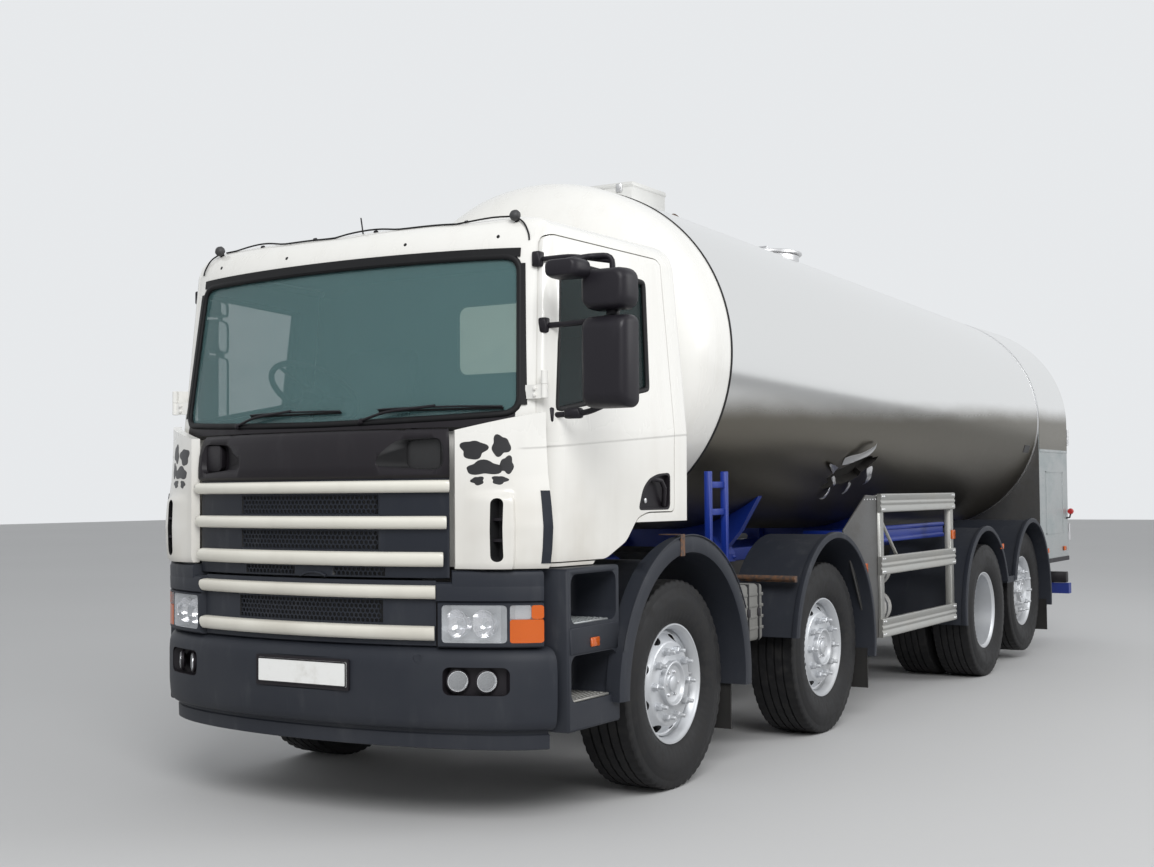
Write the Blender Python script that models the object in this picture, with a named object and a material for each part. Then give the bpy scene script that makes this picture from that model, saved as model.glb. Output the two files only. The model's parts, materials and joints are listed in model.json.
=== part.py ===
# Tanker truck: rigid four-axle milk tanker with a hollow day cab, right-hand drive.
# Metres. X is across, the truck faces -Y, Z is up from the ground. Every piece is drawn with Y counted
# from the front axle, and place() then stands it in the part's frame, whose origin is the bottom centre.
import math

import bmesh
import bpy
from mathutils import Vector

# Driving dimensions
FRONT_OVERHANG = 1.455
REAR_OVERHANG = 8.555
AXLE_2_Y = 1.94
AXLE_3_Y = 5.10
AXLE_4_Y = 6.455
TYRE_RADIUS = 0.516
TYRE_WIDTH = 0.300
RIM_RADIUS = 0.295
TRACK_HALF = 1.013
TWIN_SPACING = 0.335
TAG_AXLE_LIFT = 0.066
BODY_HALF_WIDTH = 1.240
RAIL_HALF_WIDTH = 0.400
RAIL_TOP = 1.000
RAIL_HEIGHT = 0.270
TANK_HALF_WIDTH = 1.052
TANK_HALF_HEIGHT = 0.990
TANK_FRONT_Y = 0.880
TANK_REAR_Y = 7.440
TANK_FRONT_CENTRE = 2.224
TANK_REAR_CENTRE = 2.084
CAB_HALF_WIDTH = 1.200
CAB_FLOOR = 1.130
CAB_ROOF = 2.700
CAB_REAR_Y = 0.080
NOSE_Y = -1.000

# Shared clearances and counts
SEAT_GAP = 0.0003
PIN_GAP = 0.0005
MOVING_GAP = 0.006
OVERRUN = 0.050
ROUND_STEPS = 20
SMALL_STEPS = 8
SMOOTH_ANGLE = math.radians(35)
UP = Vector((0, 0, 1))
SIDES = (("left", 1), ("right", -1))

FRONT_AXLE_Y = (FRONT_OVERHANG - REAR_OVERHANG) / 2
AXLE_HEIGHT = TYRE_RADIUS * math.cos(math.pi / ROUND_STEPS)
RAIL_BOTTOM = RAIL_TOP - RAIL_HEIGHT
NOSE_DEPTH = FRONT_OVERHANG + NOSE_Y


def clear_scene():
    for obj in list(bpy.data.objects):
        bpy.data.objects.remove(obj)


def new_material(name, colour, roughness, metallic=0.0):
    material = bpy.data.materials.new(name)
    material.use_nodes = True
    shader = material.node_tree.nodes["Principled BSDF"]
    shader.inputs["Base Color"].default_value = (*colour, 1)
    shader.inputs["Roughness"].default_value = roughness
    shader.inputs["Metallic"].default_value = metallic
    return material


# Solids
def object_from(bm):
    bmesh.ops.triangulate(bm, faces=bm.faces)
    bmesh.ops.recalc_face_normals(bm, faces=bm.faces)
    mesh = bpy.data.meshes.new("solid")
    bm.to_mesh(mesh)
    bm.free()
    obj = bpy.data.objects.new("solid", mesh)
    bpy.context.collection.objects.link(obj)
    return obj


def loft(rings, ends_meet=False):
    """A solid through rings of equally many points, with flat ends or, if its ends meet, closed in a loop."""
    bm = bmesh.new()
    rows = [[bm.verts.new(point) for point in ring] for ring in rings]
    count = len(rows[0])
    pairs = list(zip(rows, rows[1:]))
    if ends_meet:
        pairs.append((rows[-1], rows[0]))
    else:
        bm.faces.new(rows[0])
        bm.faces.new(rows[-1])
    for one, two in pairs:
        for i in range(count):
            j = (i + 1) % count
            bm.faces.new((one[i], one[j], two[j], two[i]))
    return object_from(bm)


def prism(outline, axis, low, high):
    """An outline of (first, second) points, pushed out along X, Y or Z from low to high."""
    def at(point, along):
        a, b = point
        return {"x": (along, a, b), "y": (a, along, b), "z": (a, b, along)}[axis]

    return loft([[at(p, low) for p in outline], [at(p, high) for p in outline]])


def box(low, high):
    (x0, y0, z0), (x1, y1, z1) = low, high
    return prism(((x0, y0), (x1, y0), (x1, y1), (x0, y1)), "z", z0, z1)


def block(centre_x, width, y0, y1, z0, z1):
    return box((centre_x - width / 2, y0, z0), (centre_x + width / 2, y1, z1))


def turned(profile, start, direction, steps=ROUND_STEPS, ends_meet=False):
    """Rings of (distance along the axis, radius) about an axis; half a step of turn puts a flat below."""
    along = Vector(direction).normalized()
    level = abs(along.z) < abs(along.x) + abs(along.y)
    side = along.cross(UP if level else Vector((0, 1, 0))).normalized()
    rise = side.cross(along)
    rings = []
    for distance, radius in profile:
        centre = Vector(start) + along * distance
        turns = [2 * math.pi * (k + 1 / 2) / steps for k in range(steps)]
        rings.append([centre + radius * (side * math.sin(t) + rise * math.cos(t)) for t in turns])
    return loft(rings, ends_meet)


def rod(start, end, radius, steps=SMALL_STEPS):
    way = Vector(end) - Vector(start)
    return turned(((0, radius), (way.length, radius)), start, way, steps)


def slab(grid):
    """A solid from rows of (outer point, inner point) pairs."""
    bm = bmesh.new()
    outer = [[bm.verts.new(pair[0]) for pair in row] for row in grid]
    inner = [[bm.verts.new(pair[1]) for pair in row] for row in grid]
    rows, columns = len(grid), len(grid[0])
    for i in range(rows - 1):
        for j in range(columns - 1):
            for skin in (outer, inner):
                bm.faces.new((skin[i][j], skin[i][j + 1], skin[i + 1][j + 1], skin[i + 1][j]))
    for i in range(rows - 1):
        for j in (0, columns - 1):
            bm.faces.new((outer[i][j], outer[i + 1][j], inner[i + 1][j], inner[i][j]))
    for j in range(columns - 1):
        for i in (0, rows - 1):
            bm.faces.new((outer[i][j], outer[i][j + 1], inner[i][j + 1], inner[i][j]))
    return object_from(bm)


def boolean(target, tools, operation, solver="EXACT"):
    """Applies the tools to the target, and removes them."""
    for tool in tools:
        modifier = target.modifiers.new(operation, "BOOLEAN")
        modifier.operation = operation
        modifier.solver = solver
        modifier.object = tool
    shape = target.evaluated_get(bpy.context.evaluated_depsgraph_get())
    mesh = bpy.data.meshes.new_from_object(shape)
    target.modifiers.clear()
    target.data = mesh
    for tool in tools:
        bpy.data.objects.remove(tool)
    return target


def join(pieces, solver="EXACT"):
    return boolean(pieces[0], pieces[1:], "UNION", solver)


def carve(target, tools, solver="EXACT"):
    return boolean(target, tools, "DIFFERENCE", solver)


def keep_within(target, tool):
    return boolean(target, [tool], "INTERSECT")


def place(obj, name, material, pivot=(0, 0, 0), parent=None):
    """Names a solid and stands it in the part's frame, with its origin on its pivot."""
    obj.name = name
    obj.data.name = name
    obj.data.materials.clear()
    obj.data.materials.append(material)
    for vertex in obj.data.vertices:
        vertex.co -= Vector(pivot)
    obj.location = Vector(pivot) + Vector((0, FRONT_AXLE_Y, 0))
    if parent:
        bpy.context.view_layer.update()
        obj.parent = parent
        obj.matrix_parent_inverse = parent.matrix_world.inverted()
    obj.data.shade_smooth()
    obj.data.set_sharp_from_angle(angle=SMOOTH_ANGLE)
    return obj


def mirrored(points, side):
    """Points of (x, ...) turned over to the given side of the truck."""
    return [(side * point[0], *point[1:]) for point in points]


def between(start, end, share):
    return start + (end - start) * share


clear_scene()
WHITE_PAINT = new_material("white paint", (0.80, 0.80, 0.76), 0.30)
DARK_PLASTIC = new_material("dark plastic", (0.050, 0.055, 0.065), 0.55)
GLASS = new_material("tinted glass", (0.12, 0.20, 0.19), 0.08)
STEEL_SKIN = new_material("polished steel", (0.66, 0.66, 0.65), 0.16, 1.0)
BLUE_PAINT = new_material("blue paint", (0.010, 0.045, 0.420), 0.40)
BLACK_PAINT = new_material("black paint", (0.020, 0.020, 0.022), 0.50)
GALVANISED = new_material("galvanised steel", (0.42, 0.43, 0.43), 0.45, 0.9)
LAMP_GLASS = new_material("lamp glass", (0.75, 0.72, 0.68), 0.12)
TRIM = new_material("cab trim", (0.055, 0.058, 0.060), 0.70)
SEAT_CLOTH = new_material("seat cloth", (0.045, 0.048, 0.055), 0.85)
RUBBER_STEEL = new_material("tyre and silver wheel", (0.035, 0.035, 0.036), 0.70)

# Chassis frame: two channel rails, cross tubes, spring hangers, cab posts and bumper brackets
RAIL_FLANGE = 0.090
RAIL_WALL = 0.012
RAIL_FRONT_Y = -1.100
RAIL_REAR_Y = 8.250
CROSS_TUBE_RADIUS = 0.050
CROSS_TUBE_DROP = 0.090
CROSS_TUBE_SHARES = (0.012, 0.24, 0.44, 0.60, 0.73, 0.86, 0.985)
HANGER_LENGTH = 0.100
SPRING_WIDTH = 0.080
SPRING_HALF_LENGTH = 0.800
SPRING_END_TOP = 0.665
ARM_TOP = 0.645
TAG_ARM_TOP = 0.690
ARM_FRONT_REACH = 0.650
TAG_ARM_FRONT_REACH = 0.600
CAB_POST_WIDTH = 0.060
CAB_POST_SIZE_Y = 0.120
CAB_POST_FRONT_Y = -1.040
CAB_POST_REAR_Y = -0.060
BUMPER_SEAT_Y = -1.300
BUMPER_BRACKET_BOTTOM = 0.560
BUMPER_HALF_WIDTH = 1.200
BUMPER_WALL = 0.090
SPRING_X = RAIL_HALF_WIDTH - RAIL_FLANGE / 2


def nose_y(x, half_width, depth):
    """Where the elliptical nose of the given size stands at x."""
    return NOSE_Y - depth * math.sqrt(1 - (x / half_width) ** 2)


def chassis_frame():
    inner = RAIL_HALF_WIDTH - RAIL_FLANGE
    web = RAIL_HALF_WIDTH - RAIL_WALL
    section = (
        (inner, RAIL_BOTTOM), (RAIL_HALF_WIDTH, RAIL_BOTTOM), (RAIL_HALF_WIDTH, RAIL_TOP), (inner, RAIL_TOP),
        (inner, RAIL_TOP - RAIL_WALL), (web, RAIL_TOP - RAIL_WALL),
        (web, RAIL_BOTTOM + RAIL_WALL), (inner, RAIL_BOTTOM + RAIL_WALL),
    )
    pieces = [prism(mirrored(section, side), "y", RAIL_FRONT_Y, RAIL_REAR_Y) for _, side in SIDES]
    middle = web + RAIL_WALL / 2
    for share in CROSS_TUBE_SHARES:
        y = between(RAIL_FRONT_Y, RAIL_REAR_Y, share)
        z = RAIL_TOP - CROSS_TUBE_DROP
        pieces.append(rod((-middle, y, z), (middle, y, z), CROSS_TUBE_RADIUS))
    hangers = [(axle + end * SPRING_HALF_LENGTH, SPRING_END_TOP) for axle in (0, AXLE_2_Y) for end in (-1, 1)]
    hangers.append((AXLE_3_Y - ARM_FRONT_REACH, ARM_TOP))
    hangers.append((AXLE_4_Y - TAG_ARM_FRONT_REACH, TAG_ARM_TOP))
    inside = RAIL_WALL / 2
    for _, side in SIDES:
        for y, top in hangers:
            low = top + SEAT_GAP
            pieces.append(block(side * SPRING_X, SPRING_WIDTH, y - HANGER_LENGTH / 2, y + HANGER_LENGTH / 2,
                                low, RAIL_BOTTOM + inside))
        for y in (CAB_POST_FRONT_Y, CAB_POST_REAR_Y):
            pieces.append(block(side * SPRING_X, CAB_POST_WIDTH, y, y + CAB_POST_SIZE_Y,
                                RAIL_TOP - inside, CAB_FLOOR - SEAT_GAP))
        pieces.append(block(side * SPRING_X, CAB_POST_WIDTH, BUMPER_SEAT_Y + SEAT_GAP, RAIL_FRONT_Y + OVERRUN,
                            BUMPER_BRACKET_BOTTOM, RAIL_BOTTOM + inside))
    place(join(pieces), "chassis_frame", BLUE_PAINT)


chassis_frame()

# Tank: sloping elliptical barrel, dished front end, top box, manway neck and lid
DISH_DEPTH = 0.720
DISH_SHARES = (0.0, 0.45, 0.72, 0.87, 0.96, 1.0)
DISH_LAST_SHARE = 0.30
DISH_POWER = 4
TANK_STEPS = 32
NECK_Y = 3.710
NECK_RADIUS = 0.250
NECK_HEIGHT = 0.045
NECK_WALL = 0.030
LID_RADIUS = 0.275
LID_THICKNESS = 0.030
LID_HINGE_RADIUS = 0.014
LID_HINGE_WIDTH = 0.060
TOP_BOX_HALF_WIDTH = 0.255
TOP_BOX_FRONT_Y = 1.220
TOP_BOX_REAR_Y = 1.650
TOP_BOX_TOP = 3.315
TOP_BOX_SINK = 0.160


def tank_centre(y):
    return between(TANK_FRONT_CENTRE, TANK_REAR_CENTRE, (y - TANK_FRONT_Y) / (TANK_REAR_Y - TANK_FRONT_Y))


def tank_ring(y, share=1.0, extra=0.0):
    turns = [2 * math.pi * k / TANK_STEPS for k in range(TANK_STEPS)]
    wide = TANK_HALF_WIDTH * share + extra
    tall = TANK_HALF_HEIGHT * share + extra
    return [(wide * math.sin(t), y, tank_centre(y) + tall * math.cos(t)) for t in turns]


def tank_form(extra=0.0):
    """The barrel with its dished front, swollen by extra, for pieces that seat on it."""
    rings = [tank_ring(TANK_REAR_Y + extra, 1.0, extra), tank_ring(TANK_FRONT_Y, 1.0, extra)]
    for share in DISH_SHARES[1:]:
        size = (1 - (share ** DISH_POWER)) ** (1 / 2) if share < 1 else DISH_LAST_SHARE
        size = max(size, DISH_LAST_SHARE)
        rings.append(tank_ring(TANK_FRONT_Y - share * DISH_DEPTH - extra, size, extra))
    return loft(rings)


def tank_top(y):
    return tank_centre(y) + TANK_HALF_HEIGHT


def lid_hinge():
    """The lid's hinge, a bar across the truck behind the neck."""
    return NECK_Y + LID_RADIUS + LID_HINGE_RADIUS, tank_top(NECK_Y) + NECK_HEIGHT + LID_THICKNESS / 2


def tank_barrel():
    half = box((-BODY_HALF_WIDTH, TANK_FRONT_Y + SEAT_GAP, 0), (BODY_HALF_WIDTH, REAR_OVERHANG, TOP_BOX_TOP))
    barrel = keep_within(tank_form(), half)
    base = tank_top(NECK_Y) - OVERRUN
    neck = turned(((0, NECK_RADIUS), (OVERRUN + NECK_HEIGHT, NECK_RADIUS)), (0, NECK_Y, base), UP)
    y, z = lid_hinge()
    width = LID_HINGE_WIDTH
    lug = rod((-width / 2, y, z), (width / 2, y, z), LID_HINGE_RADIUS)
    post = box((-width / 2, y - LID_HINGE_RADIUS / 2, base), (width / 2, y + LID_HINGE_RADIUS / 2, z))
    barrel = join([barrel, neck, post, lug])
    floor = tank_top(NECK_Y) - NECK_WALL
    bore = NECK_RADIUS - NECK_WALL
    well = turned(((0, bore), (OVERRUN * 3, bore)), (0, NECK_Y, floor), UP)
    place(carve(barrel, [well]), "tank_barrel", STEEL_SKIN)


def tank_front_end():
    half = box((-BODY_HALF_WIDTH, -FRONT_OVERHANG, 0), (BODY_HALF_WIDTH, TANK_FRONT_Y, TOP_BOX_TOP))
    place(keep_within(tank_form(), half), "tank_front_end", WHITE_PAINT)


def manway_lid():
    y, z = lid_hinge()
    low = tank_top(NECK_Y) + NECK_HEIGHT + SEAT_GAP
    disc = turned(((0, LID_RADIUS), (LID_THICKNESS, LID_RADIUS)), (0, NECK_Y, low), UP)
    ears = []
    for _, side in SIDES:
        inner = side * (LID_HINGE_WIDTH / 2 + PIN_GAP)
        outer = inner + side * LID_HINGE_WIDTH / 2
        ears.append(rod((inner, y, z), (outer, y, z), LID_HINGE_RADIUS))
        ears.append(box((min(inner, outer), NECK_Y + LID_RADIUS / 2, low + PIN_GAP),
                        (max(inner, outer), y, low + LID_THICKNESS - PIN_GAP)))
    place(join([disc, *ears]), "manway_lid", STEEL_SKIN, (0, y, z))


def tank_top_box():
    low = TOP_BOX_TOP - TOP_BOX_SINK
    shape = block(0, TOP_BOX_HALF_WIDTH * 2, TOP_BOX_FRONT_Y, TOP_BOX_REAR_Y, low, TOP_BOX_TOP)
    place(carve(shape, [tank_form(SEAT_GAP)]), "tank_top_box", WHITE_PAINT)


tank_barrel()
tank_front_end()
manway_lid()
tank_top_box()

# Tank subframe: long bearers on the rails, saddles that cradle the barrel, and an H-shaped bracket each side
BEARER_WIDTH = 0.080
BEARER_HEIGHT = 0.080
BEARER_FRONT_Y = 0.600
BEARER_REAR_Y = 7.400
SADDLE_THICKNESS = 0.060
SADDLE_Y_SHARES = (0.22, 0.54, 0.86)
SADDLE_REACH = 0.780
SADDLE_TOP = 1.640
H_FRAME_X = 0.980
H_FRAME_Y = 0.720
H_FRAME_SPREAD = 0.200
H_FRAME_POST = 0.034
H_FRAME_TOP = 1.560
H_FRAME_FOOT = 1.150
H_FRAME_BARS_SHARES = (0.42, 0.78)
OUTRIGGER_HEIGHT = 0.060


def tank_subframe():
    low = RAIL_TOP + SEAT_GAP
    top = low + BEARER_HEIGHT
    pieces = []
    for _, side in SIDES:
        pieces.append(block(side * SPRING_X, BEARER_WIDTH, BEARER_FRONT_Y, BEARER_REAR_Y, low, top))
    inside = RAIL_WALL
    for share in SADDLE_Y_SHARES:
        y = between(BEARER_FRONT_Y, BEARER_REAR_Y, share)
        outline = [(SPRING_X, low + inside), (SADDLE_REACH, SADDLE_TOP), (SADDLE_REACH, SADDLE_TOP + OVERRUN)]
        shape = mirrored(outline, 1) + mirrored(reversed(outline), -1)
        pieces.append(prism(shape, "y", y, y + SADDLE_THICKNESS))
    half = H_FRAME_POST / 2
    foot = H_FRAME_FOOT
    for _, side in SIDES:
        x = side * H_FRAME_X
        posts = (H_FRAME_Y, H_FRAME_Y + H_FRAME_SPREAD)
        for y in posts:
            pieces.append(block(x, H_FRAME_POST, y - half, y + half, top - OUTRIGGER_HEIGHT / 2, H_FRAME_TOP))
        for share in H_FRAME_BARS_SHARES:
            z = between(foot, H_FRAME_TOP, share)
            pieces.append(block(x, H_FRAME_POST / 2, posts[0], posts[1], z, z + H_FRAME_POST))
        ends = sorted((side * SPRING_X, x))
        pieces.append(box((ends[0], H_FRAME_Y + half / 2, top - OUTRIGGER_HEIGHT),
                          (ends[1], posts[1] - half / 2, top)))
    place(carve(join(pieces), [tank_form(SEAT_GAP)]), "tank_subframe", BLUE_PAINT)


tank_subframe()

# Rear cabinet: hollow horseshoe section that takes up the barrel's outline, two doors, and the under-run bar
CABINET_WALL = 0.030
CABINET_BOTTOM = 0.750
CABINET_REAR_Y = 8.500
CABINET_STEPS = 16
CABINET_NOTCH_MARGIN = 0.050
REAR_DOOR_BOTTOM = 0.790
REAR_DOOR_TOP = 2.070
REAR_DOOR_INSET = 0.012
REAR_DOOR_FRAME = 0.050
REAR_HINGE_RADIUS = 0.014
REAR_HINGE_LENGTH = 0.080
REAR_HINGE_SHARES = (0.12, 0.84)
REAR_DOOR_FACE_Y = 8.506
UNDERRUN_HALF_WIDTH = 1.080
UNDERRUN_FRONT_Y = 8.360
UNDERRUN_DEPTH = 0.100
UNDERRUN_BOTTOM = 0.430
UNDERRUN_ARM_Y = 8.100


def cabinet_outline(inset):
    half = TANK_HALF_WIDTH - inset
    notch = RAIL_HALF_WIDTH + CABINET_NOTCH_MARGIN + inset
    low = CABINET_BOTTOM + inset
    notch_top = RAIL_TOP + SEAT_GAP + inset
    points = [(-notch, notch_top), (notch, notch_top), (notch, low), (half, low)]
    for k in range(CABINET_STEPS + 1):
        turn = math.pi * k / CABINET_STEPS
        points.append((half * math.cos(turn), TANK_REAR_CENTRE + (TANK_HALF_HEIGHT - inset) * math.sin(turn)))
    return points + [(-half, low), (-notch, low)]


def rear_hinge_x():
    return TANK_HALF_WIDTH + SEAT_GAP


def rear_hinge_y():
    return (REAR_DOOR_FACE_Y + REAR_OVERHANG) / 2


def rear_cabinet():
    front = TANK_REAR_Y + SEAT_GAP * 2
    body = prism(cabinet_outline(0), "y", front, CABINET_REAR_Y)
    hollow = prism(cabinet_outline(CABINET_WALL), "y", front + CABINET_WALL, CABINET_REAR_Y - CABINET_WALL)
    reach = TANK_HALF_WIDTH - REAR_DOOR_FRAME
    doorway = box((-reach, CABINET_REAR_Y - CABINET_WALL * 2, REAR_DOOR_BOTTOM + REAR_DOOR_FRAME),
                  (reach, CABINET_REAR_Y + OVERRUN, REAR_DOOR_TOP - REAR_DOOR_FRAME))
    body = carve(body, [join([hollow, doorway], "MANIFOLD")], "MANIFOLD")
    lugs = []
    for _, side in SIDES:
        x, y = side * rear_hinge_x(), rear_hinge_y()
        for share in REAR_HINGE_SHARES:
            z = between(REAR_DOOR_BOTTOM, REAR_DOOR_TOP, share)
            lugs.append(rod((x, y, z), (x, y, z + REAR_HINGE_LENGTH), REAR_HINGE_RADIUS))
            root = CABINET_REAR_Y - CABINET_WALL / 2
            lugs.append(block(x, REAR_HINGE_RADIUS, root, y, z, z + REAR_HINGE_LENGTH))
    place(join([body, *lugs]), "rear_cabinet", GALVANISED)


def rear_door(name, side):
    x, y = side * rear_hinge_x(), rear_hinge_y()
    edges = sorted((side * MOVING_GAP / 2, side * (TANK_HALF_WIDTH - REAR_DOOR_INSET - REAR_HINGE_RADIUS)))
    leaf = box((edges[0], REAR_DOOR_FACE_Y, REAR_DOOR_BOTTOM), (edges[1], REAR_OVERHANG, REAR_DOOR_TOP))
    pieces = [leaf]
    for share in REAR_HINGE_SHARES:
        z = between(REAR_DOOR_BOTTOM, REAR_DOOR_TOP, share) + REAR_HINGE_LENGTH + PIN_GAP
        pieces.append(rod((x, y, z), (x, y, z + REAR_HINGE_LENGTH), REAR_HINGE_RADIUS))
        ends = sorted((x, side * (TANK_HALF_WIDTH - OVERRUN)))
        pieces.append(box((ends[0], y - REAR_HINGE_RADIUS / 2, z), (ends[1], y + REAR_HINGE_RADIUS / 2,
                                                                   z + REAR_HINGE_LENGTH)))
    place(join(pieces), name, GALVANISED, (x, y, REAR_DOOR_BOTTOM))


def rear_bumper():
    bar = box((-UNDERRUN_HALF_WIDTH, UNDERRUN_FRONT_Y, UNDERRUN_BOTTOM),
              (UNDERRUN_HALF_WIDTH, UNDERRUN_FRONT_Y + UNDERRUN_DEPTH, UNDERRUN_BOTTOM + UNDERRUN_DEPTH))
    top = RAIL_BOTTOM - SEAT_GAP
    rear = UNDERRUN_FRONT_Y + UNDERRUN_DEPTH / 2
    side_view = ((UNDERRUN_ARM_Y, top), (UNDERRUN_ARM_Y, top - OVERRUN), (rear, UNDERRUN_BOTTOM + RAIL_WALL),
                 (rear, UNDERRUN_BOTTOM + UNDERRUN_DEPTH), (RAIL_REAR_Y, top))
    half = CAB_POST_WIDTH / 2
    arms = [prism(side_view, "x", side * SPRING_X - half, side * SPRING_X + half) for _, side in SIDES]
    place(join([bar, *arms]), "rear_bumper", BLUE_PAINT)


rear_cabinet()
for side_name, side_sign in SIDES:
    rear_door("rear_door_" + side_name, side_sign)
rear_bumper()

# Cab shell: lofted through plan outlines whose nose is half an ellipse, hollow, with its openings cut
CAB_WALL = 0.060
CAB_REAR_ROUND = 0.050
NOSE_STEPS = 8
# Columns: height, half width at the nose, nose depth, nose line moved back, half width at the rear
CAB_LEVEL_SHARES = (
    (0.000, 0.925, 0.590, 0.000, 0.995),
    (0.380, 0.946, 0.590, 0.000, 1.000),
    (0.390, 0.946, 0.725, 0.000, 1.000),
    (0.915, 0.905, 0.375, 0.044, 0.940),
    (0.955, 0.885, 0.330, 0.066, 0.915),
    (0.985, 0.830, 0.240, 0.100, 0.860),
    (1.000, 0.740, 0.130, 0.145, 0.770),
)
# The cab door seen from the side: y from nose line to cab rear, height from floor to roof
DOOR_SHARES = (
    (-0.092, 0.013), (0.315, 0.013), (0.470, 0.060), (0.560, 0.130), (0.640, 0.145), (0.852, 0.145),
    (0.852, 0.915), (0.830, 0.930), (-0.010, 0.930), (-0.028, 0.915), (-0.102, 0.410),
)
WINDOW_SHARES = (
    (-0.040, 0.434), (-0.020, 0.430), (0.660, 0.509), (0.675, 0.520),
    (0.712, 0.840), (0.700, 0.854), (0.045, 0.868), (0.030, 0.855),
)
WINDOW_GAP = 0.0004
GLASS_THICKNESS = 0.024
GLASS_SINK = 0.014
SCREEN_BOTTOM_HALF = 1.000
SCREEN_TOP_HALF = 0.955
SCREEN_BOTTOM = 1.765
SCREEN_BOTTOM_RISE = 0.030
SCREEN_TOP = 2.515
SCREEN_TOP_DROP = 0.012
SCREEN_CORNER = 0.055
SCREEN_DEPTH = 0.450
BACK_WINDOW_LOW_X = -0.180
BACK_WINDOW_HIGH_X = 0.420
BACK_WINDOW_BOTTOM = 2.090
BACK_WINDOW_TOP = 2.460
ENGINE_HALF_WIDTH = 0.290
ENGINE_TOP = 1.300
TUNNEL_MARGIN = 0.030
ARCH_CUT_FRONT_Y = -0.760
ARCH_CUT_TOP = 1.310
ARCH_CUT_SLOPE = 0.300
HINGE_RADIUS = 0.015
HINGE_LENGTH = 0.060
DOOR_HINGE_X = 1.112
DOOR_HINGE_Y = -1.128
DOOR_HINGE_LOW = 1.240
DOOR_HINGE_HIGH = 1.860
HINGE_LOW_REACH = 0.170
HINGE_HIGH_REACH = 0.095
HATCH_HINGE_Y = -1.335
HATCH_HINGE_Z = 1.712
HATCH_HINGE_X = 0.500
HATCH_HINGE_WIDTH = 0.050
HATCH_HINGE_RADIUS = 0.010
HATCH_LUG_REACH = 0.110


def cab_ring(shares, inset, height):
    _, wide, deep, back, rear_wide = shares
    half = CAB_HALF_WIDTH * wide - inset
    depth = NOSE_DEPTH * deep - inset
    base = NOSE_Y + NOSE_DEPTH * back
    rear = CAB_REAR_Y - inset
    rear_half = CAB_HALF_WIDTH * rear_wide - inset
    points = []
    for k in range(-NOSE_STEPS, NOSE_STEPS + 1):
        turn = math.pi / 2 * k / NOSE_STEPS
        points.append((half * math.sin(turn), base - depth * math.cos(turn), height))
    small = CAB_REAR_ROUND
    points += [(rear_half, rear - small, height), (rear_half - small / 3, rear - small / 3, height),
               (rear_half - small, rear, height)]
    return points + [(-x, y, z) for x, y, z in reversed(points[-3:])]


def cab_height(share):
    return between(CAB_FLOOR, CAB_ROOF, share)


def cab_form(inset=0.0, floor_drop=0.0):
    """The cab's outer form, pulled in by inset. A floor drop lets it run on below the floor."""
    rings = []
    for shares in CAB_LEVEL_SHARES:
        height = cab_height(shares[0])
        if shares is CAB_LEVEL_SHARES[0]:
            height += inset - floor_drop
        if shares[0] > CAB_LEVEL_SHARES[3][0]:
            height -= inset
        rings.append(cab_ring(shares, inset, height))
    return loft(rings)


def side_points(shares, grow=0.0):
    """A side-view outline from shares, with its edges moved out by grow."""
    points = [Vector((between(NOSE_Y, CAB_REAR_Y, y), cab_height(z))) for y, z in shares]
    grown = []
    for k, here in enumerate(points):
        before, after = points[k - 1], points[(k + 1) % len(points)]
        one, two = (here - before).normalized(), (after - here).normalized()
        normal = Vector((one.y + two.y, -one.x - two.x)).normalized()
        lean = max(normal.dot(Vector((one.y, -one.x))), 1 / 2)
        grown.append(tuple(here + normal * grow / lean))
    return grown


def side_prism(shares, side, grow=0.0):
    ends = sorted((side * RAIL_HALF_WIDTH, side * (CAB_HALF_WIDTH + OVERRUN * 2)))
    return prism(side_points(shares, grow), "x", *ends)


def screen_outline(gap):
    low, high = SCREEN_BOTTOM + gap, SCREEN_TOP - gap
    bottom, top = SCREEN_BOTTOM_HALF - gap, SCREEN_TOP_HALF - gap
    small = SCREEN_CORNER
    half = [(0, low), (bottom / 2, low + SCREEN_BOTTOM_RISE / 4), (bottom - small, low + SCREEN_BOTTOM_RISE),
            (bottom, low + SCREEN_BOTTOM_RISE + small), (top, high - SCREEN_TOP_DROP - small),
            (top - small, high - SCREEN_TOP_DROP), (top / 2, high - SCREEN_TOP_DROP / 4), (0, high)]
    return half + [(-x, z) for x, z in reversed(half[1:-1])]


def screen_prism(gap=0.0):
    return prism(screen_outline(gap), "y", -FRONT_OVERHANG, -FRONT_OVERHANG + SCREEN_DEPTH * 2)


def arch_outline(margin):
    """The space over the front wheel, with margin to spare above it."""
    front, top = ARCH_CUT_FRONT_Y - margin, ARCH_CUT_TOP + margin
    return ((front, 0), (front, CAB_FLOOR + margin), (front + ARCH_CUT_SLOPE / 2, top - ARCH_CUT_SLOPE / 4),
            (front + ARCH_CUT_SLOPE, top), (CAB_REAR_Y + OVERRUN, top), (CAB_REAR_Y + OVERRUN, 0))


def under_forms(margin):
    """What the cab floor makes room for: the front wheels and the engine."""
    half = ENGINE_HALF_WIDTH + TUNNEL_MARGIN + margin
    forms = [box((-half, NOSE_Y * 2, 0), (half, CAB_REAR_Y + OVERRUN, ENGINE_TOP + TUNNEL_MARGIN + margin))]
    for _, side in SIDES:
        ends = sorted((side * (SPRING_X + OVERRUN * 2 - margin), side * (CAB_HALF_WIDTH + OVERRUN * 2)))
        forms.append(prism(arch_outline(margin), "x", *ends))
    return forms


def hinge_boss(side, low, high):
    """A pin boss of the cab door's hinge."""
    x, y = side * DOOR_HINGE_X, DOOR_HINGE_Y
    return rod((x, y, low), (x, y, high), HINGE_RADIUS)


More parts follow.
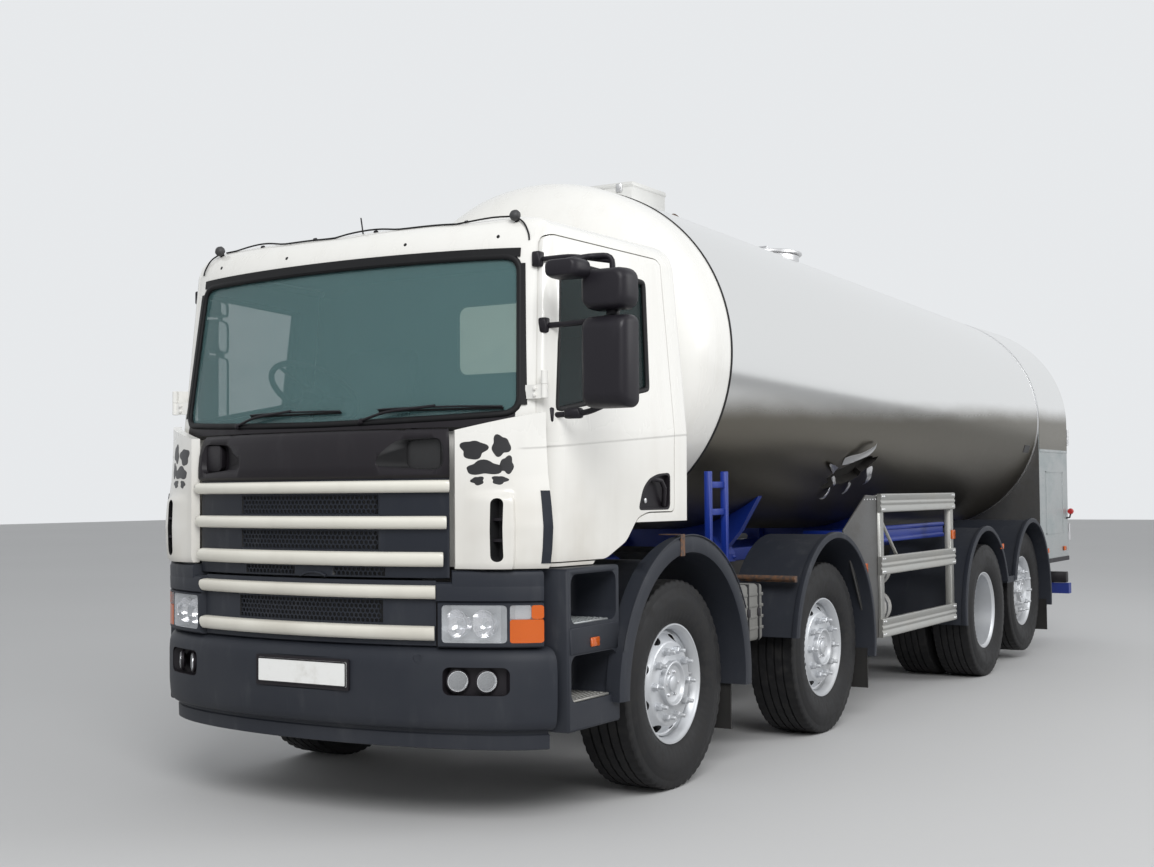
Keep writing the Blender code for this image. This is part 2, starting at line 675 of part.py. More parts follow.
def hatch_hinge(x, width):
    y, z = HATCH_HINGE_Y, HATCH_HINGE_Z
    return rod((x - width / 2, y, z), (x + width / 2, y, z), HATCH_HINGE_RADIUS)


def cab_shell():
    openings = [carve(cab_form(CAB_WALL), under_forms(CAB_WALL)), screen_prism()]
    for _, side in SIDES:
        doorway = side_prism(DOOR_SHARES, side, MOVING_GAP)
        openings.append(carve(doorway, [cab_form(CAB_WALL + MOVING_GAP, OVERRUN * 2)]))
    openings.append(box((BACK_WINDOW_LOW_X, CAB_REAR_Y - CAB_WALL * 2, BACK_WINDOW_BOTTOM),
                        (BACK_WINDOW_HIGH_X, CAB_REAR_Y + OVERRUN, BACK_WINDOW_TOP)))
    shell = carve(carve(cab_form(), under_forms(0)), [join(openings)])
    pieces = [shell]
    for _, side in SIDES:
        for low, reach in ((DOOR_HINGE_LOW, HINGE_LOW_REACH), (DOOR_HINGE_HIGH, HINGE_HIGH_REACH)):
            pieces.append(hinge_boss(side, low, low + HINGE_LENGTH))
            middle, half = side * (DOOR_HINGE_X - reach / 2), HINGE_RADIUS / 2
            pieces.append(block(middle, reach, DOOR_HINGE_Y - half, DOOR_HINGE_Y + half,
                                low, low + HINGE_LENGTH))
        x, half = side * HATCH_HINGE_X, HATCH_HINGE_RADIUS / 2
        pieces.append(hatch_hinge(x, HATCH_HINGE_WIDTH / 2))
        pieces.append(block(x, HATCH_HINGE_WIDTH / 2, HATCH_HINGE_Y, HATCH_HINGE_Y + HATCH_LUG_REACH,
                            HATCH_HINGE_Z - half, HATCH_HINGE_Z + half))
    place(join(pieces), "cab_shell", WHITE_PAINT)


def glass_skin(cutter):
    """The stretch of the cab's skin inside the cutter, as thick as its glass."""
    skin = carve(cab_form(GLASS_SINK), [cab_form(GLASS_SINK + GLASS_THICKNESS, OVERRUN)])
    return keep_within(skin, cutter)


cab_shell()
place(glass_skin(screen_prism(WINDOW_GAP)), "windscreen", GLASS)

# Cab doors, their panes and mirrors: each leaf is the cab's own skin between its shut lines
MIRROR_X = 1.405
MIRROR_HALF_WIDTH = 0.115
MIRROR_FRONT_Y = -1.140
MIRROR_DEPTH = 0.120
MIRROR_BOTTOM = 1.810
MIRROR_TOP = 2.205
WIDE_MIRROR_BOTTOM = 2.228
WIDE_MIRROR_TOP = 2.405
KERB_MIRROR_X = 1.270
KERB_MIRROR_HALF = 0.085
KERB_MIRROR_BOTTOM = 2.360
KERB_MIRROR_TOP = 2.440
KERB_MIRROR_FRONT_Y = -1.260
MIRROR_CORNER = 0.030
MIRROR_TUBE_RADIUS = 0.014
MIRROR_TUBE_Y = -1.040
LOWER_ARM_Z = 1.790
UPPER_ARM_Z = 2.235
TOP_ARM_Z = 2.480
ARM_ROOT_X = 0.990
HINGE_PLATE_END_Y = -1.068
DOOR_FRONT_EDGE_X = 1.020


def cab_door(name, side):
    """A door leaf. Its front edge is thin, so that it swings clear of the sill and the roof rail."""
    skin = carve(cab_form(0, OVERRUN), [cab_form(CAB_WALL, OVERRUN * 2)])
    leaf = keep_within(skin, side_prism(DOOR_SHARES, side))
    inner = sorted((side * DOOR_FRONT_EDGE_X, side * RAIL_HALF_WIDTH))
    front = box((inner[0], NOSE_Y - NOSE_DEPTH, CAB_FLOOR - OVERRUN), (inner[1], NOSE_Y, CAB_ROOF))
    leaf = carve(leaf, [side_prism(WINDOW_SHARES, side), front])
    x, y = side * DOOR_HINGE_X, DOOR_HINGE_Y
    pieces = [leaf]
    for low in (DOOR_HINGE_LOW, DOOR_HINGE_HIGH):
        start = low + HINGE_LENGTH + PIN_GAP
        pieces.append(hinge_boss(side, start, start + HINGE_LENGTH))
        reach = Vector((side * (DOOR_HINGE_X - HINGE_RADIUS * 3), HINGE_PLATE_END_Y, 0))
        here = Vector((x, y, 0))
        way = (reach - here).normalized()
        across = way.cross(UP) * HINGE_RADIUS / 2
        plate = [here + across, here - across, reach - across, reach + across]
        pieces.append(prism([(p.x, p.y) for p in plate], "z", start, start + HINGE_LENGTH))
    return place(join(pieces), name, WHITE_PAINT, (x, y, CAB_FLOOR))


def rounded_block(x0, x1, y0, y1, z0, z1, corner):
    """A block with its four upright-face corners cut off."""
    outline = ((x0 + corner, z0), (x1 - corner, z0), (x1, z0 + corner), (x1, z1 - corner),
               (x1 - corner, z1), (x0 + corner, z1), (x0, z1 - corner), (x0, z0 + corner))
    return prism(outline, "y", y0, y1)


def door_mirror(name, side, door):
    x0, x1 = MIRROR_X - MIRROR_HALF_WIDTH, MIRROR_X + MIRROR_HALF_WIDTH
    y0, y1 = MIRROR_FRONT_Y, MIRROR_FRONT_Y + MIRROR_DEPTH
    heads = [(x0, x1, y0, y1, MIRROR_BOTTOM, MIRROR_TOP),
             (x0, x1, y0, y1, WIDE_MIRROR_BOTTOM, WIDE_MIRROR_TOP),
             (KERB_MIRROR_X - KERB_MIRROR_HALF, KERB_MIRROR_X + KERB_MIRROR_HALF, KERB_MIRROR_FRONT_Y,
              KERB_MIRROR_FRONT_Y + MIRROR_DEPTH, KERB_MIRROR_BOTTOM, KERB_MIRROR_TOP)]
    pieces = []
    for a, b, c, d, e, f in heads:
        a, b = sorted((side * a, side * b))
        pieces.append(rounded_block(a, b, c, d, e, f, MIRROR_CORNER))
    y = MIRROR_TUBE_Y
    x = side * MIRROR_X
    root, arm = side * ARM_ROOT_X, UPPER_ARM_Z - OVERRUN
    pieces.append(rod((x, y, MIRROR_TOP - OVERRUN), (x, y, TOP_ARM_Z), MIRROR_TUBE_RADIUS))
    pieces.append(rod((root, y, arm), (x, y, arm), MIRROR_TUBE_RADIUS))
    pieces.append(rod((root, y, LOWER_ARM_Z), (x, y, LOWER_ARM_Z + OVERRUN), MIRROR_TUBE_RADIUS))
    pieces.append(rod((side * KERB_MIRROR_X, KERB_MIRROR_FRONT_Y + OVERRUN, KERB_MIRROR_TOP - MIRROR_CORNER),
                      (x, y, TOP_ARM_Z - MIRROR_TUBE_RADIUS), MIRROR_TUBE_RADIUS))
    shape = carve(join(pieces), [cab_form(-SEAT_GAP, OVERRUN)])
    place(shape, name, DARK_PLASTIC, (side * DOOR_HINGE_X, DOOR_HINGE_Y, CAB_FLOOR), door)


for side_name, side_sign in SIDES:
    hinged_door = cab_door("cab_door_" + side_name, side_sign)
    pane = glass_skin(side_prism(WINDOW_SHARES, side_sign, -WINDOW_GAP))
    pane_pivot = (side_sign * DOOR_HINGE_X, DOOR_HINGE_Y, CAB_FLOOR)
    place(pane, "door_glass_" + side_name, GLASS, pane_pivot, hinged_door)
    door_mirror("door_mirror_" + side_name, side_sign, hinged_door)

# Nose: hinged grille panel, lower grille, headlamps, corner panels and bumper, all on half-ellipse plans
PANEL_HALF_WIDTH = 1.165
PANEL_WALL = 0.085
BAND_SINK = 0.040
HATCH_HALF = 0.765
HATCH_BOTTOM = 1.085
HATCH_TOP = 1.735
HATCH_TOP_LEAN = 0.065
BAR_EDGE = 0.006
HATCH_BARS_SHARES = ((0.077, 0.175), (0.328, 0.415), (0.572, 0.655))
LOWER_HALF = 0.705
LOWER_BOTTOM = 0.7903
LOWER_TOP = 1.075
LOWER_BARS_SHARES = ((0.094, 0.315), (0.722, 0.929))
LAMP_INNER = 0.710
LAMP_OUTER = 1.127
LAMP_BOTTOM = 0.800
LAMP_TOP = 0.985
LAMP_WALL = 0.110
BROW_TOP = 1.120
CORNER_INNER = 0.785
CORNER_OUTER = 1.118
CORNER_BOTTOM = 1.128
CORNER_TOP_INNER = 1.725
CORNER_TOP_OUTER = 1.800
CORNER_WALL = 0.040
CORNER_COLUMNS = 6
# Corner panel rows: height share, and how far the panel flares out as a share of its wall
CORNER_ROW_SHARES = ((0.0, 0.55), (0.27, 1.10), (0.60, 0.30), (0.85, 0.05), (1.0, 0.0))
BUMPER_OUTER = 1.163
BUMPER_LIP_BOTTOM = 0.350
BUMPER_TOP = 0.790
# Bumper rows: height share, and how far the face stands back as a share of the wall
BUMPER_ROW_SHARES = ((0.0, 0.55), (0.17, 0.50), (0.20, 0.22), (0.30, 0.06), (0.84, 0.0), (1.0, 0.40))
FOG_INNER = 0.730
FOG_OUTER = 1.000
FOG_BOTTOM = 0.590
FOG_TOP = 0.705
FOG_DEPTH = 0.050
NOSE_COLUMNS = 8


def nose_point(x, half_width, depth, height):
    return (x, nose_y(x, half_width, depth), height)


def nose_columns(x0, x1, count, half_width):
    """Places across the nose, spaced by equal turns round its ellipse."""
    low, high = math.asin(x0 / half_width), math.asin(x1 / half_width)
    return [half_width * math.sin(between(low, high, k / count)) for k in range(count + 1)]


def nose_slab(x0, x1, half_width, wall, rows, count=NOSE_COLUMNS):
    """A curved panel. Each row gives its height and how far its face stands back."""
    grid = []
    for height, back in rows:
        row = []
        for x in nose_columns(x0, x1, count, half_width):
            half = half_width - back
            outer = nose_point(x * half / half_width, half, NOSE_DEPTH - back, height)
            half = half_width - wall
            inner = nose_point(x * half / half_width, half, NOSE_DEPTH - wall, height)
            row.append((outer, inner))
        grid.append(row)
    return slab(grid)


def barred_rows(low, high, bars_shares, lean_from=None):
    """Rows of a grille panel whose bars stand proud of its sunken bands."""
    rows = [(low, BAND_SINK)]
    for start, end in bars_shares:
        a, b = between(low, high, start), between(low, high, end)
        rows += [(a, BAND_SINK), (a + BAR_EDGE, 0), (b - BAR_EDGE, 0), (b, BAND_SINK)]
    if lean_from is None:
        return rows + [(high, BAND_SINK)]
    return rows + [(lean_from, BAND_SINK), (lean_from + BAR_EDGE, BAND_SINK / 2), (high, HATCH_TOP_LEAN)]


def front_hatch():
    rows = barred_rows(HATCH_BOTTOM, HATCH_TOP, HATCH_BARS_SHARES, between(HATCH_BOTTOM, HATCH_TOP, 0.69))
    panel = nose_slab(-HATCH_HALF, HATCH_HALF, PANEL_HALF_WIDTH, PANEL_WALL, rows)
    width = HATCH_HINGE_WIDTH
    slot_y, slot_z = HATCH_HINGE_Y, HATCH_HINGE_Z
    slots = []
    for _, side in SIDES:
        slots.append(block(side * HATCH_HINGE_X, width * 2, slot_y - width / 2, NOSE_Y,
                           slot_z - width, HATCH_TOP + OVERRUN))
    panel = carve(panel, slots)
    pins = []
    for _, side in SIDES:
        for end in (-1, 1):
            x = side * HATCH_HINGE_X + end * (width * 3 / 4 + PIN_GAP)
            pins.append(hatch_hinge(x, width))
    place(join([panel, *pins]), "front_hatch", DARK_PLASTIC, (0, slot_y, slot_z))


def lower_grille():
    rows = barred_rows(LOWER_BOTTOM, LOWER_TOP, LOWER_BARS_SHARES)
    pieces = [nose_slab(-LOWER_HALF, LOWER_HALF, BUMPER_HALF_WIDTH, PANEL_WALL, rows)]
    brows = ((LOWER_HALF - OVERRUN, LAMP_TOP + SEAT_GAP, LOWER_TOP - BAR_EDGE),
             (HATCH_HALF + MOVING_GAP * 2, LOWER_TOP - OVERRUN, BROW_TOP))
    for _, side in SIDES:
        for start, low, high in brows:
            ends = sorted((side * start, side * LAMP_OUTER))
            rows = ((low, BAND_SINK / 4), (high, BAND_SINK / 2))
            pieces.append(nose_slab(*ends, BUMPER_HALF_WIDTH, PANEL_WALL, rows))
    place(join(pieces), "lower_grille", DARK_PLASTIC)


def headlamp(name, side):
    ends = sorted((side * LAMP_INNER, side * LAMP_OUTER))
    rows = ((BUMPER_TOP + SEAT_GAP, BAND_SINK / 2), (LAMP_BOTTOM + BAR_EDGE, BAND_SINK / 4),
            (LAMP_TOP - BAR_EDGE, BAND_SINK / 4), (LAMP_TOP, BAND_SINK / 2))
    place(nose_slab(*ends, BUMPER_HALF_WIDTH, LAMP_WALL, rows), name, LAMP_GLASS)


def corner_panel(name, side):
    grid = []
    columns = nose_columns(CORNER_INNER, CORNER_OUTER, CORNER_COLUMNS, PANEL_HALF_WIDTH)
    for rise, flare in CORNER_ROW_SHARES:
        row = []
        for k, x in enumerate(columns):
            across = k / CORNER_COLUMNS
            top = between(CORNER_TOP_INNER, CORNER_TOP_OUTER, across)
            height = between(CORNER_BOTTOM, top, rise)
            half = PANEL_HALF_WIDTH + flare * CORNER_WALL * across
            stretched = side * x / PANEL_HALF_WIDTH
            outer = nose_point(stretched * half, half, NOSE_DEPTH, height)
            half -= CORNER_WALL
            inner = nose_point(stretched * half, half, NOSE_DEPTH - CORNER_WALL, height)
            row.append((outer, inner))
        grid.append(row)
    panel = slab(grid)
    x = between(CORNER_INNER, CORNER_OUTER, 1 / 2)
    half = HATCH_HINGE_WIDTH / 2
    lug_top = between(CORNER_BOTTOM, CORNER_TOP_INNER, 3 / 4)
    lug = block(side * x, half * 2, nose_y(x, PANEL_HALF_WIDTH, NOSE_DEPTH) + CORNER_WALL / 2, NOSE_Y,
                lug_top - half * 2, lug_top)
    reach = sorted((side * (CORNER_OUTER - OVERRUN), side * BODY_HALF_WIDTH))
    notch = box((reach[0], DOOR_HINGE_Y - HINGE_RADIUS - MOVING_GAP, DOOR_HINGE_LOW - MOVING_GAP),
                (reach[1], NOSE_Y, DOOR_HINGE_LOW + HINGE_LENGTH * 2 + MOVING_GAP * 2))
    panel = carve(join([panel, lug]), [cab_form(-SEAT_GAP), notch])
    place(panel, name, WHITE_PAINT)


def bumper():
    rows = []
    for rise, back in BUMPER_ROW_SHARES:
        rows.append((between(BUMPER_LIP_BOTTOM, BUMPER_TOP, rise), back * BUMPER_WALL))
    body = nose_slab(-BUMPER_OUTER, BUMPER_OUTER, BUMPER_HALF_WIDTH, BUMPER_WALL, rows, NOSE_COLUMNS + 4)
    recesses, feet = [], []
    foot_y = nose_y(SPRING_X, BUMPER_HALF_WIDTH, NOSE_DEPTH) + BUMPER_WALL / 2
    for _, side in SIDES:
        feet.append(block(side * SPRING_X, CAB_POST_WIDTH, foot_y, BUMPER_SEAT_Y,
                          BUMPER_BRACKET_BOTTOM, RAIL_BOTTOM))
        grid = []
        for height in (FOG_BOTTOM, FOG_TOP):
            row = []
            for x in nose_columns(FOG_INNER, FOG_OUTER, 3, BUMPER_HALF_WIDTH):
                y = nose_y(x, BUMPER_HALF_WIDTH, NOSE_DEPTH)
                row.append(((side * x, y - OVERRUN, height), (side * x, y + FOG_DEPTH, height)))
            grid.append(row)
        recesses.append(slab(grid))
    place(carve(join([body, *feet]), recesses), "front_bumper", DARK_PLASTIC)


front_hatch()
lower_grille()
bumper()
for side_name, side_sign in SIDES:
    headlamp("headlamp_" + side_name, side_sign)
    corner_panel("corner_panel_" + side_name, side_sign)

# Cab interior: dashboard with the column, steering wheel and two seats
DASH_HALF_WIDTH = 0.920
DASH_FRONT_Y = -1.250
DASH_REAR_Y = -0.620
DASH_TOP = 1.735
DASH_FOOT = 1.420
DASH_SHARES = ((0.0, 0.0), (0.0, 1.0), (0.9, 1.0), (1.0, 0.75), (0.8, 0.0))
STEERING_X = -0.580
STEERING_Y = -0.680
STEERING_Z = 1.980
STEERING_LEAN = math.radians(35)
STEERING_RADIUS = 0.235
STEERING_RIM = 0.016
STEERING_HUB = 0.060
COLUMN_RADIUS = 0.035
COLUMN_LENGTH = 0.330
SEAT_X = 0.620
SEAT_WIDTH = 0.460
SEAT_BACK_Y = -0.010
SEAT_FRONT_Y = -0.560
SEAT_HEIGHT = 1.600
SEAT_BACK_TOP = 2.250
SEAT_CUSHION = 0.140


def dashboard():
    outline = []
    for y, z in DASH_SHARES:
        outline.append((between(DASH_FRONT_Y, DASH_REAR_Y, y), between(DASH_FOOT, DASH_TOP, z)))
    body = keep_within(prism(outline, "x", -DASH_HALF_WIDTH, DASH_HALF_WIDTH), cab_form(CAB_WALL + SEAT_GAP))
    centre = Vector((STEERING_X, STEERING_Y, STEERING_Z))
    way = steering_axis()
    hub = centre - way * (STEERING_RIM + PIN_GAP)
    column = rod(hub, centre - way * COLUMN_LENGTH, COLUMN_RADIUS)
    body = carve(join([body, column]), under_forms(CAB_WALL + SEAT_GAP))
    place(body, "dashboard", TRIM)


def steering_axis():
    return Vector((0, math.sin(STEERING_LEAN), math.cos(STEERING_LEAN)))


def steering_wheel():
    centre = Vector((STEERING_X, STEERING_Y, STEERING_Z))
    way = steering_axis()
    turns = [math.pi / 3 * k for k in range(6)]
    ring = [(STEERING_RIM * math.cos(t), STEERING_RADIUS + STEERING_RIM * math.sin(t)) for t in turns]
    rim = turned(ring, centre, way, ROUND_STEPS, ends_meet=True)
    hub = turned(((-STEERING_RIM, STEERING_HUB), (STEERING_RIM, STEERING_HUB)), centre, way, SMALL_STEPS)
    side = way.cross(Vector((1, 0, 0)))
    spokes = []
    for turn in (math.pi / 6, math.pi * 5 / 6, math.pi * 3 / 2):
        reach = (Vector((1, 0, 0)) * math.cos(turn) + side * math.sin(turn)) * STEERING_RADIUS
        spokes.append(rod(centre, centre + reach, STEERING_RIM * 3 / 4))
    place(join([hub, rim, *spokes]), "steering_wheel", TRIM, centre)


def seat(name, side):
    low = ARCH_CUT_TOP + CAB_WALL + SEAT_GAP
    thick = SEAT_CUSHION
    x = side * SEAT_X
    inside = OVERRUN / 4
    base = block(x, SEAT_WIDTH - thick, SEAT_FRONT_Y + thick, SEAT_BACK_Y - thick * 2, low,
                 SEAT_HEIGHT - thick + inside)
    cushion = block(x, SEAT_WIDTH, SEAT_FRONT_Y, SEAT_BACK_Y - thick, SEAT_HEIGHT - thick, SEAT_HEIGHT)
    front, rear = SEAT_BACK_Y - thick * 2, SEAT_BACK_Y - thick
    outline = ((front, SEAT_HEIGHT - inside), (rear - inside, SEAT_HEIGHT - thick / 2),
               (SEAT_BACK_Y, SEAT_BACK_TOP), (SEAT_BACK_Y - thick * 2 / 3, SEAT_BACK_TOP))
    half = SEAT_WIDTH / 2 - inside
    back = prism(outline, "x", x - half, x + half)
    place(join([base, cushion, back]), name, SEAT_CLOTH)


dashboard()
steering_wheel()
seat("seat_passenger", 1)
seat("seat_driver", -1)

# Front arches: step block with two foot wells, and an arch band with its outer lip
STEP_FRONT_Y = -1.083
STEP_REAR_Y = -0.700
STEP_BOTTOM = 0.420
STEP_TOP = 1.125
STEP_INNER_X = 0.900
STEP_OUTER_X = 1.195
STEP_WALL = 0.050
LOWER_TREAD = 0.540
UPPER_TREAD = 0.880
TREAD_THICKNESS = 0.040
ARCH_HALF_LENGTH = 0.620
ARCH_HALF_HEIGHT = 0.645
ARCH_BAND = 0.028
ARCH_LIP = 0.085
ARCH_LIP_WIDTH = 0.090
ARCH_INNER_X = 0.700
ARCH_END_Z = 0.440
ARCH_STEPS = 12
FLAP_THICKNESS = 0.012
FLAP_BOTTOM = 0.200
STAY_RADIUS = 0.018


def arch_band(centre_y, half_length, half_height, inner_x, side, walls, front_z, rear_z):
    """A wheel arch: half of an elliptical band over the axle, with a thicker lip along its outer edge."""
    band, lip, lip_width = walls

    def edge(extra):
        long, tall = half_length + extra, half_height + extra
        start = -math.asin((AXLE_HEIGHT - front_z) / tall)
        end = math.pi + math.asin((AXLE_HEIGHT - rear_z) / tall)
        turns = [between(start, end, k / ARCH_STEPS) for k in range(ARCH_STEPS + 1)]
        return [(centre_y - long * math.cos(t), AXLE_HEIGHT + tall * math.sin(t)) for t in turns]

    x0, x1 = side * inner_x, side * BODY_HALF_WIDTH
    x2 = x1 - side * lip_width
    return loft([[(x0, *a), (x1, *a), (x1, *c), (x2, *c), (x2, *b), (x0, *b)]
                 for a, b, c in zip(edge(0), edge(band), edge(lip))])


def flap(y, inner_x, outer_x, top, side):
    """A mud flap that hangs from the rear end of an arch."""
    ends = sorted((side * (inner_x + FLAP_THICKNESS), outer_x - side * FLAP_THICKNESS))
    return box((ends[0], y, FLAP_BOTTOM), (ends[1], y + FLAP_THICKNESS, top + OVERRUN))


def cab_arch(name, side):
    lip = side * (BODY_HALF_WIDTH - ARCH_LIP_WIDTH)
    pieces = [arch_band(0, ARCH_HALF_LENGTH, ARCH_HALF_HEIGHT, ARCH_INNER_X, side,
                        (ARCH_BAND, ARCH_LIP, ARCH_LIP_WIDTH), AXLE_HEIGHT, ARCH_END_Z)]
    xs = sorted((side * STEP_INNER_X, side * STEP_OUTER_X))
    steps = box((xs[0], STEP_FRONT_Y, STEP_BOTTOM), (xs[1], -ARCH_HALF_LENGTH - ARCH_BAND / 2, STEP_TOP))
    wells = []
    reach = sorted((side * (STEP_INNER_X + STEP_WALL), side * (STEP_OUTER_X + OVERRUN)))
    front, rear = STEP_FRONT_Y + STEP_WALL, STEP_REAR_Y - STEP_WALL / 2
    heights = ((LOWER_TREAD, UPPER_TREAD - TREAD_THICKNESS), (UPPER_TREAD, STEP_TOP - TREAD_THICKNESS))
    for low, high in heights:
        wells.append(box((reach[0], front, low), (reach[1], rear, high)))
    pieces.append(carve(steps, wells))
    pieces.append(flap(ARCH_HALF_LENGTH + ARCH_BAND / 4, ARCH_INNER_X, lip, ARCH_END_Z, side))
    stay_y = STEP_REAR_Y - STEP_WALL
    root = side * (RAIL_HALF_WIDTH + SEAT_GAP)
    z = RAIL_BOTTOM + RAIL_HEIGHT / 2
    pieces.append(rod((root, stay_y, z), (side * (STEP_INNER_X + STEP_WALL / 2), stay_y, z), STAY_RADIUS))
    shape = carve(join(pieces, "MANIFOLD"), [cab_form(-MOVING_GAP)])
    place(shape, name, DARK_PLASTIC)


for side_name, side_sign in SIDES:
    cab_arch("cab_arch_" + side_name, side_sign)

# Mudguards of the second axle and of the rear pair
GUARD_2_HALF_LENGTH = 0.605
GUARD_2_HALF_HEIGHT = 0.655
GUARD_2_INNER_X = 0.800
GUARD_3_HALF_LENGTH = 0.565
GUARD_3_HALF_HEIGHT = 0.615
GUARD_4_HALF_HEIGHT = 0.650
GUARD_REAR_INNER_X = 0.580
GUARD_BAND = 0.022
GUARD_LIP = 0.038
GUARD_LIP_WIDTH = 0.040
GUARD_2_FRONT_Z = 0.620
GUARD_2_REAR_Z = 0.400
GUARD_3_FRONT_Z = 0.435
GUARD_MEET_Z = 0.700
GUARD_4_REAR_Z = 0.420


def guard(centre_y, half_length, half_height, inner_x, front_z, rear_z, side):
    walls = (GUARD_BAND, GUARD_LIP, GUARD_LIP_WIDTH)
    return arch_band(centre_y, half_length, half_height, inner_x, side, walls, front_z, rear_z)


def stay(y, z, inner_x, side):
    return rod((side * (RAIL_HALF_WIDTH + SEAT_GAP), y, z), (side * (inner_x + OVERRUN), y, z), STAY_RADIUS)


def stay_height():
    return RAIL_TOP - STAY_RADIUS * 2


def mudguard_2(name, side):
    pieces = [guard(AXLE_2_Y, GUARD_2_HALF_LENGTH, GUARD_2_HALF_HEIGHT, GUARD_2_INNER_X,
                    GUARD_2_FRONT_Z, GUARD_2_REAR_Z, side)]
    lip = side * (BODY_HALF_WIDTH - GUARD_LIP_WIDTH)
    end = AXLE_2_Y + GUARD_2_HALF_LENGTH - GUARD_BAND / 2
    pieces.append(flap(end, GUARD_2_INNER_X, lip, GUARD_2_REAR_Z, side))
    share = (stay_height() - AXLE_HEIGHT) / (GUARD_2_HALF_HEIGHT + GUARD_BAND / 2)
    reach = (GUARD_2_HALF_LENGTH + GUARD_BAND / 2) * math.sqrt(1 - share ** 2)
    for end in (-1, 1):
        pieces.append(stay(AXLE_2_Y + end * reach, stay_height(), GUARD_2_INNER_X, side))
    place(join(pieces), name, DARK_PLASTIC)


def mudguard_rear(name, side):
    pieces = [guard(AXLE_3_Y, GUARD_3_HALF_LENGTH, GUARD_3_HALF_HEIGHT, GUARD_REAR_INNER_X,
                    GUARD_3_FRONT_Z, GUARD_MEET_Z, side),
              guard(AXLE_4_Y, GUARD_3_HALF_LENGTH, GUARD_4_HALF_HEIGHT, GUARD_REAR_INNER_X,
                    GUARD_MEET_Z, GUARD_4_REAR_Z, side)]
    middle = (AXLE_3_Y + AXLE_4_Y) / 2
    ends = sorted((side * (GUARD_REAR_INNER_X + FLAP_THICKNESS), side * (BODY_HALF_WIDTH - FLAP_THICKNESS)))
    half = (AXLE_4_Y - AXLE_3_Y) / 2 - GUARD_3_HALF_LENGTH + GUARD_BAND / 2
    low = GUARD_MEET_Z - OVERRUN / 4
    pieces.append(box((ends[0], middle - half, low), (ends[1], middle + half, low + OVERRUN)))
    lip = side * (BODY_HALF_WIDTH - GUARD_LIP_WIDTH)
    end = AXLE_4_Y + GUARD_3_HALF_LENGTH - GUARD_BAND / 2
    pieces.append(flap(end, GUARD_REAR_INNER_X, lip, GUARD_4_REAR_Z, side))
    share = (stay_height() - AXLE_HEIGHT) / (GUARD_3_HALF_HEIGHT + GUARD_BAND / 2)
    reach = (GUARD_3_HALF_LENGTH + GUARD_BAND / 2) * math.sqrt(1 - share ** 2)
    pieces.append(stay(AXLE_3_Y - reach, stay_height(), GUARD_REAR_INNER_X, side))
    share = (stay_height() - AXLE_HEIGHT) / (GUARD_4_HALF_HEIGHT + GUARD_BAND / 2)
    reach = (GUARD_3_HALF_LENGTH + GUARD_BAND / 2) * math.sqrt(1 - share ** 2)
    pieces.append(stay(AXLE_4_Y + reach, stay_height(), GUARD_REAR_INNER_X, side))
    place(join(pieces, "MANIFOLD"), name, DARK_PLASTIC)


for side_name, side_sign in SIDES:
    mudguard_2("mudguard_second_" + side_name, side_sign)
    mudguard_rear("mudguard_rear_" + side_name, side_sign)

# Side guards, battery box, air tanks and fuel tank between the wheels
GUARD_OUTER_X = 1.200
GUARD_RAIL_THICKNESS = 0.030
GUARD_FRONT_Y = 2.810
GUARD_REAR_Y = 4.390
GUARD_POST = 0.070
GUARD_BOTTOM = 0.490
GUARD_TOP = 1.425
GUARD_RAIL_HEIGHT = 0.120
GUARD_PLATE_TOP_Y = 2.560
GUARD_PLATE_LOW_Y = 2.640
GUARD_PLATE_THICKNESS = 0.015
GUARD_KNEE_SHARE = 0.72
GUARD_ARM = 0.050
BATTERY_FRONT_Y = 0.740
BATTERY_REAR_Y = 1.000
BATTERY_INNER_X = 0.550
BATTERY_OUTER_X = 1.170
BATTERY_BOTTOM = 0.640
BATTERY_TOP = 0.950
AIR_TANK_X = 0.720
AIR_TANK_RADIUS = 0.120
AIR_TANK_HIGH_Z = 0.870
AIR_TANK_LOW_Z = 0.600
AIR_TANK_FRONT_Y = 3.150
AIR_TANK_REAR_Y = 4.050
AIR_STRAP_SHARES = (0.2, 0.8)
FUEL_INNER_X = 0.500
FUEL_OUTER_X = 1.120
FUEL_FRONT_Y = 2.950
FUEL_REAR_Y = 4.250
FUEL_BOTTOM = 0.450
FUEL_TOP = 1.080
FUEL_CORNER = 0.080
FUEL_STRAP_SHARES = (0.15, 0.85)


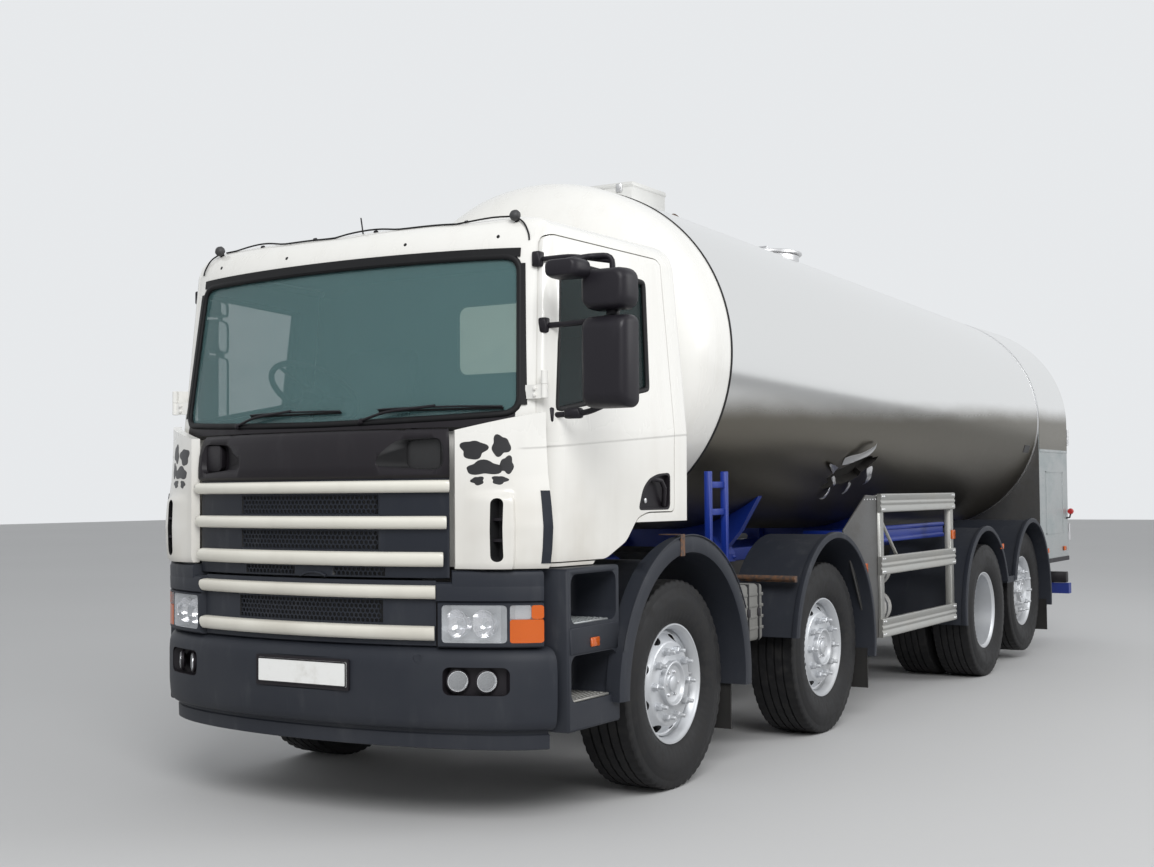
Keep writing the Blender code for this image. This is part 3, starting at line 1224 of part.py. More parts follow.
def side_guard(name, side):
    outer, thick = GUARD_OUTER_X, GUARD_RAIL_THICKNESS
    pieces = []
    for rise in (0, 1 / 2, 1):
        z = between(GUARD_BOTTOM, GUARD_TOP - GUARD_RAIL_HEIGHT, rise)
        pieces.append(block(side * (outer - thick / 2), thick, GUARD_FRONT_Y, GUARD_REAR_Y,
                            z, z + GUARD_RAIL_HEIGHT))
    inside = thick / 4
    arm = sorted((side * (RAIL_HALF_WIDTH + SEAT_GAP), side * (outer - thick)))
    for y in (GUARD_FRONT_Y + inside, GUARD_REAR_Y - GUARD_POST - inside):
        pieces.append(block(side * (outer - thick * 5 / 4), thick * 3 / 2, y, y + GUARD_POST,
                            GUARD_BOTTOM + inside, GUARD_TOP - inside))
        z = RAIL_TOP - GUARD_ARM * 2
        pieces.append(box((arm[0], y + inside, z), (arm[1], y + inside + GUARD_ARM, z + GUARD_ARM)))
    rear, top = GUARD_FRONT_Y + GUARD_POST / 2, GUARD_TOP - inside * 2
    knee = between(GUARD_BOTTOM, GUARD_TOP, GUARD_KNEE_SHARE)
    plate = ((GUARD_PLATE_LOW_Y, GUARD_BOTTOM), (rear, GUARD_BOTTOM), (rear, top),
             (GUARD_PLATE_TOP_Y, top), (GUARD_PLATE_TOP_Y - GUARD_POST, knee))
    ends = sorted((side * (outer - thick * 3 / 2), side * (outer - thick * 3 / 2 + GUARD_PLATE_THICKNESS)))
    pieces.append(prism(plate, "x", *ends))
    place(join(pieces), name, GALVANISED)


def battery_box():
    body = box((BATTERY_INNER_X, BATTERY_FRONT_Y, BATTERY_BOTTOM),
               (BATTERY_OUTER_X, BATTERY_REAR_Y, BATTERY_TOP))
    y = between(BATTERY_FRONT_Y, BATTERY_REAR_Y, 1 / 2)
    z = between(BATTERY_BOTTOM, BATTERY_TOP, 1 / 2)
    size = GUARD_ARM
    arm = box((RAIL_HALF_WIDTH + SEAT_GAP, y - size, z), (BATTERY_INNER_X + size, y + size, z + size * 2))
    place(join([body, arm]), "battery_box", GALVANISED)


def air_tanks():
    pieces = []
    length = AIR_TANK_REAR_Y - AIR_TANK_FRONT_Y
    end, size = AIR_TANK_RADIUS / 2, GUARD_ARM
    profile = ((0, end), (end, AIR_TANK_RADIUS), (length - end, AIR_TANK_RADIUS), (length, end))
    for z in (AIR_TANK_HIGH_Z, AIR_TANK_LOW_Z):
        pieces.append(turned(profile, (AIR_TANK_X, AIR_TANK_FRONT_Y, z), (0, 1, 0), SMALL_STEPS))
    for share in AIR_STRAP_SHARES:
        y = between(AIR_TANK_FRONT_Y, AIR_TANK_REAR_Y, share)
        pieces.append(box((RAIL_HALF_WIDTH + SEAT_GAP, y, AIR_TANK_HIGH_Z - size),
                          (AIR_TANK_X, y + size, AIR_TANK_HIGH_Z)))
        pieces.append(block(AIR_TANK_X, size, y, y + size, AIR_TANK_LOW_Z, AIR_TANK_HIGH_Z))
    place(join(pieces), "air_tanks", WHITE_PAINT)


def fuel_tank():
    corner = FUEL_CORNER
    low, high = FUEL_BOTTOM, FUEL_TOP
    inner, outer = -FUEL_INNER_X, -FUEL_OUTER_X
    outline = ((outer + corner, low), (inner - corner, low), (inner, low + corner), (inner, high - corner),
               (inner - corner, high), (outer + corner, high), (outer, high - corner), (outer, low + corner))
    body = prism(outline, "y", FUEL_FRONT_Y, FUEL_REAR_Y)
    arms = []
    for share in FUEL_STRAP_SHARES:
        y = between(FUEL_FRONT_Y, FUEL_REAR_Y, share)
        arms.append(box((inner - corner, y, RAIL_BOTTOM),
                        (-RAIL_HALF_WIDTH - SEAT_GAP, y + GUARD_ARM, RAIL_BOTTOM + GUARD_ARM)))
    place(join([body, *arms]), "fuel_tank", GALVANISED)


for side_name, side_sign in SIDES:
    side_guard("side_guard_" + side_name, side_sign)
battery_box()
air_tanks()
fuel_tank()

# Engine with gearbox, as one plain block
ENGINE_FRONT_Y = -0.920
ENGINE_REAR_Y = 0.060
ENGINE_BOTTOM = 0.640
GEARBOX_HALF_WIDTH = 0.200
GEARBOX_REAR_Y = 0.700
GEARBOX_TOP = 0.880
ENGINE_MOUNT = 0.060


def engine():
    low, high = ENGINE_BOTTOM + OVERRUN / 2, RAIL_TOP + SEAT_GAP
    body = block(0, ENGINE_HALF_WIDTH * 2, ENGINE_FRONT_Y, ENGINE_REAR_Y, ENGINE_BOTTOM, ENGINE_TOP)
    gearbox = block(0, GEARBOX_HALF_WIDTH * 2, ENGINE_REAR_Y - OVERRUN, GEARBOX_REAR_Y, low, GEARBOX_TOP)
    mounts = []
    y = between(ENGINE_FRONT_Y, ENGINE_REAR_Y, 1 / 2)
    for _, side in SIDES:
        ends = sorted((side * (ENGINE_HALF_WIDTH - OVERRUN), side * SPRING_X))
        mounts.append(box((ends[0], y, high), (ends[1], y + ENGINE_MOUNT * 2, high + ENGINE_MOUNT)))
    place(join([body, gearbox, *mounts]), "engine_block", BLACK_PAINT)


engine()

# Axles: two steered beams on leaf springs, a driven axle and a lifted tag axle on trailing arms
BEAM_HALF_DEPTH = 0.045
BEAM_BOTTOM = 0.400
BEAM_TOP = 0.500
BEAM_DROP_SHARE = 0.6
SPRING_THICKNESS = 0.050
SPRING_SAG = 0.060
SPRING_STEPS = 6
KINGPIN_X = 0.860
KINGPIN_RADIUS = 0.045
BEAM_EYE_HALF = 0.060
YOKE_HEIGHT = 0.050
YOKE_HALF_Y = 0.045
YOKE_WEB_X = 0.912
DRUM_RADIUS = 0.200
DRUM_STEPS = 12
DRUM_INNER_X = 0.935
HUB_FACE_X = 0.990
STUB_RADIUS = 0.050
AXLE_TUBE_RADIUS = 0.070
DRIVE_DRUM_INNER_X = 0.680
DRIVE_HUB_X = 0.885
DIFF_RADIUS = 0.200
DIFF_HALF_WIDTH = 0.220
ARM_THICKNESS = 0.055
ARM_REAR_REACH = 0.600
BELLOWS_RADIUS = 0.115
BELLOWS_BACK = 0.130
SHAFT_RADIUS = 0.050
PINION_REACH = 0.400
PINION_RADIUS = 0.110


def spring(side, y, seat_top):
    """A leaf spring as one curved bar, from its hangers down to its seat on the beam."""
    top, bottom = [], []
    for k in range(SPRING_STEPS + 1):
        along = between(-1, 1, k / SPRING_STEPS)
        z = SPRING_END_TOP - SPRING_SAG * (1 - along ** 2)
        top.append((y + along * (SPRING_HALF_LENGTH + HANGER_LENGTH / 2), z))
        bottom.append((y + along * (SPRING_HALF_LENGTH + HANGER_LENGTH / 2), z - SPRING_THICKNESS))
    x = side * SPRING_X
    leaf = prism(top + bottom[::-1], "x", x - SPRING_WIDTH / 2, x + SPRING_WIDTH / 2)
    seat_block = block(x, SPRING_WIDTH, y - BEAM_HALF_DEPTH, y + BEAM_HALF_DEPTH, seat_top - OVERRUN / 2,
                       SPRING_END_TOP - SPRING_SAG - SPRING_THICKNESS / 2)
    return [leaf, seat_block]


def steered_beam(name, y):
    z = AXLE_HEIGHT
    half = KINGPIN_X - OVERRUN
    drop = between(RAIL_HALF_WIDTH, half, BEAM_DROP_SHARE)
    low, high = z - BEAM_EYE_HALF / 2, z + BEAM_EYE_HALF / 2
    outline = ((-half, low), (-drop, BEAM_BOTTOM), (drop, BEAM_BOTTOM), (half, low),
               (half, high), (drop, BEAM_TOP), (-drop, BEAM_TOP), (-half, high))
    pieces = [prism(outline, "y", y - BEAM_HALF_DEPTH, y + BEAM_HALF_DEPTH)]
    for _, side in SIDES:
        x = side * KINGPIN_X
        pieces.append(rod((x, y, z - BEAM_EYE_HALF), (x, y, z + BEAM_EYE_HALF), KINGPIN_RADIUS))
        ends = sorted((side * (half - OVERRUN), x))
        pieces.append(box((ends[0], y - BEAM_HALF_DEPTH / 2, z - BEAM_EYE_HALF / 3),
                          (ends[1], y + BEAM_HALF_DEPTH / 2, z + BEAM_EYE_HALF / 3)))
        pieces += spring(side, y, BEAM_TOP)
    place(join(pieces), name, BLACK_PAINT)


def knuckle(name, side, y):
    """Steering knuckle: yoke round the beam's eye, brake drum and stub."""
    z = AXLE_HEIGHT
    reach = KINGPIN_X - KINGPIN_RADIUS
    near = BEAM_EYE_HALF + PIN_GAP
    far = near + YOKE_HEIGHT
    pieces = []
    for low, high in ((z + near, z + far), (z - far, z - near)):
        ends = sorted((side * reach, side * (DRUM_INNER_X + RAIL_WALL)))
        pieces.append(box((ends[0], y - YOKE_HALF_Y, low), (ends[1], y + YOKE_HALF_Y, high)))
    ends = sorted((side * YOKE_WEB_X, side * (DRUM_INNER_X + RAIL_WALL)))
    pieces.append(box((ends[0], y - YOKE_HALF_Y, z - far), (ends[1], y + YOKE_HALF_Y, z + far)))
    start = (side * DRUM_INNER_X, y, z)
    pieces.append(rod(start, (side * (HUB_FACE_X - MOVING_GAP), y, z), DRUM_RADIUS, DRUM_STEPS))
    pieces.append(rod(start, (side * (HUB_FACE_X - PIN_GAP), y, z), STUB_RADIUS))
    place(join(pieces), name, BLACK_PAINT, (side * KINGPIN_X, y, z))


def trailing_arms(y, z, front_reach, arm_top):
    """Arms from a hanger ahead of the axle to an air bellows behind it."""
    pieces = []
    low = arm_top - ARM_THICKNESS
    for _, side in SIDES:
        x = side * SPRING_X
        rear = y + ARM_REAR_REACH
        pieces.append(block(x, SPRING_WIDTH, y - front_reach - HANGER_LENGTH / 2, rear, low, arm_top))
        pieces.append(rod((x, rear - BELLOWS_BACK, arm_top - ARM_THICKNESS / 2),
                          (x, rear - BELLOWS_BACK, RAIL_BOTTOM - SEAT_GAP), BELLOWS_RADIUS))
        pieces.append(block(x, SPRING_WIDTH, y - BEAM_HALF_DEPTH, y + BEAM_HALF_DEPTH,
                            z, arm_top - ARM_THICKNESS / 2))
    return pieces


def drive_axle():
    y, z = AXLE_3_Y, AXLE_HEIGHT
    half = DRIVE_HUB_X - PIN_GAP
    pieces = [rod((-half, y, z), (half, y, z), AXLE_TUBE_RADIUS)]
    neck = AXLE_TUBE_RADIUS * 3 / 2
    bulge = ((0, neck), (DIFF_HALF_WIDTH / 2, DIFF_RADIUS), (DIFF_HALF_WIDTH * 3 / 2, DIFF_RADIUS),
             (DIFF_HALF_WIDTH * 2, neck))
    pieces.append(turned(bulge, (-DIFF_HALF_WIDTH, y, z), (1, 0, 0), SMALL_STEPS))
    nose = y - PINION_REACH
    pieces.append(rod((0, y, z), (0, nose, z), PINION_RADIUS))
    front = GEARBOX_REAR_Y + SEAT_GAP
    shaft_z = between(ENGINE_BOTTOM, GEARBOX_TOP, 1 / 2)
    pieces.append(rod((0, nose + OVERRUN, z), (0, front, shaft_z), SHAFT_RADIUS))
    for _, side in SIDES:
        start = (side * DRIVE_DRUM_INNER_X, y, z)
        pieces.append(rod(start, (side * (half - MOVING_GAP), y, z), DRUM_RADIUS, DRUM_STEPS))
    pieces += trailing_arms(y, z, ARM_FRONT_REACH, ARM_TOP)
    ahead = box((-BODY_HALF_WIDTH, -FRONT_OVERHANG, 0), (BODY_HALF_WIDTH, front, RAIL_TOP))
    place(carve(join(pieces, "MANIFOLD"), [ahead]), "drive_axle", BLACK_PAINT)


def tag_axle():
    y, z = AXLE_4_Y, AXLE_HEIGHT + TAG_AXLE_LIFT
    half = HUB_FACE_X - PIN_GAP
    pieces = [rod((-half, y, z), (half, y, z), AXLE_TUBE_RADIUS)]
    for _, side in SIDES:
        start = (side * (DRUM_INNER_X - OVERRUN), y, z)
        pieces.append(rod(start, (side * (half - MOVING_GAP), y, z), DRUM_RADIUS, DRUM_STEPS))
    pieces += trailing_arms(y, z, TAG_ARM_FRONT_REACH, TAG_ARM_TOP)
    place(join(pieces), "tag_axle", BLACK_PAINT)


steered_beam("axle_beam_first", 0)
steered_beam("axle_beam_second", AXLE_2_Y)
drive_axle()
tag_axle()
for axle_name, axle_y in (("first", 0), ("second", AXLE_2_Y)):
    for side_name, side_sign in SIDES:
        knuckle(f"knuckle_{axle_name}_{side_name}", side_sign, axle_y)

# Wheels: tyre and steel rim in one turned solid, as a section from the outer hub face inwards
# Columns of a tyre row: place across the tyre from its middle, height from rim to tread
TYRE_ROW_SHARES = ((0.76, 0.0), (1.0, 0.45), (0.86, 1.0), (-0.86, 1.0), (-1.0, 0.45), (-0.76, 0.0))
HUB_CAP_X = 1.150
HUB_RADIUS = 0.115
DISC_X = 1.115
DISC_EDGE_RADIUS = 0.205
DISC_VALLEY_X = 1.070
DISC_VALLEY_RADIUS = 0.245
DISC_BACK_X = 1.052
RIM_WELL_RADIUS = 0.262
DISC_THICKNESS = 0.018
HUB_BORE_RADIUS = 0.090
TWIN_DISC_X = 0.935
TWIN_HUB_CAP_X = 1.060


def tyre_rows(centre):
    rows = []
    for across, rise in TYRE_ROW_SHARES:
        rows.append((centre + across * TYRE_WIDTH / 2, between(RIM_RADIUS, TYRE_RADIUS, rise)))
    return rows


def wheel(name, side, y, z, parent=None):
    flange = TRACK_HALF + TYRE_ROW_SHARES[0][0] * TYRE_WIDTH / 2
    thick = DISC_THICKNESS
    profile = [(HUB_CAP_X, HUB_RADIUS), (DISC_X, HUB_RADIUS), (DISC_X, DISC_EDGE_RADIUS),
               (DISC_VALLEY_X, DISC_VALLEY_RADIUS), (flange - thick, RIM_WELL_RADIUS)]
    profile += tyre_rows(TRACK_HALF)
    profile += [(DISC_BACK_X, RIM_WELL_RADIUS), (DISC_BACK_X - thick, HUB_BORE_RADIUS),
                (HUB_FACE_X, HUB_BORE_RADIUS)]
    place(turned(profile, (0, y, z), (side, 0, 0)), name, RUBBER_STEEL, (side * TRACK_HALF, y, z), parent)


def twin_wheel(name, side, y, z):
    outer = TRACK_HALF + HUB_BORE_RADIUS - DISC_THICKNESS * 3 / 2
    inner = outer - TWIN_SPACING
    profile = [(TWIN_HUB_CAP_X, HUB_RADIUS), (TWIN_DISC_X, HUB_RADIUS), (TWIN_DISC_X, DISC_EDGE_RADIUS),
               (outer, RIM_WELL_RADIUS)]
    profile += tyre_rows(outer) + tyre_rows(inner)
    back = TWIN_DISC_X - DISC_THICKNESS * 2
    profile += [(inner - TYRE_WIDTH / 3, RIM_WELL_RADIUS), (back, RIM_WELL_RADIUS), (back, HUB_BORE_RADIUS),
                (DRIVE_HUB_X, HUB_BORE_RADIUS)]
    place(turned(profile, (0, y, z), (side, 0, 0)), name, RUBBER_STEEL, (side * TRACK_HALF, y, z))


for side_name, side_sign in SIDES:
    for axle_name, axle_y in (("first", 0), ("second", AXLE_2_Y)):
        bpy.context.view_layer.update()
        carrier = bpy.data.objects[f"knuckle_{axle_name}_{side_name}"]
        wheel(f"wheel_{axle_name}_{side_name}", side_sign, axle_y, AXLE_HEIGHT, carrier)
    twin_wheel("wheel_drive_" + side_name, side_sign, AXLE_3_Y, AXLE_HEIGHT)
    wheel("wheel_tag_" + side_name, side_sign, AXLE_4_Y, AXLE_HEIGHT + TAG_AXLE_LIFT)
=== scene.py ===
# %% [markdown]
# # A milk tanker truck, dressed on its frame
#
# The frame holds the truck's solids at their real size, each on the body that it moves with. This
# lesson gives them their looks: finer shells where a curve shows, small parts that a solid leaves
# out, and a finish for every surface.

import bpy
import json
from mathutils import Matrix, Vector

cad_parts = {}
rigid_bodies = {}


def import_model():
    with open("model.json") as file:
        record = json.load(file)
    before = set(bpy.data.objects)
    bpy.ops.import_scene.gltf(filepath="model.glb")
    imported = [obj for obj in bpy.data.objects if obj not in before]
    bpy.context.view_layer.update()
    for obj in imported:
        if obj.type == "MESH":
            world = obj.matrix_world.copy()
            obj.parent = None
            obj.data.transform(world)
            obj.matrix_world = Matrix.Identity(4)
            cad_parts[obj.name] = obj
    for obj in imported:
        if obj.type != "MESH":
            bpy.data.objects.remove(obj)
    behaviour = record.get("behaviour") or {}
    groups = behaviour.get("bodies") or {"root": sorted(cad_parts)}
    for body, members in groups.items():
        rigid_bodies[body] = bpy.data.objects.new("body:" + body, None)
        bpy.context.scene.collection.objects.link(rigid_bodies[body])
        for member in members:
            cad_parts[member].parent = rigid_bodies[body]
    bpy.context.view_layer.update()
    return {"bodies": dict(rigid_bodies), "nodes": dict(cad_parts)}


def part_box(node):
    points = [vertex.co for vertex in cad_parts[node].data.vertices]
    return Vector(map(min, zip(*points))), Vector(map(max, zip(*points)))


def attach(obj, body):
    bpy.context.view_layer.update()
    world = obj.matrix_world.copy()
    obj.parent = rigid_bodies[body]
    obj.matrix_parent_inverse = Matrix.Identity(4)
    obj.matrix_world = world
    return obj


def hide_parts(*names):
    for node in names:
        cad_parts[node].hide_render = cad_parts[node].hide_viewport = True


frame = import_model()

# %% What Blender and Python bring
import json
import math

import bmesh
import bpy
from mathutils import Matrix, Vector

UP = Vector((0, 0, 1))
ACROSS = Vector((1, 0, 0))
ALONG = Vector((0, 1, 0))
SIDES = (("left", 1), ("right", -1))

# %% [markdown]
# Truck makers measure along a truck from its first axle, so the shapes below do too. A finished
# piece is then moved as a whole into the frame. The first axle's place comes from the frame itself,
# as the middle of its wheel, so nothing has to be fitted by eye.

# %% Places along the truck
def middle_of(node):
    low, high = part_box(node)
    return (low + high) / 2


FIRST_AXLE = middle_of("wheel_first_left").y
AXLES = {}
for axle in ("first", "second", "drive", "tag"):
    centre = middle_of(f"wheel_{axle}_left")
    AXLES[axle] = (centre.y - FIRST_AXLE, centre.z)
TYRE_RADIUS = AXLES["first"][1]
print("axles behind the first one:", {name: round(place[0], 3) for name, place in AXLES.items()})

# %% [markdown]
# The camera stands where the photographer stood, a little over one metre from the ground and to the
# left of the truck's nose. Three turns and a focal length are enough to repeat that view.

# %% Camera
CAMERA_PLACE = (4.58128, -10.12799, 1.45731)
CAMERA_TURNS = (92.2058, 0.4462, 31.2654)
CAMERA_LENS = 46.79
camera_data = bpy.data.cameras.new("camera")
camera_data.lens = CAMERA_LENS
camera_data.sensor_width = 36
camera_data.sensor_fit = "HORIZONTAL"
camera = bpy.data.objects.new("camera", camera_data)
camera.location = CAMERA_PLACE
camera.rotation_euler = [math.radians(turn) for turn in CAMERA_TURNS]
bpy.context.scene.collection.objects.link(camera)
bpy.context.scene.camera = camera
bpy.context.scene.view_settings.view_transform = "Standard"
print("camera stands at", CAMERA_PLACE)

# %% [markdown]
# A shader is a small sum over the surface. Written with nodes alone it fills a page, so this class
# wraps one socket and lets Python's own signs add the Math nodes: `1 - dirt * 0.5` builds two of them.

# %% A socket that can be reckoned with
class Wire:
    """A number that changes over a surface or a set of points."""

    def __init__(self, maker, socket):
        self.maker = maker
        self.socket = socket

    def maths(self, operation, *values):
        return self.maker.node("ShaderNodeMath", {"operation": operation}, dict(enumerate(values)))

    def __add__(self, other):
        return self.maths("ADD", self, other)

    def __sub__(self, other):
        return self.maths("SUBTRACT", self, other)

    def __rsub__(self, other):
        return self.maths("SUBTRACT", other, self)

    def __mul__(self, other):
        return self.maths("MULTIPLY", self, other)

    def __truediv__(self, other):
        return self.maths("DIVIDE", self, other)

    def __pow__(self, other):
        return self.maths("POWER", self, other)

    __radd__ = __add__
    __rmul__ = __mul__

    def rooted(self):
        return self.maths("SQRT", self)

    def floored(self):
        return self.maths("FLOOR", self)

    def size(self):
        return self.maths("ABSOLUTE", self)

    def most(self, other):
        return self.maths("MAXIMUM", self, other)

    def least(self, other):
        return self.maths("MINIMUM", self, other)

    def rise(self, low, high):
        """From 0 at low to 1 at high, with a smooth start and end."""
        values = {0: self, 1: low, 2: high, 3: 0.0, 4: 1.0}
        return self.maker.node("ShaderNodeMapRange", {"interpolation_type": "SMOOTHSTEP"}, values)


# %% A maker of nodes, for shaders and for geometry
class Maker:
    """Adds nodes to a tree, with their settings first and then their values or links."""

    def __init__(self, tree):
        self.tree = tree

    def node(self, kind, settings=None, values=None, output=0):
        made = self.tree.nodes.new(kind)
        for name, value in (settings or {}).items():
            setattr(made, name, value)
        for key, value in (values or {}).items():
            self.give(made.inputs[key], value)
        return Wire(self, made.outputs[output])

    def give(self, socket, value):
        if isinstance(value, Wire):
            self.tree.links.new(value.socket, socket)
        else:
            socket.default_value = value


# %% [markdown]
# Every finish is one Principled shader. Its constant values are set on the sockets, and only colour,
# roughness, metal, opacity and bump get a pattern. All patterns read Object coordinates, which are
# metres here, so a grain of two millimetres is typed as such.

# %% A finish
class Finish(Maker):
    def __init__(self, name, slot, colour, roughness=0.5, metallic=0.0, constants=None):
        self.material = bpy.data.materials.new(name)
        self.material.use_nodes = True
        super().__init__(self.material.node_tree)
        self.shader = self.tree.nodes["Principled BSDF"]
        self.slot = slot
        self.colour = (*colour, 1)
        self.shader.inputs["Base Color"].default_value = self.colour
        self.shader.inputs["Roughness"].default_value = roughness
        self.shader.inputs["Metallic"].default_value = metallic
        for key, value in (constants or {}).items():
            self.shader.inputs[key].default_value = value

    def place(self):
        return self.node("ShaderNodeTexCoord", output=3)

    def axes(self):
        parts = self.tree.nodes.new("ShaderNodeSeparateXYZ")
        self.tree.links.new(self.place().socket, parts.inputs[0])
        return [Wire(self, output) for output in parts.outputs]

    def stretched(self, scales):
        return self.node("ShaderNodeMapping", None, {"Vector": self.place(), "Scale": scales})

    def noise(self, size, detail=3.0, stretch=(1, 1, 1), roughness=0.55):
        """A cloudy pattern from 0 to 1, with patches of about the given size in metres."""
        values = {"Vector": self.stretched(stretch), "Scale": 1 / size, "Detail": detail,
                  "Roughness": roughness}
        return self.node("ShaderNodeTexNoise", None, values)

    def cells(self, size, feature="F1", stretch=(1, 1, 1)):
        values = {"Vector": self.stretched(stretch), "Scale": 1 / size}
        return self.node("ShaderNodeTexVoronoi", {"feature": feature}, values)

    def mixed(self, share, first, second):
        settings = {"data_type": "RGBA"}
        colours = [c if isinstance(c, Wire) else (*c[:3], 1) for c in (first, second)]
        return self.node("ShaderNodeMix", settings, {0: share, 6: colours[0], 7: colours[1]}, 2)

    def feed(self, socket, value):
        self.give(self.shader.inputs[socket], value)

    def colour_by(self, share, first, second):
        self.feed("Base Color", self.mixed(share, first, second))

    def bump(self, height, distance, strength=1.0):
        values = {"Height": height, "Distance": distance, "Strength": strength}
        self.feed("Normal", self.node("ShaderNodeBump", None, values))

# %% [markdown]
# Two things make outdoor paint look used: a thin film of road dirt that thickens towards the ground,
# and fine streaks that rain draws down the sides. One function gives both as a share from 0 to 1.

# %% Road dirt
def road_dirt(finish, clean_height, low_height, most):
    """How much dirt lies on the surface: none above the clean height, and most at the low height."""
    height = finish.axes()[2]
    low = 1 - height.rise(low_height, clean_height)
    streaks = finish.noise(0.12, 4, (1, 1, 0.12)).rise(0.42, 0.78)
    patches = finish.noise(0.45, 3).rise(0.30, 0.75)
    return (low * (0.35 + patches * 0.65) + streaks * 0.16) * most


# %% [markdown]
# The cab and the tank's dished end are sprayed in a warm off-white with a clear coat. The door's two
# pressed lines are too shallow to model: a bump along a sloping height draws them.

# %% White paint
def door_lines(finish):
    """Heights of the pressed lines in the cab's side, as a relief for the bump."""
    across, along, height = finish.axes()
    side = across.size().rise(1.02, 1.06)
    crease = height - (along * 0.072 + 1.985)
    return crease.rise(-0.006, 0.006) * side


white_paint = Finish("white_paint", "white_paint", (0.80, 0.79, 0.755), 0.28,
                     constants={"Coat Weight": 0.4, "Coat Roughness": 0.08})
film = road_dirt(white_paint, 1.9, 1.05, 0.55)
white_paint.colour_by(film, (0.80, 0.79, 0.755), (0.42, 0.38, 0.31))
white_paint.feed("Roughness", 0.26 + film * 0.4)
white_paint.bump(door_lines(white_paint) + white_paint.noise(0.004, 2) * 0.02, 0.006, 0.7)

cream_paint = Finish("cream_paint", "white_paint", (0.80, 0.78, 0.70), 0.35,
                     constants={"Coat Weight": 0.3, "Coat Roughness": 0.12})
film = road_dirt(cream_paint, 1.7, 0.7, 0.45)
cream_paint.colour_by(film, (0.80, 0.78, 0.70), (0.36, 0.32, 0.26))
cream_paint.feed("Roughness", 0.34 + film * 0.35)
print("white finishes made")

# %% [markdown]
# Bumper, arches and steps are moulded in a dark blue-grey plastic with a fine grain. Where it is
# rubbed or dusty it turns paler and duller.

# %% Moulded plastics
def moulded(name, colour, worn, roughness, dust):
    finish = Finish(name, "dark_plastic", colour, roughness, 0.0, {"Specular IOR Level": 0.22})
    film = road_dirt(finish, 1.5, 0.35, dust)
    scuffs = finish.noise(0.09, 5, (1, 1, 0.35)).rise(0.55, 0.80)
    finish.colour_by((film + scuffs * 0.22).least(1.0), colour, worn)
    finish.feed("Roughness", roughness + film * 0.2 - scuffs * 0.12)
    finish.bump(finish.noise(0.0022, 2), 0.0006, 0.35)
    return finish


dark_plastic = moulded("dark_plastic", (0.017, 0.020, 0.028), (0.072, 0.074, 0.080), 0.50, 0.26)
black_plastic = moulded("black_plastic", (0.014, 0.012, 0.015), (0.036, 0.033, 0.037), 0.44, 0.14)
mirror_plastic = moulded("mirror_plastic", (0.015, 0.0135, 0.0175), (0.040, 0.038, 0.045), 0.42, 0.08)
flap_rubber = moulded("flap_rubber", (0.010, 0.010, 0.011), (0.045, 0.043, 0.040), 0.62, 0.60)
dusty_cover = moulded("dusty_cover", (0.145, 0.145, 0.140), (0.24, 0.23, 0.205), 0.62, 0.50)
seal_rubber = moulded("seal_rubber", (0.008, 0.008, 0.009), (0.030, 0.030, 0.030), 0.55, 0.20)
trim_plastic = moulded("trim_plastic", (0.055, 0.058, 0.060), (0.10, 0.10, 0.10), 0.65, 0.10)
print("moulded plastics made")

# %% [markdown]
# The tank's cladding is polished stainless steel. Its upper half is nearly a mirror. Below the middle
# its colour is darkened in cloudy bands, nearly to black lower down: a painted reflection of the dark
# ground, which makes the lower half of the tank look dark even in bright daylight. It is rougher there.

# %% Polished cladding
polished = Finish("polished_cladding", "polished_steel", (0.86, 0.86, 0.85), 0.16, 1.0)
across, along, height = polished.axes()
fall = height - along * 0.031
clouds = polished.noise(0.7, 4, (1, 0.35, 1.4))
# Below the middle the colour darkens in cloudy bands: a painted reflection of the dark ground. The steel is
# rougher there too.
painted_reflection_band = 1 - (fall + clouds * 0.14).rise(1.98, 2.17)
# Lower still the colour goes nearly black: more painted reflection of the ground.
deep = 1 - (fall + clouds * 0.26).rise(1.42, 1.95)
reflection_darkened_steel = polished.mixed(painted_reflection_band, (0.86, 0.86, 0.85), (0.165, 0.150, 0.120))
polished.colour_by(deep * 0.85, reflection_darkened_steel, (0.050, 0.043, 0.036))
polished.feed("Roughness", 0.13 + painted_reflection_band * 0.16 + deep * 0.12 + polished.noise(0.05, 4) * 0.05)
waves = polished.noise(0.9, 1, (1, 0.25, 1))
grinding = polished.noise(0.003, 2, (0.2, 1, 0.2))
polished.bump(waves + grinding * 0.010, 0.012, 0.6)
print("cladding made")

# %% [markdown]
# Bare metals differ by their grain: galvanised sheet has spangles, brushed aluminium has fine lines
# along its length, and machined nuts are clean and bright with dirt in between.

# %% Bare metals
def bare_metal(name, colour, stained, roughness, spangle, stain=0.5):
    finish = Finish(name, "galvanised", colour, roughness, 1.0)
    flakes = finish.cells(spangle)
    patches = finish.noise(0.30, 5, (1, 0.5, 1)).rise(0.42, 0.72)
    marks = finish.noise(0.035, 4, (1, 0.25, 1.6)).rise(0.58, 0.74)
    share = (patches * stain + marks * 0.3).least(1.0)
    finish.colour_by(share, colour, stained)
    finish.feed("Roughness", roughness + patches * 0.16 + flakes * 0.08)
    finish.feed("Metallic", 1 - share * 0.45)
    finish.bump(finish.noise(0.006, 3), 0.0006, 0.3)
    return finish


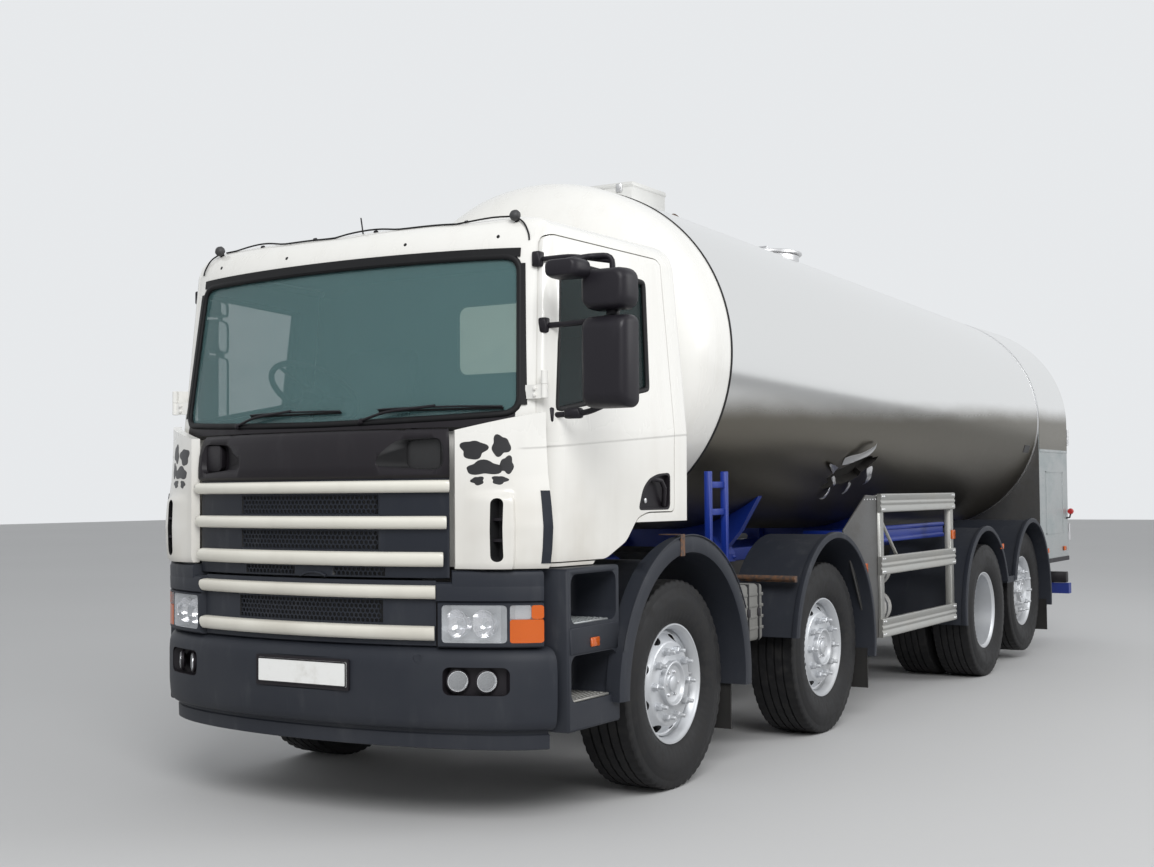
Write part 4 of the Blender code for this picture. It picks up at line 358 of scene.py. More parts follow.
galvanised = bare_metal("galvanised_sheet", (0.50, 0.52, 0.52), (0.25, 0.30, 0.31), 0.40, 0.012)
aluminium = bare_metal("brushed_aluminium", (0.44, 0.44, 0.42), (0.28, 0.26, 0.23), 0.36, 0.004, 0.35)
dull_sheet = bare_metal("dull_sheet", (0.13, 0.13, 0.13), (0.085, 0.078, 0.07), 0.50, 0.010, 0.6)
bright_steel = bare_metal("bright_steel", (0.66, 0.66, 0.67), (0.30, 0.29, 0.27), 0.26, 0.004, 0.25)
rusty_steel = Finish("rusty_steel", "galvanised", (0.075, 0.045, 0.030), 0.80)
rust_patches = rusty_steel.noise(0.03, 5).rise(0.35, 0.70)
rusty_steel.colour_by(rust_patches, (0.055, 0.040, 0.034), (0.16, 0.075, 0.035))
rusty_steel.bump(rusty_steel.noise(0.008, 4), 0.002, 0.6)
print("bare metals made")

# %% [markdown]
# Chassis and subframe are painted bright blue, the axles black, the wheels silver. All three carry
# brake dust and dried mud that lies thickest low down.

# %% Chassis, axle and wheel paints
def chassis_paint(name, slot, colour, mud, roughness, metallic, most, clean_height=1.6):
    finish = Finish(name, slot, colour, roughness, metallic)
    film = road_dirt(finish, clean_height, 0.3, most)
    finish.colour_by(film, colour, mud)
    finish.feed("Roughness", roughness + film * 0.35)
    finish.bump(finish.noise(0.010, 4), 0.001, 0.3)
    return finish


blue_paint = chassis_paint("blue_paint", "blue_paint", (0.004, 0.028, 0.26), (0.035, 0.035, 0.055),
                           0.38, 0.0, 0.45)
black_paint = chassis_paint("black_paint", "black_paint", (0.016, 0.016, 0.018), (0.07, 0.06, 0.05),
                            0.50, 0.0, 0.8)
silver_paint = chassis_paint("silver_paint", "wheels", (0.60, 0.62, 0.65), (0.30, 0.29, 0.27),
                             0.36, 0.55, 0.42, 1.2)
engine_paint = chassis_paint("engine_paint", "black_paint", (0.045, 0.045, 0.047), (0.06, 0.05, 0.04),
                             0.55, 0.2, 0.8)
tank_white = chassis_paint("tank_white", "white_paint", (0.62, 0.62, 0.60), (0.30, 0.28, 0.25),
                           0.40, 0.0, 0.6)
print("paints made")

# %% [markdown]
# Tyre rubber is nearly black. Dust lies on it in small cloudy patches that are paler and duller, which
# keeps a large dark shape from looking empty.

# %% Tyre rubber
tyre_rubber = Finish("tyre_rubber", "wheels", (0.016, 0.016, 0.017), 0.62, 0.0, {"Specular IOR Level": 0.25})
dusty = tyre_rubber.noise(0.05, 5).rise(0.40, 0.80)
tyre_rubber.colour_by(dusty * 0.35, (0.010, 0.010, 0.011), (0.045, 0.043, 0.040))
tyre_rubber.feed("Roughness", 0.55 + dusty * 0.25)
tyre_rubber.bump(tyre_rubber.noise(0.003, 2), 0.0008, 0.3)

# %% [markdown]
# The windscreen is tinted blue-green, the side panes are darker, and both stay partly see-through. The
# rear pane is pale and glows faintly, painted light for the pale tank in daylight behind it. Clear
# lenses are nearly open, amber and red ones nearly closed, and the reflectors are bright metal with facets.

# %% Glass, lenses and mirrors
def pane(name, slot, colour, opacity, roughness=0.04, constants=None):
    finish = Finish(name, slot, colour, roughness, 0.0, constants)
    smears = finish.noise(0.22, 4).rise(0.45, 0.85)
    finish.feed("Roughness", roughness + smears * 0.06)
    finish.feed("Alpha", (opacity + smears * 0.05).least(1.0))
    return finish


screen_glass = pane("screen_glass", "glass", (0.110, 0.215, 0.220), 0.40)
side_glass = pane("side_glass", "glass", (0.014, 0.030, 0.030), 0.36)
# Pale colour and a faint glow: painted light that stands for the lit tank behind the pane.
rear_glass = pane("rear_glass", "glass", (0.40, 0.45, 0.40), 0.80, 0.10,
                  {"Emission Color": (0.55, 0.62, 0.53, 1), "Emission Strength": 0.55})
clear_lens = pane("clear_lens", "lamp_glass", (0.62, 0.64, 0.66), 0.24)
amber_lens = pane("amber_lens", "lamp_glass", (0.62, 0.115, 0.010), 0.90, 0.14)
red_lens = pane("red_lens", "lamp_glass", (0.45, 0.012, 0.010), 0.92, 0.14)
reflector = Finish("lamp_reflector", "lamp_glass", (0.86, 0.86, 0.88), 0.09, 1.0)
facets = reflector.cells(0.022)
reflector.feed("Roughness", 0.06 + facets * 0.10)
reflector.bump(facets, 0.003, 0.5)
mirror_face = Finish("mirror_face", "glass", (0.80, 0.82, 0.83), 0.03, 1.0)
mirror_face.feed("Roughness", 0.02 + mirror_face.noise(0.1, 3) * 0.05)
print("glass and lenses made")

# %% [markdown]
# The last finishes are small: seat cloth with its weave, nearly black walls for the hole in the tank's
# wall, which are painted shade where the foam lies, and the blank number plate.

# %% Small finishes
seat_cloth = Finish("seat_cloth", "seat_cloth", (0.050, 0.052, 0.060), 0.88)
weave = seat_cloth.noise(0.0035, 2, (1, 1.6, 1.6))
seat_cloth.colour_by(weave, (0.032, 0.034, 0.042), (0.085, 0.088, 0.100))
seat_cloth.bump(weave, 0.0015, 0.6)
# Nearly black, for the walls of the hole in the cladding: painted shade inside the hole, where the foam lies.
tank_foam = Finish("tank_foam", "polished_steel", (0.020, 0.017, 0.014), 0.95)
tank_foam.colour_by(tank_foam.noise(0.03, 4), (0.003, 0.003, 0.003), (0.014, 0.011, 0.008))
plate_white = Finish("plate_white", "white_paint", (0.84, 0.84, 0.82), 0.40)
plate_grime = plate_white.noise(0.08, 5).rise(0.5, 0.9)
plate_white.colour_by(plate_grime * 0.5, (0.84, 0.84, 0.82), (0.45, 0.42, 0.36))
grille_black = Finish("grille_black", "dark_plastic", (0.012, 0.012, 0.013), 0.5)
grille_black.feed("Roughness", 0.42 + grille_black.noise(0.04, 3) * 0.25)
print("small finishes made")

# %% [markdown]
# Most of a truck is sheet, tube and turned metal. A handful of makers covers them all: a skin through
# rings, an outline pushed along an axis, a tube along a path, and a profile turned about an axis.

# %% Skins and pushed outlines
def piece_from(bm, name="shape"):
    bmesh.ops.recalc_face_normals(bm, faces=bm.faces)
    mesh = bpy.data.meshes.new(name)
    bm.to_mesh(mesh)
    bm.free()
    obj = bpy.data.objects.new(name, mesh)
    bpy.context.scene.collection.objects.link(obj)
    return obj


def loft(rings, meet=False, caps=True):
    """A closed skin through rings of equally many points."""
    bm = bmesh.new()
    rows = [[bm.verts.new(point) for point in ring] for ring in rings]
    pairs = list(zip(rows, rows[1:])) + ([(rows[-1], rows[0])] if meet else [])
    if caps and not meet:
        bm.faces.new(rows[0])
        bm.faces.new(rows[-1])
    count = len(rows[0])
    for one, two in pairs:
        for i in range(count):
            j = (i + 1) % count
            bm.faces.new((one[i], one[j], two[j], two[i]))
    return piece_from(bm)


def prism(outline, axis, low, high):
    """An outline of (first, second) points pushed out along X, Y or Z."""
    def at(point, along):
        a, b = point
        return {"x": (along, a, b), "y": (a, along, b), "z": (a, b, along)}[axis]

    return loft([[at(p, low) for p in outline], [at(p, high) for p in outline]])


def box(low, high):
    (x0, y0, z0), (x1, y1, z1) = low, high
    x0, x1 = sorted((x0, x1))
    return prism(((x0, y0), (x1, y0), (x1, y1), (x0, y1)), "z", z0, z1)


def rounded(x0, x1, z0, z1, corner, steps=5):
    """A rectangle's outline with round corners."""
    points = []
    centres = ((x1 - corner, z0 + corner, -90), (x1 - corner, z1 - corner, 0),
               (x0 + corner, z1 - corner, 90), (x0 + corner, z0 + corner, 180))
    for x, z, start in centres:
        for k in range(steps + 1):
            turn = math.radians(start + 90 * k / steps)
            points.append((x + corner * math.cos(turn), z + corner * math.sin(turn)))
    return points


# %% Tubes and turned shapes
def tube(path, radius, steps=12, meet=False):
    """A round bar along a path of points."""
    points = [Vector(p) for p in path]
    rings = []
    side = None
    for k, here in enumerate(points):
        before = points[k - 1] if k or meet else here
        after = points[(k + 1) % len(points)] if k + 1 < len(points) or meet else here
        way = (after - before).normalized()
        if side is None:
            side = way.cross(UP if abs(way.z) < 0.9 else ALONG).normalized()
        side = (side - way * side.dot(way)).normalized()
        rise = side.cross(way)
        turns = [2 * math.pi * i / steps for i in range(steps)]
        rings.append([here + radius * (side * math.cos(t) + rise * math.sin(t)) for t in turns])
    return loft(rings, meet)


def turned(profile, centre, direction, steps=48, meet=False, shape=None):
    """Rings of (distance, radius) about an axis. A shape may change a radius by (row, turn)."""
    way = Vector(direction).normalized()
    side = way.cross(UP if abs(way.z) < 0.9 else ALONG).normalized()
    rise = side.cross(way)
    rings = []
    for row, (distance, radius) in enumerate(profile):
        ring = []
        for k in range(steps):
            turn = 2 * math.pi * k / steps
            reach = radius + (shape(row, k) if shape else 0)
            out = side * math.cos(turn) + rise * math.sin(turn)
            ring.append(Vector(centre) + way * distance + reach * out)
        rings.append(ring)
    return loft(rings, meet)


def cross_bar(x, half, y, z, radius):
    """A round bar that lies across the truck."""
    return tube(((x - half, y, z), (x + half, y, z)), radius)


def slab(grid):
    """A curved sheet from rows of (outer point, inner point) pairs."""
    bm = bmesh.new()
    outer = [[bm.verts.new(pair[0]) for pair in row] for row in grid]
    inner = [[bm.verts.new(pair[1]) for pair in row] for row in grid]
    rows, columns = len(grid), len(grid[0])
    for i in range(rows - 1):
        for j in range(columns - 1):
            for skin in (outer, inner):
                bm.faces.new((skin[i][j], skin[i][j + 1], skin[i + 1][j + 1], skin[i + 1][j]))
    for i in range(rows - 1):
        for j in (0, columns - 1):
            bm.faces.new((outer[i][j], outer[i + 1][j], inner[i + 1][j], inner[i][j]))
    for j in range(columns - 1):
        for i in (0, rows - 1):
            bm.faces.new((outer[i][j], outer[i][j + 1], inner[i][j + 1], inner[i][j]))
    return piece_from(bm)


# %% Cutting, joining and softening
def settled(obj):
    """Applies an object's modifiers to its mesh."""
    shape = obj.evaluated_get(bpy.context.evaluated_depsgraph_get())
    mesh = bpy.data.meshes.new_from_object(shape)
    obj.modifiers.clear()
    obj.data = mesh
    return obj


def boolean(target, tools, operation, solver="EXACT"):
    for tool in tools:
        modifier = target.modifiers.new(operation, "BOOLEAN")
        modifier.operation = operation
        modifier.solver = solver
        modifier.object = tool
        if solver == "EXACT":
            modifier.material_mode = "TRANSFER"
    settled(target)
    for tool in tools:
        bpy.data.objects.remove(tool)
    return target


def carve(target, tools, solver="EXACT"):
    return boolean(target, tools, "DIFFERENCE", solver)


def keep_within(target, tool):
    return boolean(target, [tool], "INTERSECT")


def soften(obj, width, segments=2):
    """Rounds the sharp edges, as every cast, pressed or moulded piece has them."""
    bevel = obj.modifiers.new("soft edges", "BEVEL")
    bevel.width = width
    bevel.segments = segments
    bevel.limit_method = "ANGLE"
    bevel.angle_limit = math.radians(40)
    bevel.harden_normals = True
    return settled(obj)


def paint(obj, finish):
    obj.data.materials.clear()
    obj.data.materials.append(finish.material)
    return obj


def repaint(obj, finish, wanted):
    """Gives another finish to the faces that are wanted."""
    obj.data.materials.append(finish.material)
    for face in obj.data.polygons:
        if wanted(face):
            face.material_index = len(obj.data.materials) - 1


def merged(pieces):
    """One object from several, each keeping its own finish."""
    bm = bmesh.new()
    materials = []
    for piece in pieces:
        first = len(bm.faces)
        bm.from_mesh(piece.data)
        bm.faces.ensure_lookup_table()
        for face in bm.faces[first:]:
            face.material_index += len(materials)
        materials += list(piece.data.materials) or [None]
        bpy.data.objects.remove(piece)
    mesh = bpy.data.meshes.new("merged")
    bm.to_mesh(mesh)
    bm.free()
    for material in materials:
        mesh.materials.append(material)
    obj = bpy.data.objects.new("merged", mesh)
    bpy.context.scene.collection.objects.link(obj)
    return obj


def flipped(obj):
    """The same piece on the other side of the truck."""
    bm = bmesh.new()
    bm.from_mesh(obj.data)
    for vertex in bm.verts:
        vertex.co.x = -vertex.co.x
    bmesh.ops.reverse_faces(bm, faces=bm.faces)
    mesh = bpy.data.meshes.new("flipped")
    bm.to_mesh(mesh)
    bm.free()
    for material in obj.data.materials:
        mesh.materials.append(material)
    other = bpy.data.objects.new("flipped", mesh)
    bpy.context.scene.collection.objects.link(other)
    return other


# %% [markdown]
# A finished piece gets its name, its shading, its body and its place in the frame. Left and right
# pieces come from one drawing: the right one is the left one turned over.

# %% Dressing a body
def dress(obj, name, body, finish=None, replaces=(), smooth=35):
    if finish:
        paint(obj, finish)
    obj.name = name
    obj.data.name = name
    obj.data.transform(Matrix.Translation((0, FIRST_AXLE, 0)))
    obj.data.shade_smooth()
    obj.data.set_sharp_from_angle(angle=math.radians(smooth))
    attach(obj, body)
    if replaces:
        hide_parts(*replaces)
    return obj


def dress_pair(obj, name, body, finish=None, replaces=(), smooth=35):
    """Dresses the left piece and its mirror. A body's name gets _left or _right where it has a side."""
    made = []
    for side, piece in (("left", obj), ("right", flipped(obj))):
        own_body = body if body in frame["bodies"] else f"{body}_{side}"
        nodes = [f"{node}_{side}" for node in replaces]
        made.append(dress(piece, f"{name}_{side}", own_body, finish, nodes, smooth))
    return made


def between(start, end, share):
    return start + (end - start) * share


print("makers ready")

# %% [markdown]
# The studio is plain: a pale floor that keeps the truck's shadow, a pale sky, and two broad soft
# lights. The key stands at the front left, and a weaker fill lifts the shadows along the side. The
# world is nearly white to the camera and in reflections, and weaker as a light.

# %% Studio
def pale_world():
    world = bpy.data.worlds.new("studio")
    world.use_nodes = True
    maker = Maker(world.node_tree)
    ground = world.node_tree.nodes["Background"]
    seen = maker.node("ShaderNodeLightPath")
    paths = [Wire(maker, seen.socket.node.outputs[name])
             for name in ("Is Camera Ray", "Is Glossy Ray", "Is Transmission Ray")]
    share = paths[0].most(paths[1]).most(paths[2])
    maker.give(ground.inputs["Strength"], 0.62 + share * 0.24)
    ground.inputs["Color"].default_value = (0.93, 0.95, 0.97, 1)
    bpy.context.scene.world = world


def soft_light(name, place, target, size, power):
    data = bpy.data.lights.new(name, "AREA")
    data.shape = "DISK"
    data.size = size
    data.energy = power
    lamp = bpy.data.objects.new(name, data)
    lamp.location = place
    lamp.rotation_euler = (Vector(target) - Vector(place)).to_track_quat("-Z", "Y").to_euler()
    bpy.context.scene.collection.objects.link(lamp)


pale_world()
soft_light("key", (9.0, -14.0, 11.0), (0, 0, 1.2), 9.0, 1780)
soft_light("fill", (13.0, 4.0, 7.0), (0, 1.0, 1.2), 8.0, 760)
floor_finish = Finish("studio_floor", None, (0.52, 0.52, 0.52), 0.75)
floor_finish.colour_by(floor_finish.noise(6.0, 2), (0.50, 0.50, 0.50), (0.54, 0.54, 0.54))
FLOOR_REACH = 60.0
floor = prism(((-FLOOR_REACH, -FLOOR_REACH), (FLOOR_REACH, -FLOOR_REACH), (FLOOR_REACH, FLOOR_REACH),
               (-FLOOR_REACH, FLOOR_REACH)), "z", -0.10, 0.0)
paint(floor, floor_finish)
floor.name = "studio_floor"
print("studio ready")

# %% [markdown]
# ## The tank
#
# The barrel is an ellipse that slopes a little towards the rear, so that the milk drains to the
# pump. Its front end is dished. One rule gives both: a ring of the ellipse at each place along the
# truck, which shrinks along the dish by a fourth power, flat in the middle and tight at the edge.

# %% Tank rule
TANK_LOW, TANK_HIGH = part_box("tank_barrel")
DISH_LOW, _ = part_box("tank_front_end")
TANK_FRONT = TANK_LOW.y - FIRST_AXLE
TANK_REAR = TANK_HIGH.y - FIRST_AXLE
DISH_DEPTH = TANK_FRONT - (DISH_LOW.y - FIRST_AXLE)
TANK_HALF_WIDTH = TANK_HIGH.x
TANK_HALF_HEIGHT = 0.990
TANK_FRONT_MIDDLE = 2.224
TANK_REAR_MIDDLE = 2.084
TANK_STEPS = 160
DISH_LAST_SHARE = 0.30


def tank_middle(y):
    return between(TANK_FRONT_MIDDLE, TANK_REAR_MIDDLE, (y - TANK_FRONT) / (TANK_REAR - TANK_FRONT))


def tank_point(y, turn, share=1.0, extra=0.0):
    """A point of the tank's skin. The turn is counted from the top towards the left side."""
    wide, tall = TANK_HALF_WIDTH * share + extra, TANK_HALF_HEIGHT * share + extra
    return Vector((wide * math.sin(turn), y, tank_middle(y) + tall * math.cos(turn)))


def tank_ring(y, share=1.0, extra=0.0, steps=TANK_STEPS):
    return [tank_point(y, 2 * math.pi * k / steps, share, extra) for k in range(steps)]


def tank_normal(turn):
    return Vector((math.sin(turn) / TANK_HALF_WIDTH, 0, math.cos(turn) / TANK_HALF_HEIGHT)).normalized()


print("tank from", round(TANK_FRONT, 3), "to", round(TANK_REAR, 3))

# %% [markdown]
# The cladding has been torn low on the left side: a dark hole over half a metre long, with the
# steel peeled back round it. The hole is cut into the barrel, and its walls take the cutter's nearly
# black finish, painted shade inside the hole, because the Boolean carries the cutter's material over.

# %% Barrel
TEAR_Y = 3.20
TEAR_TURN = math.radians(127)
TEAR_LENGTH = 0.60
TEAR_HEIGHT = 0.225
TEAR_DEPTH = 0.055
BARREL_SECTIONS = 24


def tear_point(along, rise, out):
    """A place near the tear, by its distance along and up the tank's skin, and out of it."""
    turn = TEAR_TURN - rise / TANK_HALF_HEIGHT
    return tank_point(TEAR_Y + along, turn) + tank_normal(turn) * out


def tear_cutter():
    rings = []
    for out in (-TEAR_DEPTH, TEAR_DEPTH):
        ring = []
        for k in range(28):
            turn = 2 * math.pi * k / 28
            ragged = 1 + 0.13 * math.sin(5 * turn + 1) + 0.08 * math.sin(11 * turn)
            along = TEAR_LENGTH / 2 * math.cos(turn) * ragged
            rise = TEAR_HEIGHT / 2 * math.sin(turn) * ragged + along * 0.32
            ring.append(tear_point(along, rise, out))
        rings.append(ring)
    # Its faces become the hole's nearly black walls: painted shade inside the hole.
    return paint(loft(rings), tank_foam)


rings = [tank_ring(between(TANK_FRONT, TANK_REAR, k / BARREL_SECTIONS)) for k in range(BARREL_SECTIONS + 1)]
barrel = paint(loft(rings), polished)
barrel = carve(barrel, [tear_cutter()])
print("barrel has", len(barrel.data.polygons), "faces")

# %% [markdown]
# The manway's neck, its lid hinge and the lid are turned and bent steel on the tank's back. The
# lid keeps the hinge line of its solid, so it opens about the same bar.

# %% Manway
LID_LOW, LID_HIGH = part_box("manway_lid")
LID_RADIUS = LID_HIGH.x
LID_Y = LID_LOW.y - FIRST_AXLE + LID_RADIUS
LID_BOTTOM, LID_TOP = LID_LOW.z, LID_HIGH.z
NECK_RADIUS = 0.250
NECK_WALL = 0.030
HINGE_RADIUS = 0.014
HINGE_Y = LID_Y + LID_RADIUS + HINGE_RADIUS
HINGE_Z = (LID_BOTTOM + LID_TOP) / 2


def manway_neck():
    base = tank_middle(LID_Y) + TANK_HALF_HEIGHT - 0.05
    inner = NECK_RADIUS - NECK_WALL
    height = LID_BOTTOM - base
    profile = ((0, inner), (0, NECK_RADIUS), (height - 0.008, NECK_RADIUS), (height, NECK_RADIUS - 0.006),
               (height, inner))
    neck = turned(profile, (0, LID_Y, base), UP, 72, meet=True)
    floor_disc = turned(((0, 0.002), (0, inner)), (0, LID_Y, base + 0.06), UP, 72)
    bar = cross_bar(0, 0.03, HINGE_Y, HINGE_Z, HINGE_RADIUS)
    post = box((-0.028, HINGE_Y - 0.006, base), (0.028, HINGE_Y + 0.006, HINGE_Z))
    return [paint(piece, bright_steel) for piece in (neck, floor_disc, bar, post)]


def manway_lid():
    thick = LID_TOP - LID_BOTTOM
    profile = ((0, 0.002), (0, LID_RADIUS - 0.006), (0.006, LID_RADIUS), (thick * 0.6, LID_RADIUS),
               (thick * 0.8, LID_RADIUS - 0.012), (thick * 0.62, LID_RADIUS - 0.05),
               (thick * 0.75, LID_RADIUS * 0.5), (thick, 0.05), (thick, 0.002))
    lid = turned(profile, (0, LID_Y, LID_BOTTOM), UP, 72)
    parts = [lid]
    for side in (-1, 1):
        x = side * 0.046
        parts.append(cross_bar(x, 0.014, HINGE_Y, HINGE_Z, HINGE_RADIUS))
        parts.append(box((x - 0.012, LID_Y + LID_RADIUS - 0.06, LID_BOTTOM + 0.004),
                         (x + 0.012, HINGE_Y, HINGE_Z + 0.008)))
    handle = [(-0.06, LID_Y - 0.1, LID_TOP - 0.008), (-0.06, LID_Y - 0.1, LID_TOP + 0.03),
              (0.06, LID_Y - 0.1, LID_TOP + 0.03), (0.06, LID_Y - 0.1, LID_TOP - 0.008)]
    parts.append(tube(handle, 0.007, 8))
    return merged([paint(part, bright_steel) for part in parts])


dress(merged([barrel, *manway_neck()]), "tank_cladding", "vehicle", None, ["tank_barrel"])
dress(manway_lid(), "manway_lid_steel", "lid", None, ["manway_lid"])

# %% [markdown]
# The dished front end is painted like the cab. A dark sealing strip hides the seam where the
# cladding starts, and a polished band closes it at the rear.

# %% Dished end and seam bands
def dish_size(share):
    return max(math.sqrt(max(1 - share ** 4, 0)), DISH_LAST_SHARE)


def seam_band(y0, y1, thickness, finish):
    rings = [tank_ring(y0, 1, -0.004), tank_ring(y0, 1, thickness), tank_ring(y1, 1, thickness),
             tank_ring(y1, 1, -0.004)]
    return paint(loft(rings, meet=True), finish)


shares = [0, 0.12, 0.24, 0.36, 0.45, 0.54, 0.63, 0.72, 0.78, 0.83, 0.87, 0.90, 0.93, 0.955, 0.975, 0.988, 1.0]
rings = [tank_ring(TANK_FRONT - share * DISH_DEPTH, dish_size(share)) for share in shares]
dress(loft(rings), "tank_dished_end", "vehicle", white_paint, ["tank_front_end"], smooth=60)
dress(seam_band(TANK_FRONT - 0.008, TANK_FRONT + 0.007, 0.005, seal_rubber), "tank_front_seam", "vehicle")
dress(seam_band(TANK_REAR - 0.045, TANK_REAR - 0.002, 0.003, bright_steel), "tank_rear_band", "vehicle")
print("tank dressed")

# %% [markdown]
# The peeled steel is thin sheet that curls. Each flap is a strip whose far end bends away from the
# tank, made from a row of cross lines and given its thickness by a Solidify modifier.

# %% Peeled cladding
def peeled(start, way, length, width, lift, curl):
    """A torn strip: it starts on the skin, runs along `way`, and rises and curls over."""
    bm = bmesh.new()
    rows = []
    for k in range(11):
        share = k / 10
        reach = length * (share - 0.25 * curl * share ** 3)
        half = width / 2 * (1 - share ** 2 * 0.75) * (1 + 0.12 * math.sin(share * 14))
        out = 0.002 + lift * math.sin(share * math.pi * (0.5 + 0.45 * curl))
        row = []
        for across in (-1, -0.33, 0.33, 1):
            along = start[0] + way[0] * reach - way[1] * half * across
            rise = start[1] + way[1] * reach + way[0] * half * across
            row.append(bm.verts.new(tear_point(along, rise, out + abs(across) * 0.004)))
        rows.append(row)
    for one, two in zip(rows, rows[1:]):
        for a, b, c, d in zip(one, one[1:], two[1:], two):
            bm.faces.new((a, b, c, d))
    strip = piece_from(bm)
    wall = strip.modifiers.new("sheet", "SOLIDIFY")
    wall.thickness = 0.0016
    wall.offset = 0
    return paint(settled(strip), bright_steel)


flaps = [peeled((-0.25, 0.075), (0.93, 0.37), 0.55, 0.060, 0.038, 0.9),
         peeled((0.28, 0.05), (0.35, -0.94), 0.16, 0.070, 0.036, 0.6),
         peeled((-0.25, -0.05), (0.80, -0.60), 0.11, 0.026, 0.026, 0.4),
         peeled((-0.28, 0.00), (-0.97, 0.24), 0.24, 0.050, 0.020, 0.3),
         peeled((-0.12, -0.15), (-0.45, -0.89), 0.12, 0.055, 0.026, 0.7),
         peeled((0.14, -0.09), (-0.20, -0.98), 0.10, 0.050, 0.022, 0.4)]
dress(merged(flaps), "torn_cladding", "vehicle")
print("tear dressed")

# %% [markdown]
# ## The cab
#
# A cab like this is a stack of plan outlines: straight sides, a slightly rounded back, and half an
# ellipse for a nose. The table gives a few outlines by height, and the roof's edge is rounded by
# adding outlines between them on a smooth curve.

# %% Cab rule
CAB_HALF = 1.200
CAB_FLOOR = 1.130
CAB_ROOF = 2.700
CAB_REAR = 0.080
NOSE_LINE = -1.000
NOSE_DEPTH = 0.455
CAB_WALL = 0.060
CAB_ROUND = 0.050
NOSE_STEPS = 30
# Columns: height, half width at the nose, nose depth, nose line moved back, half width at the rear
CAB_LEVEL_SHARES = (
    (0.000, 0.925, 0.590, 0.000, 0.995), (0.380, 0.946, 0.590, 0.000, 1.000),
    (0.390, 0.946, 0.725, 0.000, 1.000), (0.915, 0.905, 0.375, 0.044, 0.940),
    (0.955, 0.885, 0.330, 0.066, 0.915), (0.985, 0.830, 0.240, 0.100, 0.860),
    (1.000, 0.740, 0.130, 0.145, 0.770),
)
ROOF_ROWS = 3


def roof_curve(shares):
    """Adds outlines between the last four, on a curve that passes through them all."""
    made = list(shares[:3])
    for k in range(3, len(shares) - 1):
        before, start, end = shares[k - 1], shares[k], shares[k + 1]
        after = shares[min(k + 2, len(shares) - 1)]
        if k == 3:
            before = tuple(2 * a - b for a, b in zip(start, end))
        for step in range(ROOF_ROWS):
            t = step / ROOF_ROWS
            row = []
            for p0, p1, p2, p3 in zip(before, start, end, after):
                square = 2 * p0 - 5 * p1 + 4 * p2 - p3
                cube = 3 * (p1 - p2) + p3 - p0
                row.append(p1 + 0.5 * t * (p2 - p0 + t * (square + t * cube)))
            made.append(tuple(row))
    return made + [shares[-1]]


CAB_LEVELS = roof_curve(CAB_LEVEL_SHARES)


def cab_height(share):
    return between(CAB_FLOOR, CAB_ROOF, share)


def cab_ring(shares, inset, height):
    _, wide, deep, back, rear_wide = shares
    half, depth = CAB_HALF * wide - inset, NOSE_DEPTH * deep - inset
    base, rear = NOSE_LINE + NOSE_DEPTH * back, CAB_REAR - inset
    rear_half = CAB_HALF * rear_wide - inset
    points = []
    for k in range(-NOSE_STEPS, NOSE_STEPS + 1):
        turn = math.pi / 2 * k / NOSE_STEPS
        points.append((half * math.sin(turn), base - depth * math.cos(turn), height))
    corner = []
    for k in range(6):
        turn = math.pi / 2 * k / 5
        corner.append((rear_half - CAB_ROUND + CAB_ROUND * math.cos(turn),
                       rear - CAB_ROUND + CAB_ROUND * math.sin(turn), height))
    return points + corner + [(-x, y, z) for x, y, z in reversed(corner)]


def cab_form(inset=0.0, floor_drop=0.0):
    """The cab's outer form, pulled in by inset. A floor drop lets it run on below the floor."""
    rings = []
    for shares in CAB_LEVELS:
        height = cab_height(shares[0])
        if shares[0] == 0:
            height += inset - floor_drop
        start, end = CAB_LEVEL_SHARES[3][0], CAB_LEVEL_SHARES[4][0]
        height -= inset * min(max((shares[0] - start) / (end - start), 0), 1)
        rings.append(cab_ring(shares, inset, height))
    return loft(rings)


# %% [markdown]
# Doors and windows are drawn in side view as shares of the cab's length and height. A cutter for an
# opening is the outline with rounded corners, pushed through the side.

# %% Side openings
DOOR_SHARES = (
    (-0.092, 0.013), (0.315, 0.013), (0.470, 0.060), (0.560, 0.130), (0.640, 0.145), (0.852, 0.145),
    (0.852, 0.915), (0.830, 0.930), (-0.010, 0.930), (-0.028, 0.915), (-0.102, 0.410),
)
WINDOW_SHARES = (
    (-0.040, 0.434), (-0.020, 0.430), (0.660, 0.509), (0.675, 0.520),
    (0.712, 0.840), (0.700, 0.854), (0.045, 0.868), (0.030, 0.855),
)
DOOR_GAP = 0.006
SIDE_REACH = 0.40


def side_points(shares, grow=0.0):
    """A side-view outline from shares, with its edges moved out by grow."""
    points = [Vector((between(NOSE_LINE, CAB_REAR, y), cab_height(z))) for y, z in shares]
    grown = []
    for k, here in enumerate(points):
        before, after = points[k - 1], points[(k + 1) % len(points)]
        one, two = (here - before).normalized(), (after - here).normalized()
        normal = Vector((one.y + two.y, -one.x - two.x)).normalized()
        lean = max(normal.dot(Vector((one.y, -one.x))), 0.5)
        grown.append(tuple(here + normal * grow / lean))
    return grown


def round_corners(points, radius, steps=4):
    """Replaces each corner by a short curve that starts and ends up to the radius away."""
    made = []
    for k, here in enumerate(points):
        here = Vector(here)
        before, after = Vector(points[k - 1]), Vector(points[(k + 1) % len(points)])
        start = here + (before - here).normalized() * min(radius, (before - here).length * 0.45)
        end = here + (after - here).normalized() * min(radius, (after - here).length * 0.45)
        for step in range(steps + 1):
            t = step / steps
            made.append(tuple(start * (1 - t) ** 2 + here * 2 * t * (1 - t) + end * t ** 2))
    return made


def side_prism(shares, grow=0.0, corner=0.03):
    return prism(round_corners(side_points(shares, grow), corner), "x", SIDE_REACH, CAB_HALF + 0.1)


def other_side(obj):
    """A cutter and its mirror."""
    return [obj, flipped(obj)]


# %% [markdown]
# The windscreen's opening is drawn in front view. Its lower edge dips in the middle, and the corners
# are round, which a quarter circle at each corner gives.

